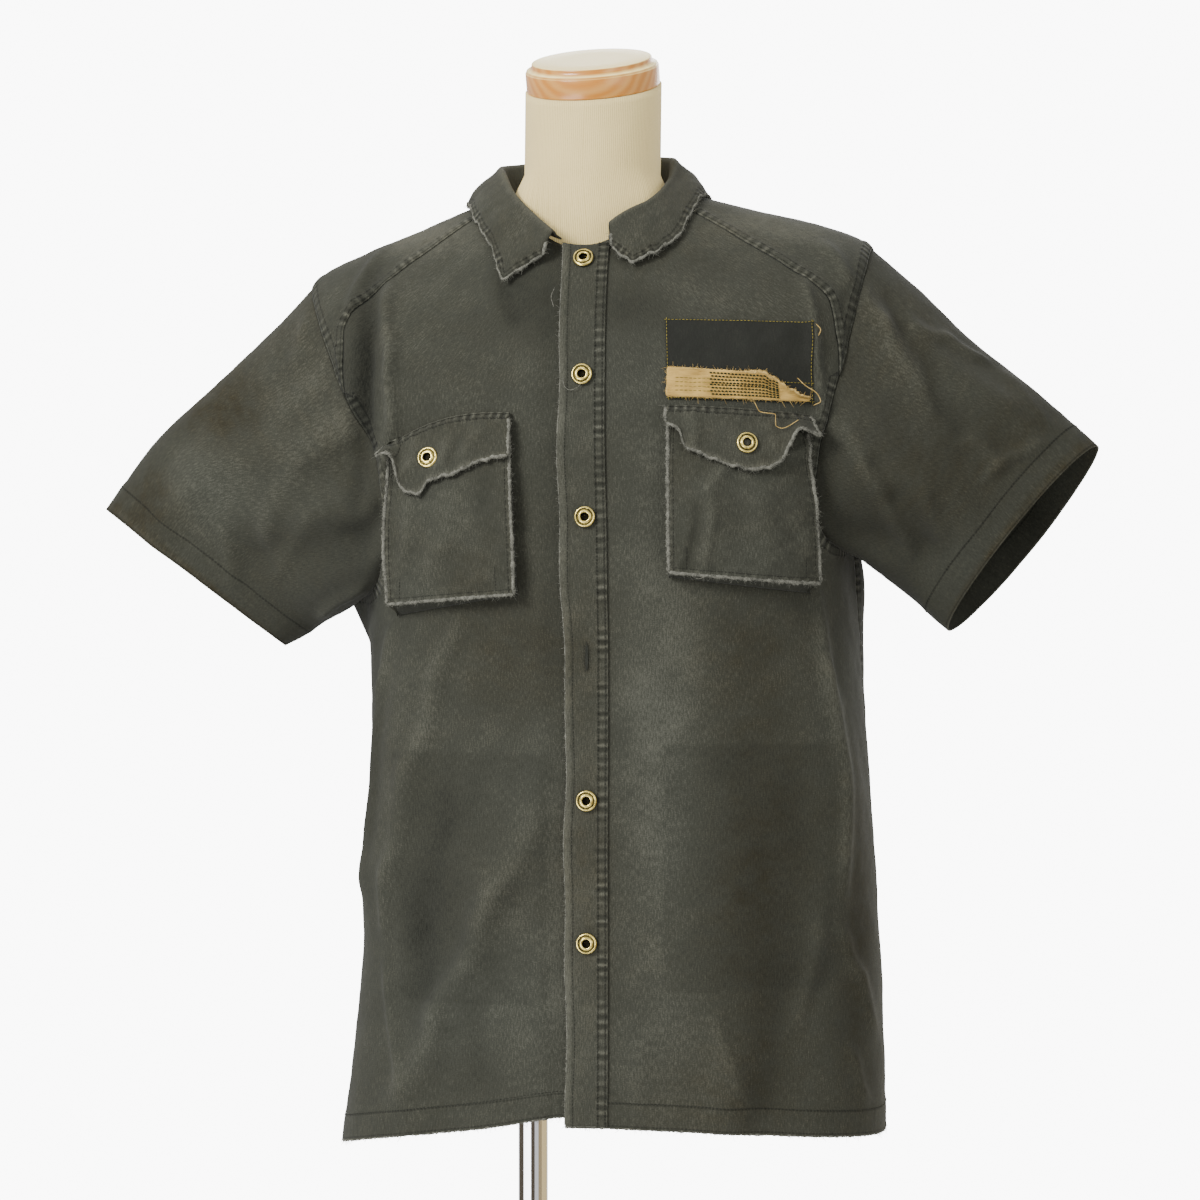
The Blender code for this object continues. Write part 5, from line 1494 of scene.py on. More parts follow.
@dataclass
class Flap:
    """Pocket flap with a raw, curled edge, on a puckered seam."""
    panels: BodyPanels
    side: Side
    start: tuple[float, float]          # x and z of its seam's inner end
    end: tuple[float, float]
    arch: float
    drops: tuple[FlapDrop, ...]
    over_bag: float = 0.0076
    columns: int = 84
    rows: int = 36
    creases: tuple[Crease, ...] = ()

    def place(self, way: Array, hang: Array) -> tuple[Array, Array, Array]:
        """x, z and lift of its inner face."""
        knots = np.array([drop.way for drop in self.drops])
        drop = smooth_column(knots, np.array([item.drop for item in self.drops]), way)
        curl = smooth_column(knots, np.array([item.curl for item in self.drops]), way)
        ragged = 1 + 0.012 * np.sin(way * 47) + 0.008 * np.sin(way * 83 + 1)
        x = self.start[0] + (self.end[0] - self.start[0]) * way
        z = (self.start[1] + (self.end[1] - self.start[1]) * way
             + self.arch * np.sin(way * math.pi) - drop * hang * ragged)
        fallen = drop * hang
        risen = ramp(fallen, 0.0, 0.0075)
        over = self.over_bag + 0.0048 * ramp(fallen, 0.004, 0.045)
        return x, z, 0.0009 * (1 - risen) + over * risen + curl * hang**2

    def face(self, way: Array, hang: Array) -> tuple[Array, Array]:
        """Inner face, and normals that point away from the body."""
        x, z, lift = self.place(way, hang)
        s, t = self.panels.body.find_on_front(x, z)
        inner, facing = self.panels.body.at(s, t, lift)
        normals = grid_normals(inner)
        return inner, normals * np.sign((normals * facing).sum(axis=-1).mean())

    def sheet(self) -> Sheet:
        """The flap's cloth: its first row is its seam."""
        way, hang = np.meshgrid(np.linspace(0, 1, self.columns + 1),
                                np.linspace(0, 1, self.rows + 1))
        inner, normals = self.face(way, hang)
        sewn = Sewn.by(inner, (Seam(inner[0], band=0.0090, lift=0.0004, pucker=0.0004),))
        crease = sum((item.height(inner[..., 0], inner[..., 2]) for item in self.creases),
                     0 * way)
        curled = 0.0010 * soft_noise(inner, 0.022, 61) * ramp(hang, 0.3, 1.0)
        points = inner + normals * (CLOTH + sewn.lift + crease + curled)[..., None]
        lightness = np.exp(-((1 - hang) * 0.045 / 0.0030)**2)
        # Crease crests lighter by wear and painted light, troughs darker as painted shade; the raw
        # edge pale with wear.
        fade = 0.45 + crest_tone(crease) + 0.18 * lightness
        fade = fade + 0.02 * soft_noise(points, 0.03, 62) + 0.014 * soft_noise(points, 0.012, 63)
        tint = 0.30 + 0.12 * soft_noise(points, 0.08, 64)
        uv = np.stack([way * 0.115, hang * 0.048], axis=-1)
        return Sheet(points, normals, uv, fade, tint, sewn)


FLAP_SHAPES = {
    Side.RIGHT: dict(start=(-0.0510, 1.0345), end=(-0.1560, 1.0090), arch=0.009,
        drops=each(FlapDrop,
        (.0, .035, .0), (.215, .04, .0), (.467, .048, .001), (.615, .048, .002),
        (.665, .0555, .003), (.78, .05, .004), (.845, .037, .006), (.89, .018, .009),
        (.945, .01, .01), (1.0, .01, .01)),
        creases=each(Crease,
            (-.101, 1.013, -.115, .982, .006, .0022), (-.073, 1.024, -.09, .996, .007, .0018),
            (-.128, 1.012, -.138, .985, .006, .0018), (-.088, 1.02, -.1, .99, .006, -.0012))),
    Side.LEFT: dict(start=(0.0770, 1.0405), end=(0.1910, 1.0330), arch=0.001, drops=each(FlapDrop,
        (.0, .015, .003), (.09, .02, .002), (.13, .033, .001), (.24, .0385, .0),
        (.47, .047, .001), (.58, .049, .003), (.7, .0455, .005), (.77, .04, .008),
        (.83, .024, .011), (.89, .013, .012), (1.0, .017, .012)),
        creases=each(Crease,
            (.098, 1.034, .104, 1.004, .006, .0018), (.16, 1.028, .166, 1.002, .007, .0018),
            (.12, 1.02, .15, 1.012, .009, .001))),
}
POCKET_CORNERS = {
    Side.RIGHT: Corners(-0.0520, 1.0240, -0.1520, 0.9990, -0.0440, 0.8860, -0.1490, 0.8790),
    Side.LEFT: Corners(0.0790, 1.0280, 0.1880, 1.0190, 0.0805, 0.9040, 0.1900, 0.8950),
}
PATCH_CORNERS = Corners(0.0745, 1.1120, 0.1920, 1.1095, 0.0785, 1.0460, 0.1940, 1.0430)
TAPE_CORNERS = Corners(0.0780, 1.0715, 0.1860, 1.0640, 0.0775, 1.0480, 0.1900, 1.0440)


@dataclass
class ChestPatch:
    """Unfaded oblong where something was unpicked, with its old outline stitching."""
    panels: BodyPanels
    gap: float = 0.0004

    def sheet(self) -> Sheet:
        """The patch's cloth."""
        across, down = np.meshgrid(np.linspace(0, 1, 79), np.linspace(0, 1, 45))
        x, z = PATCH_CORNERS.spread(across, down)
        s, t = self.panels.body.find_on_front(x, z)
        flat, facing = self.panels.body.at(s, t)
        rough = 0.0002 * soft_noise(flat, 0.012, 72)
        points = flat + facing * (self.gap + CLOTH + rough)[..., None]
        fade = 0.42 + 0.04 * soft_noise(flat, 0.02, 71)
        uv = np.stack([across * 0.118, down * 0.067], axis=-1)
        return Sheet(points, facing, uv, fade, 0.3 + 0 * across)


@dataclass
class LabelTape:
    """Torn beige cotton tape with rows of plain darning stitches on it."""
    panels: BodyPanels
    seat: float = 0.0027
    peel: float = 0.006
    tear_from: float = 0.66         # share of its width where the tear leaves its top edge
    torn: float = 0.86              # share of its height that the tear takes at its end
    darned_rows: int = 8

    def sheet(self) -> Sheet:
        """The tape's cloth, its top cut away by the tear."""
        across, down = np.meshgrid(np.linspace(0, 1, 97), np.linspace(0, 1, 27))
        ragged = 0.025 * np.sin(across * 61) + 0.02 * np.sin(across * 103)
        top = self.torn * ramp(across, self.tear_from, 1.0) + ragged * ramp(across, 0.6, 0.7)
        low = top + (1 - top) * down
        x, z = TAPE_CORNERS.spread(across, low)
        s, t = self.panels.body.find_on_front(x, z)
        roll = self.peel * ramp(across - 0.35 * low, 0.45, 1.0)
        roll = roll + 0.0030 * np.exp(-(down / 0.22)**2) * ramp(across, 0.58, 0.72)
        wave = 0.0005 * soft_noise(np.stack([x, 0 * x, z], -1), 0.016, 81)
        points, facing = self.panels.body.at(s, t, self.seat + CLOTH * 0.7 + roll + wave)
        fade = 0.5 + 0.16 * soft_noise(points, 0.012, 82) + 0.10 * soft_noise(points, 0.035, 83)
        uv = np.stack([across * 0.112, low * 0.022], axis=-1)
        return Sheet(points, facing, uv, fade, 0.5 + 0 * across)

    def darning(self, sheet: Sheet) -> list[tuple[Array, Array]]:
        """Rows of short running stitches in brick order, each a path with its normals."""
        rows, columns = sheet.points.shape[:2]
        stitches = []
        for row in range(self.darned_rows):
            at = round((0.12 + 0.76 * row / (self.darned_rows - 1)) * (rows - 1))
            span = slice(int(columns * (0.32 + 0.012 * (row % 2))), int(columns * 0.80))
            stitches.append((sheet.points[at, span], sheet.normals[at, span]))
        return stitches


# --- buttons and the empty buttonhole -------------------------------------------------------------
@dataclass
class TackButton:
    """Brass donut tack button: a rolled rim round a dished ring and a hole painted dark as shade.
    """
    radius: float = 0.0088
    height: float = 0.0042
    sides: int = 40
    # radius and height over the button's own sizes, then how tarnished it is there; in the hole,
    # painted shade
    profile: tuple[tuple[float, float, float], ...] = (
        (0.0, .05, .6), (.90, .05, .6), (.97, .16, .5), (1.0, .32, .35), (.99, .52, .2),
        (0.95, 0.70, 0.1), (0.90, 0.80, 0.0), (0.83, 0.80, 0.35), (0.77, 0.72, 0.80),
        (0.69, 0.70, 0.72), (0.62, 0.80, 0.35), (0.56, 0.95, 0.0), (0.49, 1.0, 0.0),
        (0.43, 0.95, 0.05), (0.39, 0.82, 0.55), (0.37, 0.55, 1.0), (0.36, 0.20, 1.0),
        (0.20, 0.16, 1.0), (0.0, 0.16, 1.0))

    def mesh(self, seat: Array, normal: Array, turn: float) -> bmesh.types.BMesh:
        """Turned shape, set on the cloth."""
        bm = turned([(radius * self.radius, height * self.height)
                     for radius, height, _ in self.profile],
                    self.sides, tuple(tarnish_and_shade for _, _, tarnish_and_shade in self.profile))
        frame_turn = Vector(normal).to_track_quat("Z", "Y").to_matrix().to_4x4()
        spin = Matrix.Rotation(turn, 4, "Z")
        bmesh.ops.transform(bm, matrix=Matrix.Translation(Vector(seat)) @ frame_turn @ spin,
                            verts=bm.verts)
        return bm


@dataclass
class Buttons:
    """The row down the placket and the two on the flaps, each at the height of its solid."""
    panels: BodyPanels
    heights: tuple[float, ...] = (1.1621, 1.0659, 0.9495, 0.7176, 0.6005)
    on_flap: dict[Side, tuple[float, float]] = field(
        default_factory=lambda: {Side.RIGHT: (0.62, 0.62), Side.LEFT: (0.56, 0.58)})
    seat: float = 0.0022 + 0.0006

    def build(self, flaps: dict[Side, Flap], material: bpy.types.Material) -> None:
        """Make all seven, each its own piece."""
        button, body = TackButton(), self.panels.body
        z_front, x_mid = body.column["z_front"], body.column["x_mid"]
        for number, height in enumerate(self.heights, start=1):
            x = smooth_column(-z_front, x_mid, np.array(-height))
            s, t = body.find_on_front(x, height)
            seat, normal = body.at(s, t, self.seat)
            to_object(f"brass_button_{number}", button.mesh(seat, normal, number * 1.3), material,
                      replaces=(f"button_{number}",))
        for side, (way, hang) in self.on_flap.items():
            ways, hangs = np.meshgrid(way + np.array((-0.07, 0, 0.07)),
                                      hang + np.array((-0.2, 0, 0.2)))
            inner, normals = flaps[side].face(ways, hangs)
            seat = inner[1, 1] + normals[1, 1] * (CLOTH + REST_GAP)
            to_object(f"brass_flap_button_{side.value}", button.mesh(seat, normals[1, 1], 2.0),
                      material, replaces=(f"flap_button_{side.value}",))


@dataclass
class Buttonhole:
    """Worked hole left without its button: a slit in a ring of close stitches."""
    panels: BodyPanels
    x: float = 0.0138
    z_top: float = 0.8466
    z_low: float = 0.8229
    half_width: float = 0.0022
    seat: float = REST_GAP + CLOTH + 0.0011

    def outline(self) -> tuple[Array, Array]:
        """Points and normals round the slit, on the placket."""
        turn = np.linspace(0, 2 * math.pi, 48, endpoint=False)
        middle, half = (self.z_top + self.z_low) / 2, (self.z_top - self.z_low) / 2
        z = middle + half * np.sign(np.cos(turn)) * np.abs(np.cos(turn))**0.6
        x = self.x + self.half_width * np.sin(turn)
        body = self.panels.body
        return body.at(*body.find_on_front(x, z), self.seat)

    def slit(self, material: bpy.types.Material) -> bpy.types.Object:
        """Dark lens inside the stitches: painted shade of the open slit."""
        path, _ = self.outline()
        middle = path.mean(axis=0)
        bm = bmesh.new()
        bmesh.ops.create_circle(bm, cap_ends=True, segments=len(path), radius=1.0)
        bm.verts.ensure_lookup_table()
        for vert, point in zip(bm.verts, path):
            vert.co = Vector(middle + (point - middle) * np.array((0.55, 1.0, 0.90)))
        if bm.faces[:][0].normal.y > 0:
            bmesh.ops.reverse_faces(bm, faces=bm.faces)
        bmesh.ops.recalc_face_normals(bm, faces=bm.faces)
        return to_object("buttonhole_slit", bm, material)


# --- threads --------------------------------------------------------------------------------------
def thread_mesh(path: Array, radius: float) -> bmesh.types.BMesh:
    """Five-sided thread along a path smoothed through its points."""
    knots = way_along(path)
    at = np.linspace(0, knots[-1], max(8, int(knots[-1] / 0.0012)))
    smooth = np.stack([smooth_column(knots, path[:, k], at) for k in range(3)], axis=-1)
    along = unit(np.gradient(smooth, axis=0))
    side = unit(np.cross(along, np.array((0.1, 1.0, 0.2))))
    up = np.cross(side, along)
    angles = np.linspace(0, 2 * math.pi, 5, endpoint=False)
    ring = (np.cos(angles)[None, :, None] * side[:, None]
            + np.sin(angles)[None, :, None] * up[:, None])
    taper = np.ones(len(at))
    taper[[0, -1]] = 0.2
    bm = shaped_grid(smooth[:, None] + ring * (radius * taper)[:, None, None], closed_round=True)
    bmesh.ops.recalc_face_normals(bm, faces=bm.faces)
    return bm


@dataclass(frozen=True)
class LooseThread:
    """Thread that hangs from an edge, as x and z seen from the front and its lift."""
    places: tuple[tuple[float, float], ...]
    lift: float
    radius: float = 0.00032


DARK_THREADS = (
    LooseThread(((.008, 1.060), (.0048, 1.0551), (-.0018, 1.0527), (-.0069, 1.0568),
                            (-.0079, 1.0634)), 0.0050),
    LooseThread(((-.0180, 1.1380), (-.0205, 1.1300), (-.0180, 1.1215)), 0.0036),
    LooseThread(((.0960, .9030), (.1030, .8990), (.1100, .9020)), 0.0170),
)
BEIGE_THREADS = (
    LooseThread(((.1462, 1.0417), (.1506, 1.0339), (.1618, 1.0319), (.1618, 1.0238),
                             (.1662, 1.0213), (.1784, 1.0284)), 0.0150),
    LooseThread(((.1790, 1.0620), (.1850, 1.0560), (.1930, 1.0500), (.1950, 1.0440),
                             (.1905, 1.0405)), 0.0110, 0.00040),
    LooseThread(((.1930, 1.1060), (.1965, 1.1010), (.1945, 1.0960)), 0.0045, 0.0004),
)


def hang_threads(name: str, threads: tuple[LooseThread, ...], body: ShirtBody,
                 material: bpy.types.Material) -> bpy.types.Object:
    """Make a group of loose threads one piece."""
    whole = bmesh.new()
    for thread in threads:
        x, z = np.array(thread.places).T
        path, _ = body.at(*body.find_on_front(x, z), thread.lift)
        take_in(whole, thread_mesh(path, thread.radius))
    return to_object(name, whole, material)


# --- dress form and its stand ---------------------------------------------------------------------
@dataclass(frozen=True)
class FormRing:
    """Level ring of the form below its shoulders."""
    z: float
    x_middle: float
    y_middle: float
    half_width: float
    half_front: float
    half_back: float
    square: float


FORM_RINGS = each(FormRing,
    (1.115, -.002, .0, .19, .102, .096, 2.3), (1.05, .0, .0, .184, .114, .106, 2.4),
    (.96, .0, -.002, .174, .122, .106, 2.4), (.86, .0, -.004, .164, .112, .098, 2.3),
    (.76, -.004, -.004, .156, .1, .092, 2.2), (.64, -.01, .0, .162, .1, .1, 2.2),
    (.55, -.014, .0, .166, .1, .104, 2.2), (.51, -.016, .0, .158, .092, .096, 2.2))


@dataclass
class DressForm:
    """Limbless torso under a rib-knit cover, with a wooden neck cap."""
    body: ShirtBody
    neck_middle: tuple[float, float] = (0.000, -0.021)
    neck_radius: float = 0.058
    neck_top: tuple[float, float, float] = (0.0025, -0.033, 1.3130)
    neck_foot: float = 1.240
    cap_lean: float = math.radians(17.5)
    cap_roll: float = math.radians(-1.8)
    cap_radius: float = 0.0567
    cap_top_radius: float = 0.0510
    cap_band: float = 0.0175
    cap_height: float = 0.0245
    gap: float = 0.0036
    collar_room: float = 0.004
    shoulder_drop: float = 0.002
    sides: int = 144
    cap_sides: int = 128

    def cap_frame(self) -> Matrix:
        """Turn of the neck's top: leaning forward, a little to one side."""
        return (Matrix.Translation(Vector(self.neck_top)) @ Matrix.Rotation(self.cap_roll, 4, "Y")
                @ Matrix.Rotation(self.cap_lean, 4, "X"))

    def rings(self) -> list[Array]:
        """The form's rings from the neck's top to its foot."""
        angles = np.linspace(0, 2 * math.pi, self.sides, endpoint=False)
        across, ahead = np.sin(angles), np.cos(angles)
        flat = np.stack([across, -ahead, 0 * angles], -1) * self.neck_radius
        foot = flat + np.array((*self.neck_middle, self.neck_foot))
        turn = np.array(self.cap_frame())
        top = flat @ turn[:3, :3].T + turn[:3, 3]
        rings = [foot * (1 - way) + top * way for way in np.linspace(1, 0, 12)]
        s = np.linspace(0, 4, self.sides, endpoint=False)
        knots = [self.body.t_of[name] for name in ("neckline", "collar edge", "mid shoulder",
                                                   "shoulder")]
        levels = np.concatenate([np.linspace(a, b, 5) for a, b in zip(knots, knots[1:])])
        for t in np.unique(levels):
            points, normals = self.body.at(s, np.full(self.sides, t), fine=False)
            sink = self.gap + 0.030 * ramp(np.abs(np.cos(s * math.pi / 2)), 0.55, 1.0)
            sink = sink + self.collar_room * (1 - ramp(t, 0.0, knots[1]))
            sink = sink + self.shoulder_drop * ramp(t, knots[2], knots[3]) + 0.0006
            rings.append(points - normals * sink[:, None])
        for ring in FORM_RINGS:
            swell = (np.abs(across)**ring.square + np.abs(ahead)**ring.square)**(-1 / ring.square)
            depth = np.where(ahead > 0, ring.half_front, ring.half_back)
            rings.append(np.stack([ring.x_middle + across * swell * ring.half_width,
                                   ring.y_middle - ahead * swell * depth,
                                   np.full(self.sides, ring.z)], -1))
        return rings

    def build(self, cover: bpy.types.Material, wood: bpy.types.Material) -> None:
        """Make the covered torso and the cap."""
        grid = np.stack(self.rings())
        way = np.stack([way_along(grid[:, k]) for k in range(0, self.sides, 8)]).mean(axis=0)
        turn = np.linspace(0, 2 * math.pi * 0.075, self.sides + 1)
        uv = np.stack([np.broadcast_to(turn, (len(grid), self.sides + 1)),
                       np.broadcast_to(way[:, None], (len(grid), self.sides + 1))], axis=-1)
        middle = grid.mean(axis=1, keepdims=True)
        bm = shaped_grid(grid, uv, closed_round=True, outward=unit(grid - middle))
        bmesh.ops.holes_fill(bm, edges=[edge for edge in bm.edges if edge.is_boundary], sides=0)
        bmesh.ops.recalc_face_normals(bm, faces=bm.faces)
        to_object("form_cover", bm, cover, replaces=("form_torso",))
        self.build_cap(wood)

    def build_cap(self, wood: bpy.types.Material) -> None:
        """Turned cap: a straight band, a fine step and a softly coved rim."""
        low, band, high = REST_GAP, self.cap_band, self.cap_height
        wide, top = self.cap_radius, self.cap_top_radius
        cove = [(top + 0.0046 * (1 - math.sin(q * math.pi / 2)),
                 band + 0.0010 + (high - band - 0.0022) * (1 - math.cos(q * math.pi / 2)))
                for q in np.linspace(0, 1, 6)]
        round_over = [(top - 0.0012 + 0.0012 * math.cos(q), high - 0.0012 + 0.0012 * math.sin(q))
                      for q in np.linspace(0.2, math.pi / 2, 5)]
        profile = [(0.0, low), (wide - 0.0010, low), (wide - 0.0003, low + 0.0003),
                   (wide, low + 0.0010), (wide, band - 0.0012), (wide - 0.0004, band - 0.0004),
                   (wide - 0.0012, band), *cove, *round_over, (top * 0.6, high), (0.0, high)]
        bm = turned(profile, self.cap_sides)
        bmesh.ops.transform(bm, matrix=self.cap_frame(), verts=bm.verts)
        to_object("wooden_cap", bm, wood, replaces=("neck_cap",))


# --- finishes -------------------------------------------------------------------------------------
def linear(colour: str) -> tuple[float, float, float, float]:
    """sRGB hex colour as linear RGBA."""
    parts = [int(colour[k:k + 2], 16) / 255 for k in (1, 3, 5)]
    return (*[c / 12.92 if c <= 0.04045 else ((c + 0.055) / 1.055)**2.4 for c in parts], 1.0)


def add(tree: bpy.types.NodeTree, kind: str, inputs: dict | None = None,
        stops: tuple[tuple[float, str], ...] = (), **settings: object) -> bpy.types.Node:
    """Add a node with its settings and links.

    Args:
        tree: where.
        kind: the node's type, after ShaderNode.
        inputs: values, sockets or nodes for its own sockets; a node gives its first output.
        stops: places and hex colours of a colour ramp.
        settings: its properties.
    Returns:
        The node.
    """
    node = tree.nodes.new(f"ShaderNode{kind}")
    for name, value in settings.items():
        setattr(node, name, value)
    for key, value in (inputs or {}).items():
        if isinstance(value, bpy.types.Node):
            value = value.outputs[0]
        if isinstance(value, bpy.types.NodeSocket):
            tree.links.new(value, node.inputs[key])
        else:
            node.inputs[key].default_value = value
    for k, (place, colour) in enumerate(stops):
        elements = node.color_ramp.elements
        element = elements[k] if k < 2 else elements.new(place)
        element.position, element.color = place, linear(colour)
    return node


def drive(shader: bpy.types.Node, sources: dict[str, bpy.types.Node]) -> None:
    """Link nodes' first outputs to a shader's sockets."""
    for socket, node in sources.items():
        shader.id_data.links.new(node.outputs[0], shader.inputs[socket])


def new_material(name: str) -> tuple[bpy.types.Material, bpy.types.NodeTree, bpy.types.Node]:
    """Material with a bare Principled shader."""
    material = bpy.data.materials.new(name)
    material.use_nodes = True
    tree = material.node_tree
    return material, tree, tree.nodes["Principled BSDF"]


@dataclass(frozen=True)
class TwillFinish:
    """Heavy cotton twill, sulphur-dyed and washed out: matt, grainy, paler on every crest by wear
    and painted light, with painted shade in troughs and beside seams.
    """
    name: str
    dark: str
    middle: str
    light: str
    brown: str
    mottle: float = 0.016        # metres from one cloudy patch to the next
    grain: float = 0.0009        # yarn ends are 0.5 mm apart, drawn coarser so that they show
    slub: float = 0.006          # length of a thick place in a yarn
    stitch: float = 0.0030
    clouds: float = 0.16
    grains: float = 0.44

    def build(self) -> bpy.types.Material:
        """Make the material; it reads the cloth's UV map, in metres, its wear and painted shade,
        and its seams.
        """
        material, tree, shader = new_material(self.name)
        fade = add(tree, "Attribute", attribute_name="fade").outputs["Fac"]
        tint = add(tree, "Attribute", attribute_name="tint").outputs["Fac"]
        flat = add(tree, "UVMap", uv_map="UVMap")
        cloudy = add(tree, "TexNoise", {"Vector": flat, "Scale": 1 / self.mottle, "Detail": 4.0,
                                        "Roughness": 0.6})
        stretched = add(tree, "Mapping", {"Vector": flat,
                                          "Scale": (1 / self.grain, 1 / self.slub, 1.0)})
        slubs = add(tree, "TexNoise", {"Vector": stretched, "Scale": 1.0, "Detail": 2.0,
                                       "Roughness": 0.6})
        speckle = add(tree, "TexNoise", {"Vector": flat, "Scale": 1 / (self.grain * 1.1),
                                         "Detail": 2.0, "Roughness": 0.7})
        grainy = add(tree, "Math", {0: slubs, 1: speckle}, operation="ADD")
        centred = add(tree, "Math", {0: grainy, 1: self.grains, 2: -self.grains},
                      operation="MULTIPLY_ADD")
        clouded = add(tree, "Math", {0: cloudy, 1: self.clouds,
                                     2: centred}, operation="MULTIPLY_ADD")
        levelled = add(tree, "Math", {0: clouded, 1: self.clouds / 2}, operation="SUBTRACT")
        pucker, seam_tone = self.draw_seams(tree)
        sewn = add(tree, "Math", {0: levelled, 1: seam_tone}, operation="ADD")
        # Wear, painted light and painted shade all lighten or darken the cloth here.
        lightness = add(tree, "Math", {0: sewn, 1: fade}, operation="ADD", use_clamp=True)
        shade = add(tree, "ValToRGB", {"Fac": lightness},
                    stops=((0.0, self.dark), (1.0, self.light), (0.45, self.middle)))
        patchy = add(tree, "Math", {0: cloudy, 1: tint}, operation="MULTIPLY")
        doubled = add(tree, "Math", {0: patchy, 1: 1.1}, operation="MULTIPLY", use_clamp=True)
        rusty = add(tree, "Mix", {0: doubled, 6: shade, 7: linear(self.brown)},
                    data_type="RGBA", blend_type="SOFT_LIGHT")
        weave = add(tree, "Math", {0: grainy, 1: 0.22, 2: pucker}, operation="MULTIPLY_ADD")
        bump = add(tree, "Bump", {"Height": weave, "Strength": 0.8, "Distance": 0.0008})
        tree.links.new(rusty.outputs[2], shader.inputs["Base Color"])
        drive(shader, {"Normal": bump})
        shader.inputs["Roughness"].default_value = 0.92
        shader.inputs["Specular IOR Level"].default_value = 0.10
        shader.inputs["Sheen Weight"].default_value = 0.04
        shader.inputs["Sheen Roughness"].default_value = 0.45
        return material

    def draw_seams(self, tree: bpy.types.NodeTree) -> tuple[bpy.types.Node, bpy.types.Node]:
        """Puckers with painted light and shade, the lapped layer's rubbed edge with a painted
        highlight, the painted shadow beside the layer under it, and both stitch lines of the
        nearest seam, dark with thread and painted groove shade.

        Args:
            tree: the material's nodes.
        Returns:
            Height of the puckers and tone of it all.
        """
        away = add(tree, "Attribute", attribute_name="seam_away").outputs["Fac"]
        way = add(tree, "Attribute", attribute_name="seam_way").outputs["Fac"]
        band = add(tree, "Attribute", attribute_name="seam_band").outputs["Fac"]
        slow = add(tree, "Math", {0: way, 1: 1 / PUCKER_DRIFT}, operation="MULTIPLY")
        sway = add(tree, "Math", {0: slow}, operation="SINE")
        swayed = add(tree, "Math", {0: sway, 1: 2 * math.pi * PUCKER_SWAY}, operation="MULTIPLY")
        phase = add(tree, "Math", {0: way, 1: 2 * math.pi / PUCKER_PITCH, 2: swayed},
                    operation="MULTIPLY_ADD")
        wave = add(tree, "Math", {0: phase}, operation="SINE")
        waver = add(tree, "TexNoise", {"W": way, "Scale": 45.0, "Detail": 2.0},
                    noise_dimensions="1D")
        strong = add(tree, "MapRange", {"Value": waver, "From Min": 0.36,
                                        "From Max": 0.66, "To Min": 0.0, "To Max": 1.0})
        uneven = add(tree, "Math", {0: wave, 1: strong}, operation="MULTIPLY")
        has_seam = add(tree, "Math", {0: band, 1: 0.001}, operation="GREATER_THAN")
        past = add(tree, "Math", {0: away, 1: band}, operation="SUBTRACT")
        inside = add(tree, "MapRange", {"Value": past, "From Min": -0.0012,
                                        "From Max": 0.0016, "To Min": 1.0, "To Max": 0.0},
                     interpolation_type="SMOOTHSTEP")
        tight = add(tree, "MapRange", {"Value": band, "From Min": 0.010, "From Max": 0.018,
                                       "To Min": 1.0, "To Max": 0.10})
        sewn = add(tree, "Math", {0: tight, 1: has_seam}, operation="MULTIPLY")
        within = add(tree, "Math", {0: inside, 1: sewn}, operation="MULTIPLY")
        pucker = add(tree, "Math", {0: uneven, 1: within}, operation="MULTIPLY")
        # Lapped layer: edge lighter by wear and a painted highlight; layer under it: painted shadow
        # beside the seam.
        edge = add(tree, "MapRange", {"Value": away, "From Min": 0.0, "From Max": 0.0013,
                                      "To Min": 0.16, "To Max": 0.0})
        shadow = add(tree, "MapRange", {"Value": away, "From Min": 0.0, "From Max": 0.0014,
                                        "To Min": -0.30, "To Max": 0.0})
        lapped = add(tree, "Mix", {0: has_seam, 2: shadow, 3: edge}, data_type="FLOAT")
        # Stitch lines: dark thread and painted shade in their groove.
        outer = add(tree, "Math", {0: past, 1: -0.0008, 2: 0.0008}, operation="COMPARE")
        first = add(tree, "Math", {0: away, 1: 0.0022, 2: 0.0006}, operation="COMPARE")
        lines = add(tree, "Math", {0: outer, 1: first}, operation="MAXIMUM")
        on_seam = add(tree, "Math", {0: lines, 1: has_seam}, operation="MULTIPLY")
        dash_phase = add(tree, "Math", {0: way, 1: 2 * math.pi / self.stitch}, operation="MULTIPLY")
        dash = add(tree, "Math", {0: dash_phase}, operation="SINE")
        dashes = add(tree, "MapRange", {"Value": dash, "From Min": -0.6,
                                        "From Max": 0.2, "To Min": 0.35, "To Max": 1.0})
        dark = add(tree, "Math", {0: on_seam, 1: dashes}, operation="MULTIPLY")
        # Puckers painted lighter on their crests and darker between them.
        puckered = add(tree, "Math", {0: pucker, 1: 0.20, 2: lapped}, operation="MULTIPLY_ADD")
        tone = add(tree, "Math", {0: dark, 1: -0.20, 2: puckered}, operation="MULTIPLY_ADD")
        return pucker, tone


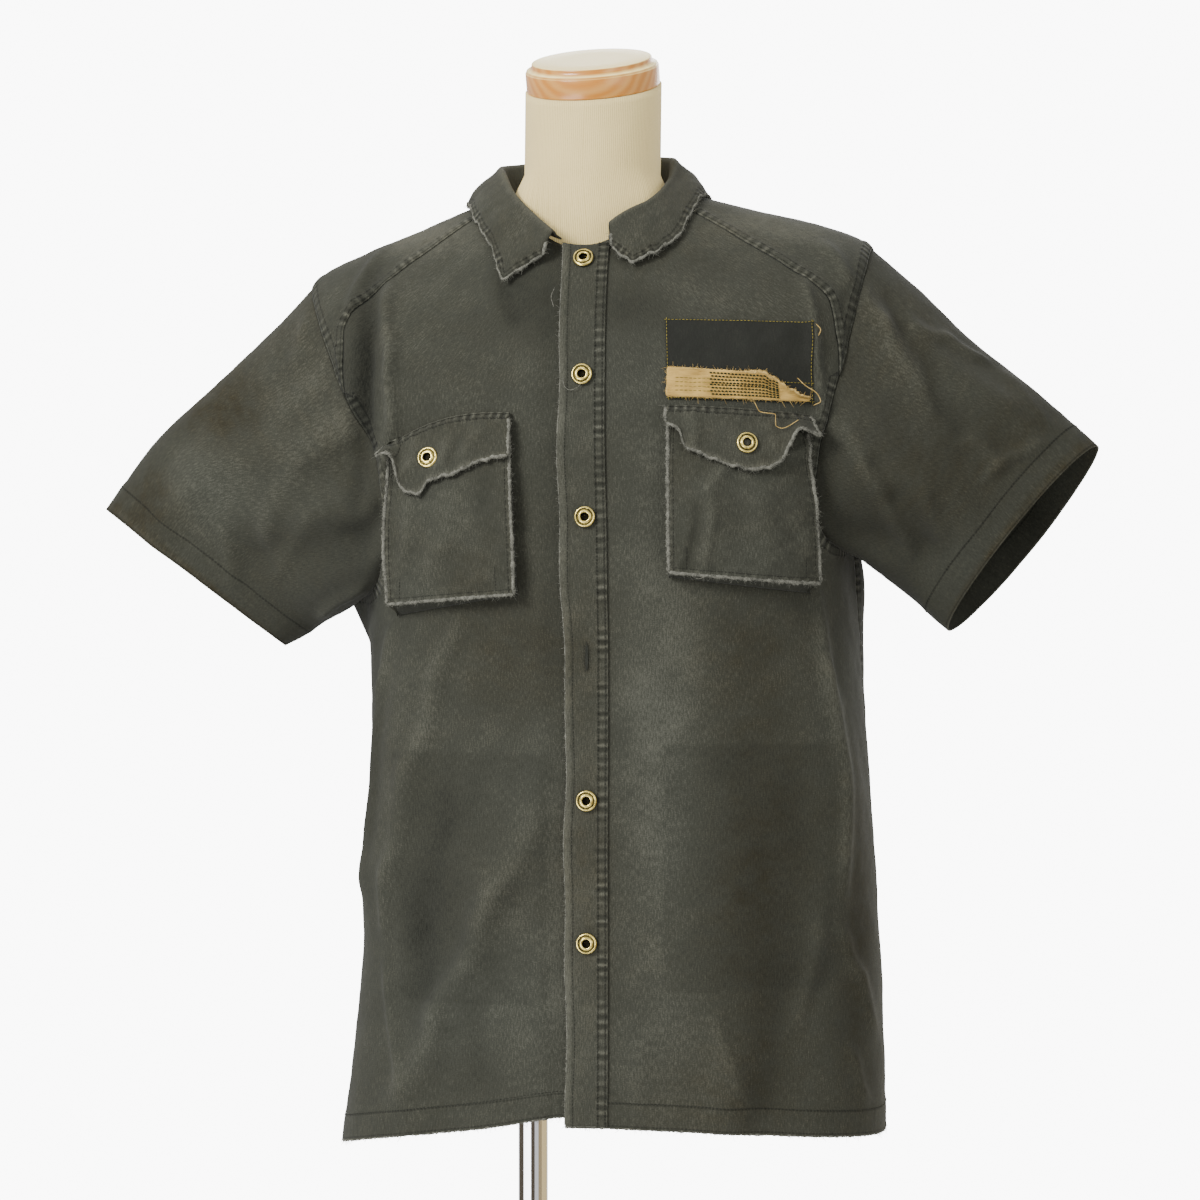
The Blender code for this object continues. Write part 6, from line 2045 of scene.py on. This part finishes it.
@dataclass(frozen=True)
class YarnFinish:
    """Loose or sewn cotton yarn: its colour wanders from one stretch to the next."""
    name: str
    dark: str
    light: str
    patch: float = 0.006

    def build(self) -> bpy.types.Material:
        """Make the material, in Object coordinates."""
        material, tree, shader = new_material(self.name)
        place = add(tree, "TexCoord").outputs["Object"]
        noise = add(tree, "TexNoise", {"Vector": place, "Scale": 1 / self.patch, "Detail": 3.0,
                                       "Roughness": 0.7})
        fine = add(tree, "TexNoise", {"Vector": place, "Scale": 1800.0, "Detail": 1.0})
        mixed = add(tree, "Math", {0: noise, 1: fine}, operation="ADD")
        halved = add(tree, "Math", {0: mixed, 1: 1.6, 2: -1.1},
                     operation="MULTIPLY_ADD", use_clamp=True)
        shade = add(tree, "ValToRGB", {"Fac": halved},
                    stops=((0.0, self.dark), (1.0, self.light)))
        bump = add(tree, "Bump", {"Height": fine, "Strength": 0.5, "Distance": 0.0003})
        drive(shader, {"Base Color": shade, "Normal": bump})
        shader.inputs["Roughness"].default_value = 0.95
        shader.inputs["Specular IOR Level"].default_value = 0.1
        return material


@dataclass(frozen=True)
class TapeFinish:
    """Woven beige cotton tape, yellowed and grubby in patches."""
    name: str = "Beige woven cotton tape"
    dark: str = "#5e4517"
    light: str = "#c9a65e"
    yarn: float = 0.0012

    def build(self) -> bpy.types.Material:
        """Make the material, in the tape's UV map."""
        material, tree, shader = new_material(self.name)
        fade = add(tree, "Attribute", attribute_name="fade").outputs["Fac"]
        flat = add(tree, "UVMap", uv_map="UVMap")
        long_yarns = add(tree, "Mapping", {"Vector": flat,
                                           "Scale": (1 / 0.010, 1 / self.yarn, 1.0)})
        yarns = add(tree, "TexNoise", {"Vector": long_yarns, "Scale": 1.0, "Detail": 3.0,
                                       "Roughness": 0.7})
        lightness = add(tree, "Math", {0: yarns, 1: 0.9, 2: fade}, operation="MULTIPLY_ADD")
        centred = add(tree, "Math", {0: lightness, 1: 0.40}, operation="SUBTRACT", use_clamp=True)
        shade = add(tree, "ValToRGB", {"Fac": centred},
                    stops=((0.0, self.dark), (1.0, self.light)))
        bump = add(tree, "Bump", {"Height": yarns, "Strength": 0.6, "Distance": 0.0005})
        drive(shader, {"Base Color": shade, "Normal": bump})
        shader.inputs["Roughness"].default_value = 0.9
        shader.inputs["Specular IOR Level"].default_value = 0.15
        return material


@dataclass(frozen=True)
class BrassFinish:
    """Stamped brass, bright on its rims, tarnished where a thumb doesn't reach and painted black in
    its hole as shade.
    """
    name: str = "Tarnished stamped brass"
    bright: str = "#dcc878"
    dull: str = "#4c4320"
    # colour of heavy tarnish and of the hole's painted shade
    black: str = "#14120c"
    spots: float = 0.0016

    def build(self) -> bpy.types.Material:
        """Make the material, in Object coordinates and by how tarnished the turned shape is, with
        its hole painted dark as shade.
        """
        material, tree, shader = new_material(self.name)
        place = add(tree, "TexCoord").outputs["Object"]
        hollow_tarnish_and_shade = add(tree, "Attribute", attribute_name="tarnish_and_shade").outputs["Fac"]
        specks = add(tree, "TexNoise", {"Vector": place, "Scale": 1 / self.spots, "Detail": 3.0,
                                        "Roughness": 0.7})
        spread = add(tree, "Math", {0: specks, 1: 1.1, 2: -0.55}, operation="MULTIPLY_ADD")
        tarnish_specks_and_shade = add(tree, "Math", {0: spread, 1: hollow_tarnish_and_shade}, operation="ADD", use_clamp=True)
        shade = add(tree, "ValToRGB", {"Fac": tarnish_specks_and_shade},
                    stops=((0.10, self.bright), (0.92, self.black), (0.60, self.dull)))
        rough = add(tree, "MapRange", {"Value": tarnish_specks_and_shade, "To Min": 0.24, "To Max": 0.55})
        bump = add(tree, "Bump", {"Height": specks, "Strength": 0.3, "Distance": 0.0003})
        drive(shader, {"Base Color": shade, "Roughness": rough, "Normal": bump})
        shader.inputs["Metallic"].default_value = 1.0
        return material


@dataclass(frozen=True)
class RibKnitFinish:
    """Cream rib-knit cover: fine upright ribs with painted shade in their grooves, matt, a little
    grubby.
    """
    name: str = "Cream rib-knit cotton"
    # colour of the grooves between ribs, darkened as painted shade
    groove: str = "#c0a86a"
    rib: str = "#e8d294"
    pitch: float = 0.0022        # ribs are 1.6 mm apart, drawn coarser so that they show

    def build(self) -> bpy.types.Material:
        """Make the material, in the cover's UV map, in metres."""
        material, tree, shader = new_material(self.name)
        flat = add(tree, "UVMap", uv_map="UVMap")
        ribs = add(tree, "TexWave", {"Vector": flat, "Scale": BAND_SCALE / self.pitch,
                                     "Distortion": 0.5, "Detail": 1.0},
                   wave_type="BANDS", bands_direction="X")
        courses = add(tree, "TexNoise", {"Vector": flat, "Scale": 700.0, "Detail": 2.0})
        clouds = add(tree, "TexNoise", {"Vector": flat, "Scale": 24.0, "Detail": 3.0})
        both = add(tree, "Math", {0: courses, 1: 0.7, 2: ribs.outputs["Fac"]},
                   operation="MULTIPLY_ADD")
        toned = add(tree, "Math", {0: clouds, 1: 0.5, 2: both}, operation="MULTIPLY_ADD")
        spread = add(tree, "MapRange", {"Value": toned, "From Min": 0.3, "From Max": 1.3})
        shade = add(tree, "ValToRGB", {"Fac": spread},
                    stops=((0.0, self.groove), (0.75, self.rib)))
        bump = add(tree, "Bump", {"Height": both, "Strength": 0.35, "Distance": 0.0006})
        drive(shader, {"Base Color": shade, "Normal": bump})
        shader.inputs["Roughness"].default_value = 0.95
        shader.inputs["Specular IOR Level"].default_value = 0.2
        shader.inputs["Sheen Weight"].default_value = 0.15
        return material


@dataclass(frozen=True)
class MapleFinish:
    """Turned maple under amber varnish: straight grain, painted lighter on its upward face and
    darker round its band, as painted light and shade.
    """
    name: str = "Varnished turned maple"
    # grain runs between these; the band is drawn near dark as painted shade, the top near light as
    # painted light
    dark: str = "#bb7208"
    light: str = "#ffe794"
    band: float = 0.007

    def build(self, tilt: tuple[float, float, float]) -> bpy.types.Material:
        """Make the material.

        Args:
            tilt: turn of the board that the cap was cut from.
        Returns:
            The material, in Object coordinates.
        """
        material, tree, shader = new_material(self.name)
        place = add(tree, "TexCoord").outputs["Object"]
        board = add(tree, "Mapping", {"Vector": place, "Rotation": tilt, "Scale": (0.12, 1.0, 1.0)})
        grain = add(tree, "TexWave", {"Vector": board, "Scale": BAND_SCALE / self.band,
                                      "Distortion": 2.6, "Detail": 3.0, "Detail Scale": 1.2},
                    wave_type="BANDS", bands_direction="Y")
        pores = add(tree, "TexNoise", {"Vector": board, "Scale": 900.0, "Detail": 3.0})
        fine = add(tree, "Math", {0: pores, 1: 0.5, 2: grain.outputs["Fac"]},
                   operation="MULTIPLY_ADD")
        # Painted light: the more a face looks up, the lighter it is drawn.
        facing = add(tree, "NewGeometry").outputs["Normal"]
        up = add(tree, "SeparateXYZ", {0: facing}).outputs["Z"]
        top = add(tree, "MapRange", {"Value": up, "From Min": 0.2, "From Max": 0.9, "To Min": 0.0,
                                     "To Max": 0.95})
        toned = add(tree, "Math", {0: fine, 1: 0.13, 2: top}, operation="MULTIPLY_ADD")
        shade = add(tree, "ValToRGB", {"Fac": toned}, stops=((0.0, self.dark), (1.0, self.light)))
        bump = add(tree, "Bump", {"Height": pores, "Strength": 0.05, "Distance": 0.0002})
        drive(shader, {"Base Color": shade, "Normal": bump})
        shader.inputs["Roughness"].default_value = 0.32
        shader.inputs["Coat Weight"].default_value = 0.35
        shader.inputs["Coat Roughness"].default_value = 0.18
        return material


@dataclass(frozen=True)
class ChromeFinish:
    """Chromed steel tube, with faint wipe marks along it."""
    name: str = "Chrome-plated steel tube"
    colour: str = "#dcdcde"

    def build(self) -> bpy.types.Material:
        """Make the material, in Object coordinates."""
        material, tree, shader = new_material(self.name)
        place = add(tree, "TexCoord").outputs["Object"]
        along = add(tree, "Mapping", {"Vector": place, "Scale": (300.0, 300.0, 8.0)})
        wiped = add(tree, "TexNoise", {"Vector": along, "Scale": 1.0, "Detail": 3.0})
        rough = add(tree, "MapRange", {"Value": wiped, "To Min": 0.05, "To Max": 0.14})
        drive(shader, {"Roughness": rough})
        shader.inputs["Base Color"].default_value = linear(self.colour)
        shader.inputs["Metallic"].default_value = 1.0
        return material


@dataclass(frozen=True)
class PaintedSteelFinish:
    """Stamped steel foot under off-white powder coat: an even, fine orange peel."""
    name: str = "Off-white powder-coated steel"
    colour: str = "#dedbd2"
    shaded: str = "#cfcbc0"
    peel: float = 0.0022

    def build(self) -> bpy.types.Material:
        """Make the material, in Object coordinates."""
        material, tree, shader = new_material(self.name)
        place = add(tree, "TexCoord").outputs["Object"]
        clouds = add(tree, "TexNoise", {"Vector": place, "Scale": 18.0, "Detail": 3.0})
        shade = add(tree, "ValToRGB", {"Fac": clouds},
                    stops=((0.3, self.shaded), (0.7, self.colour)))
        peel = add(tree, "TexNoise", {"Vector": place, "Scale": 1 / self.peel, "Detail": 1.0})
        bump = add(tree, "Bump", {"Height": peel, "Strength": 0.12, "Distance": 0.0004})
        drive(shader, {"Base Color": shade, "Normal": bump})
        shader.inputs["Roughness"].default_value = 0.42
        return material


FADED_TWILL = TwillFinish("Faded charcoal cotton twill", "#161713", "#373831", "#6d6d62", "#75602a")
UNFADED_TWILL = TwillFinish("Unfaded black cotton twill", "#121311", "#272824", "#45453f",
                            "#5a4a34", grains=0.30)
FRAYED_YARN = YarnFinish("Frayed grey cotton yarn", "#232420", "#7b7a70")
DARK_THREAD = YarnFinish("Black cotton sewing thread", "#151614", "#33342e", 0.02)
OLIVE_THREAD = YarnFinish("Olive polyester thread", "#4a431c", "#94853f", 0.01)
GREEN_THREAD = YarnFinish("Dark green darning thread", "#0f130c", "#2b3420", 0.01)
BEIGE_YARN = YarnFinish("Torn beige cotton yarn", "#7d6330", "#cdb070")


# --- the shirt, put together ----------------------------------------------------------------------
CUTS = {
    "front_left": Cut(0.335, 0.840, 0.2185, ("form_cover",)),
    "front_right": Cut(0.320, 0.840, 0.2085, ("form_cover",)),
    "yoke_left": Cut(0.230, 0.165, 0.0260, ("form_cover",)),
    "yoke_right": Cut(0.230, 0.165, 0.0270, ("form_cover",)),
    "back": Cut(0.605, 0.860, 0.4340, ("form_cover",)),
    "sleeve_left": Cut(0.620, 0.250, 0.1070, ("front_left_cloth", "back_cloth"), "hung"),
    "sleeve_right": Cut(0.620, 0.260, 0.1155, ("front_right_cloth", "back_cloth"), "hung"),
    "collar": Cut(0.480, 0.095, 0.0370, ("form_cover", "yoke_left_cloth"), "folded"),
    "placket": Cut(0.036, 0.760, 0.0272, ("front_left_cloth",), "stretched"),
    "pocket_left": Cut(0.145, 0.160, 0.0211, ("front_left_cloth",), "stretched"),
    "pocket_right": Cut(0.145, 0.155, 0.0199, ("front_right_cloth",), "stretched"),
    "flap_left": Cut(0.118, 0.050, 0.0048, ("front_left_cloth",), "hung"),
    "flap_right": Cut(0.112, 0.057, 0.0051, ("front_right_cloth",), "hung"),
    "chest_patch": Cut(0.121, 0.070, 0.0083, ("front_left_cloth",), "stretched"),
    "label_tape": Cut(0.112, 0.024, 0.0023, ("chest_patch_cloth",), "stretched"),
}


@dataclass
class WorkShirt:
    """The whole shirt: its sheets first, then the sewing and fraying that lie on them."""
    body: ShirtBody

    def __post_init__(self) -> None:
        self.panels = BodyPanels(self.body)
        self.flap_makers = {side: Flap(self.panels, side, **FLAP_SHAPES[side]) for side in Side}
        self.pocket_makers = {side: Pocket(self.panels, side, POCKET_CORNERS[side])
                              for side in Side}

    def cut_sheets(self) -> dict[str, Sheet]:
        """Every sheet of cloth, by the name of its solid."""
        sheets = {f"front_{side.value}": sheet for side, sheet in self.panels.fronts().items()}
        sheets |= {f"yoke_{side.value}": sheet for side, sheet in self.panels.yokes().items()}
        sheets["back"] = self.panels.back()
        for side in Side:
            sheets[f"sleeve_{side.value}"] = Sleeve(self.panels, side).sheet()
            sheets[f"pocket_{side.value}"] = self.pocket_makers[side].sheet()
            sheets[f"flap_{side.value}"] = self.flap_makers[side].sheet()
        sheets["collar"] = Collar(self.panels).sheet()
        sheets["placket"] = Placket(self.panels).sheet()
        sheets["chest_patch"] = ChestPatch(self.panels).sheet()
        sheets["label_tape"] = LabelTape(self.panels).sheet()
        return sheets

    def build(self) -> None:
        """Make every piece of the shirt."""
        sheets = self.cut_sheets()
        twill, unfaded, tape = FADED_TWILL.build(), UNFADED_TWILL.build(), TapeFinish().build()
        special = {"chest_patch": (unfaded, "unfaded_twill"), "label_tape": (tape, "beige_tape")}
        for name, sheet in sheets.items():
            material, slot = special.get(name, (twill, "charcoal_twill"))
            sheet.build(name, material, slot, CUTS[name])
        self.sew(sheets)
        self.fray(sheets)
        Buttons(self.panels).build(self.flap_makers, BrassFinish().build())
        hang_threads("loose_dark_threads", DARK_THREADS, self.body, FRAYED_YARN.build())
        hang_threads("loose_beige_threads", BEIGE_THREADS, self.body, BEIGE_YARN.build())

    def sew(self, sheets: dict[str, Sheet]) -> None:
        """Machine stitching on seams and hems, darning on the tape and the empty buttonhole."""
        black = Stitching("black_stitching", "charcoal_twill")
        rows: list[tuple[str, Edge, float]] = [
            ("placket", Edge.FIRST, 0.0062), ("placket", Edge.LAST, 0.0016),
            ("placket", Edge.LAST, 0.0084), ("collar", Edge.FOOT, 0.0062),
            ("back", Edge.FOOT, 0.0215)]
        for side in ("left", "right"):
            rows += [(f"front_{side}", Edge.FOOT, 0.0215), (f"flap_{side}", Edge.TOP, 0.0022),
                     (f"flap_{side}", Edge.TOP, 0.0090), (f"sleeve_{side}", Edge.FOOT, 0.0245)]
        for name, edge, distance in rows:
            black.row(*sheets[name].beside(edge, distance))
        for side in Side:
            self.sew_pocket(black, side, sheets[f"pocket_{side.value}"])
        hole = Buttonhole(self.panels)
        dark = DARK_THREAD.build()
        path, up = hole.outline()
        black.row(np.vstack([path, path[:1]]), np.vstack([up, up[:1]]))
        black.build(dark)
        hole.slit(dark)
        closing = Stitching("side_seam_thread", "charcoal_twill", length=0.0066, radius=0.0006)
        for side in Side:
            s, t = self.panels.side_rows[side].T
            closing.row(*self.body.at(s, t, -CLOTH / 2), sunk=1.0)
        closing.build(dark)
        olive = Stitching("patch_outline_stitching", "charcoal_twill", radius=0.00034)
        for edge in Edge:
            olive.row(*sheets["chest_patch"].beside(edge, 0.0008))
        olive.row(*sheets["chest_patch"].beside(Edge.FOOT, 0.0160))
        olive.build(OLIVE_THREAD.build())
        pale = Stitching("tape_running_stitches", "beige_tape", pitch=0.0036, length=0.0032,
                         radius=0.0003)
        for distance in (0.0050, 0.0085, 0.0120, 0.0155):
            pale.row(*sheets["label_tape"].beside(Edge.FOOT, distance, 0.08, 0.31))
        pale.build(OLIVE_THREAD.build())
        darning = Stitching("tape_darning", "beige_tape", length=0.0025, radius=0.00075)
        for path, up in LabelTape(self.panels).darning(sheets["label_tape"]):
            darning.row(path, up)
        darning.build(GREEN_THREAD.build())

    def sew_pocket(self, stitching: Stitching, side: Side, sheet: Sheet) -> None:
        """Stitching inside a pocket face's raw edge, and its corner squares."""
        maker = self.pocket_makers[side]
        n = maker.side_cells
        kept = slice(maker.face_rows + 1), slice(n, -n)
        face = Sheet(sheet.points[kept], sheet.normals[kept], sheet.uv[:1], sheet.fade[:1],
                     sheet.tint[:1])
        for edge in (Edge.FIRST, Edge.LAST, Edge.FOOT):
            stitching.row(*face.beside(edge, 0.0042))
        for edge in (Edge.FIRST, Edge.LAST):
            stitching.row(*face.beside(edge, 0.0150, 0.84, 0.97))

    def fray(self, sheets: dict[str, Sheet]) -> None:
        """Raw edges of the collar, placket, hem, flaps and pockets, and of the torn tape."""
        leaf = 0.62
        grey = [sheets["collar"].border(Edge.FOOT), sheets["collar"].border(Edge.FIRST, leaf),
                sheets["collar"].border(Edge.LAST, leaf)]
        for side in Side:
            flap = sheets[f"flap_{side.value}"]
            grey += [flap.border(Edge.FOOT), flap.border(Edge.FIRST, 0.15),
                     flap.border(Edge.LAST, 0.15)]
            pocket = sheets[f"pocket_{side.value}"]
            grey += self.pocket_makers[side].face_edges(pocket)
        yarn = FRAYED_YARN.build()
        FrayedEdge("frayed_edges").build(grey, yarn)
        strip = [sheets["placket"].border(Edge.FIRST), sheets["placket"].border(Edge.FOOT)]
        FrayedEdge("frayed_placket", radius=0.0008, density=1300.0, reach=0.0020,
                   seed=7).build(strip, yarn)
        hems = [sheets[name].border(Edge.FOOT) for name in ("front_left", "front_right", "back")]
        FrayedEdge("frayed_hem", radius=0.0010, density=900.0, seed=9).build(hems, yarn)
        torn = [sheets["label_tape"].border(edge) for edge in Edge]
        beige = BEIGE_YARN.build()
        FrayedEdge("frayed_tape", "beige_tape", radius=0.0007, density=900.0, reach=0.0028,
                   seed=13).build(torn, beige)
        FrayedEdge("rolled_tear", "beige_tape", radius=0.0017, density=1500.0, reach=0.0030,
                   seed=17).build([sheets["label_tape"].border(Edge.TOP, 0.56)], beige)


# --- studio ---------------------------------------------------------------------------------------
@dataclass
class Studio:
    """Pale floor, near-white backdrop, broad soft lights and the photograph's camera."""
    target: tuple[float, float, float] = (0.0034, 0.0, 0.878)
    distance: float = 3.0
    azimuth: float = math.radians(8.0)
    elevation: float = math.radians(1.4)
    lens: float = 104.65
    floor_radius: float = 1.15

    def build(self) -> None:
        """Set the camera, lights, floor and surroundings."""
        target = Vector(self.target) + Vector(PLACE)
        level = math.cos(self.elevation) * self.distance
        spot = target + Vector((math.sin(self.azimuth) * level, -math.cos(self.azimuth) * level,
                                math.sin(self.elevation) * self.distance))
        data = bpy.data.cameras.new("camera")
        data.lens, data.sensor_width = self.lens, 36.0
        bpy.context.scene.camera = self.aimed("camera", data, spot, target)
        self.soft_light("key", (-1.45, -2.30, 2.2), 1.0, 109.0, target)
        self.soft_light("fill", (2.1, -2.0, 1.5), 1.8, 20.0, target)
        self.soft_light("top", (-0.3, 0.3, 3.0), 1.6, 22.0, target)
        self.soft_light("rear", (0.4, 2.6, 1.7), 1.8, 44.0, target)
        self.add_floor()
        self.add_cards()
        self.set_world()

    def soft_light(self, name: str, place: tuple[float, float, float], size: float, power: float,
                   target: Vector) -> None:
        """Square area light that faces the shirt."""
        data = bpy.data.lights.new(name, "AREA")
        data.shape, data.size, data.energy = "SQUARE", size, power
        self.aimed(name, data, Vector(place), target)

    @staticmethod
    def aimed(name: str, data: bpy.types.ID, place: Vector, target: Vector) -> bpy.types.Object:
        """Object set down at a place, facing the target."""
        item = set_down(name, data)
        item.location = place
        item.rotation_euler = (target - place).to_track_quat("-Z", "Y").to_euler()
        return item

    def add_floor(self) -> None:
        """Round pale floor, below the photograph's frame."""
        bm = bmesh.new()
        bmesh.ops.create_circle(bm, cap_ends=True, segments=96, radius=self.floor_radius)
        material, tree, shader = new_material("Pale matt studio floor")
        place = add(tree, "TexCoord").outputs["Object"]
        clouds = add(tree, "TexNoise", {"Vector": place, "Scale": 2.0, "Detail": 2.0})
        shade = add(tree, "ValToRGB", {"Fac": clouds}, stops=((0.3, "#ebebe9"), (0.7, "#f1f1ef")))
        drive(shader, {"Base Color": shade})
        shader.inputs["Roughness"].default_value = 0.8
        floor = mesh_object("floor", bm, material)
        floor.location = (0, 0, -0.0005)

    def add_cards(self) -> None:
        """Standing cards that only mirrors see, so that the chrome shows a studio's bands."""
        for name, start, end, colour, glow in (
                ("near", -20, 20, "#6a5c48", 0.6), ("left", -130, -68, "#6e634f", 0.6),
                ("white", -66, -23, "#ffffff", 9.0), ("right", 28, 60, "#b9a47a", 1.0),
                ("far_right", 60, 150, "#d8c08a", 1.5)):
            turns = self.azimuth - math.pi / 2 + np.radians(np.linspace(start, end, 13))
            ring = np.stack([np.cos(turns), np.sin(turns), 0 * turns], axis=-1)
            rows = np.stack([ring + (0, 0, 0.6), ring]) + PLACE
            bm = shaped_grid(rows, outward=-np.stack([ring, ring]))
            material, tree, shader = new_material(f"Studio card {name}")
            place = add(tree, "TexCoord").outputs["Object"]
            clouds = add(tree, "TexNoise", {"Vector": place, "Scale": 3.0})
            uneven = add(tree, "MapRange", {"Value": clouds, "To Min": glow * 0.9,
                                            "To Max": glow * 1.1})
            drive(shader, {"Emission Strength": uneven})
            shader.inputs["Emission Color"].default_value = linear(colour)
            shader.inputs["Base Color"].default_value = linear("#101010")
            shader.inputs["Roughness"].default_value = 0.9
            card = mesh_object(f"card_{name}", bm, material)
            for ray in ("camera", "diffuse", "shadow", "transmission"):
                setattr(card, f"visible_{ray}", False)

    def set_world(self) -> None:
        """White to the camera, dimmer as a light."""
        world = bpy.data.worlds.new("studio")
        bpy.context.scene.world = world
        world.use_nodes = True
        tree = world.node_tree
        seen = add(tree, "LightPath").outputs["Is Camera Ray"]
        strength = add(tree, "MapRange", {"Value": seen, "To Min": 1.00, "To Max": 9.5})
        sky = tree.nodes["Background"]
        sky.inputs["Color"].default_value = (1.0, 1.0, 1.0, 1.0)
        tree.links.new(strength.outputs[0], sky.inputs["Strength"])


def dress_node(name: str, material: bpy.types.Material) -> None:
    """Give a solid that stays in view its finish."""
    item = bpy.data.objects[name]
    item.data.materials.clear()
    item.data.materials.append(material)


def main() -> None:
    """Build the shirt, the form it hangs on, the stand and the studio."""
    logging.basicConfig(level=logging.INFO, format="%(message)s")
    body = ShirtBody()
    Studio().build()
    WorkShirt(body).build()
    form = DressForm(body)
    form.build(RibKnitFinish().build(), MapleFinish().build((form.cap_lean, form.cap_roll, 0.35)))
    dress_node("pole", ChromeFinish().build())
    dress_node("base", PaintedSteelFinish().build())


if __name__ == "__main__":
    main()
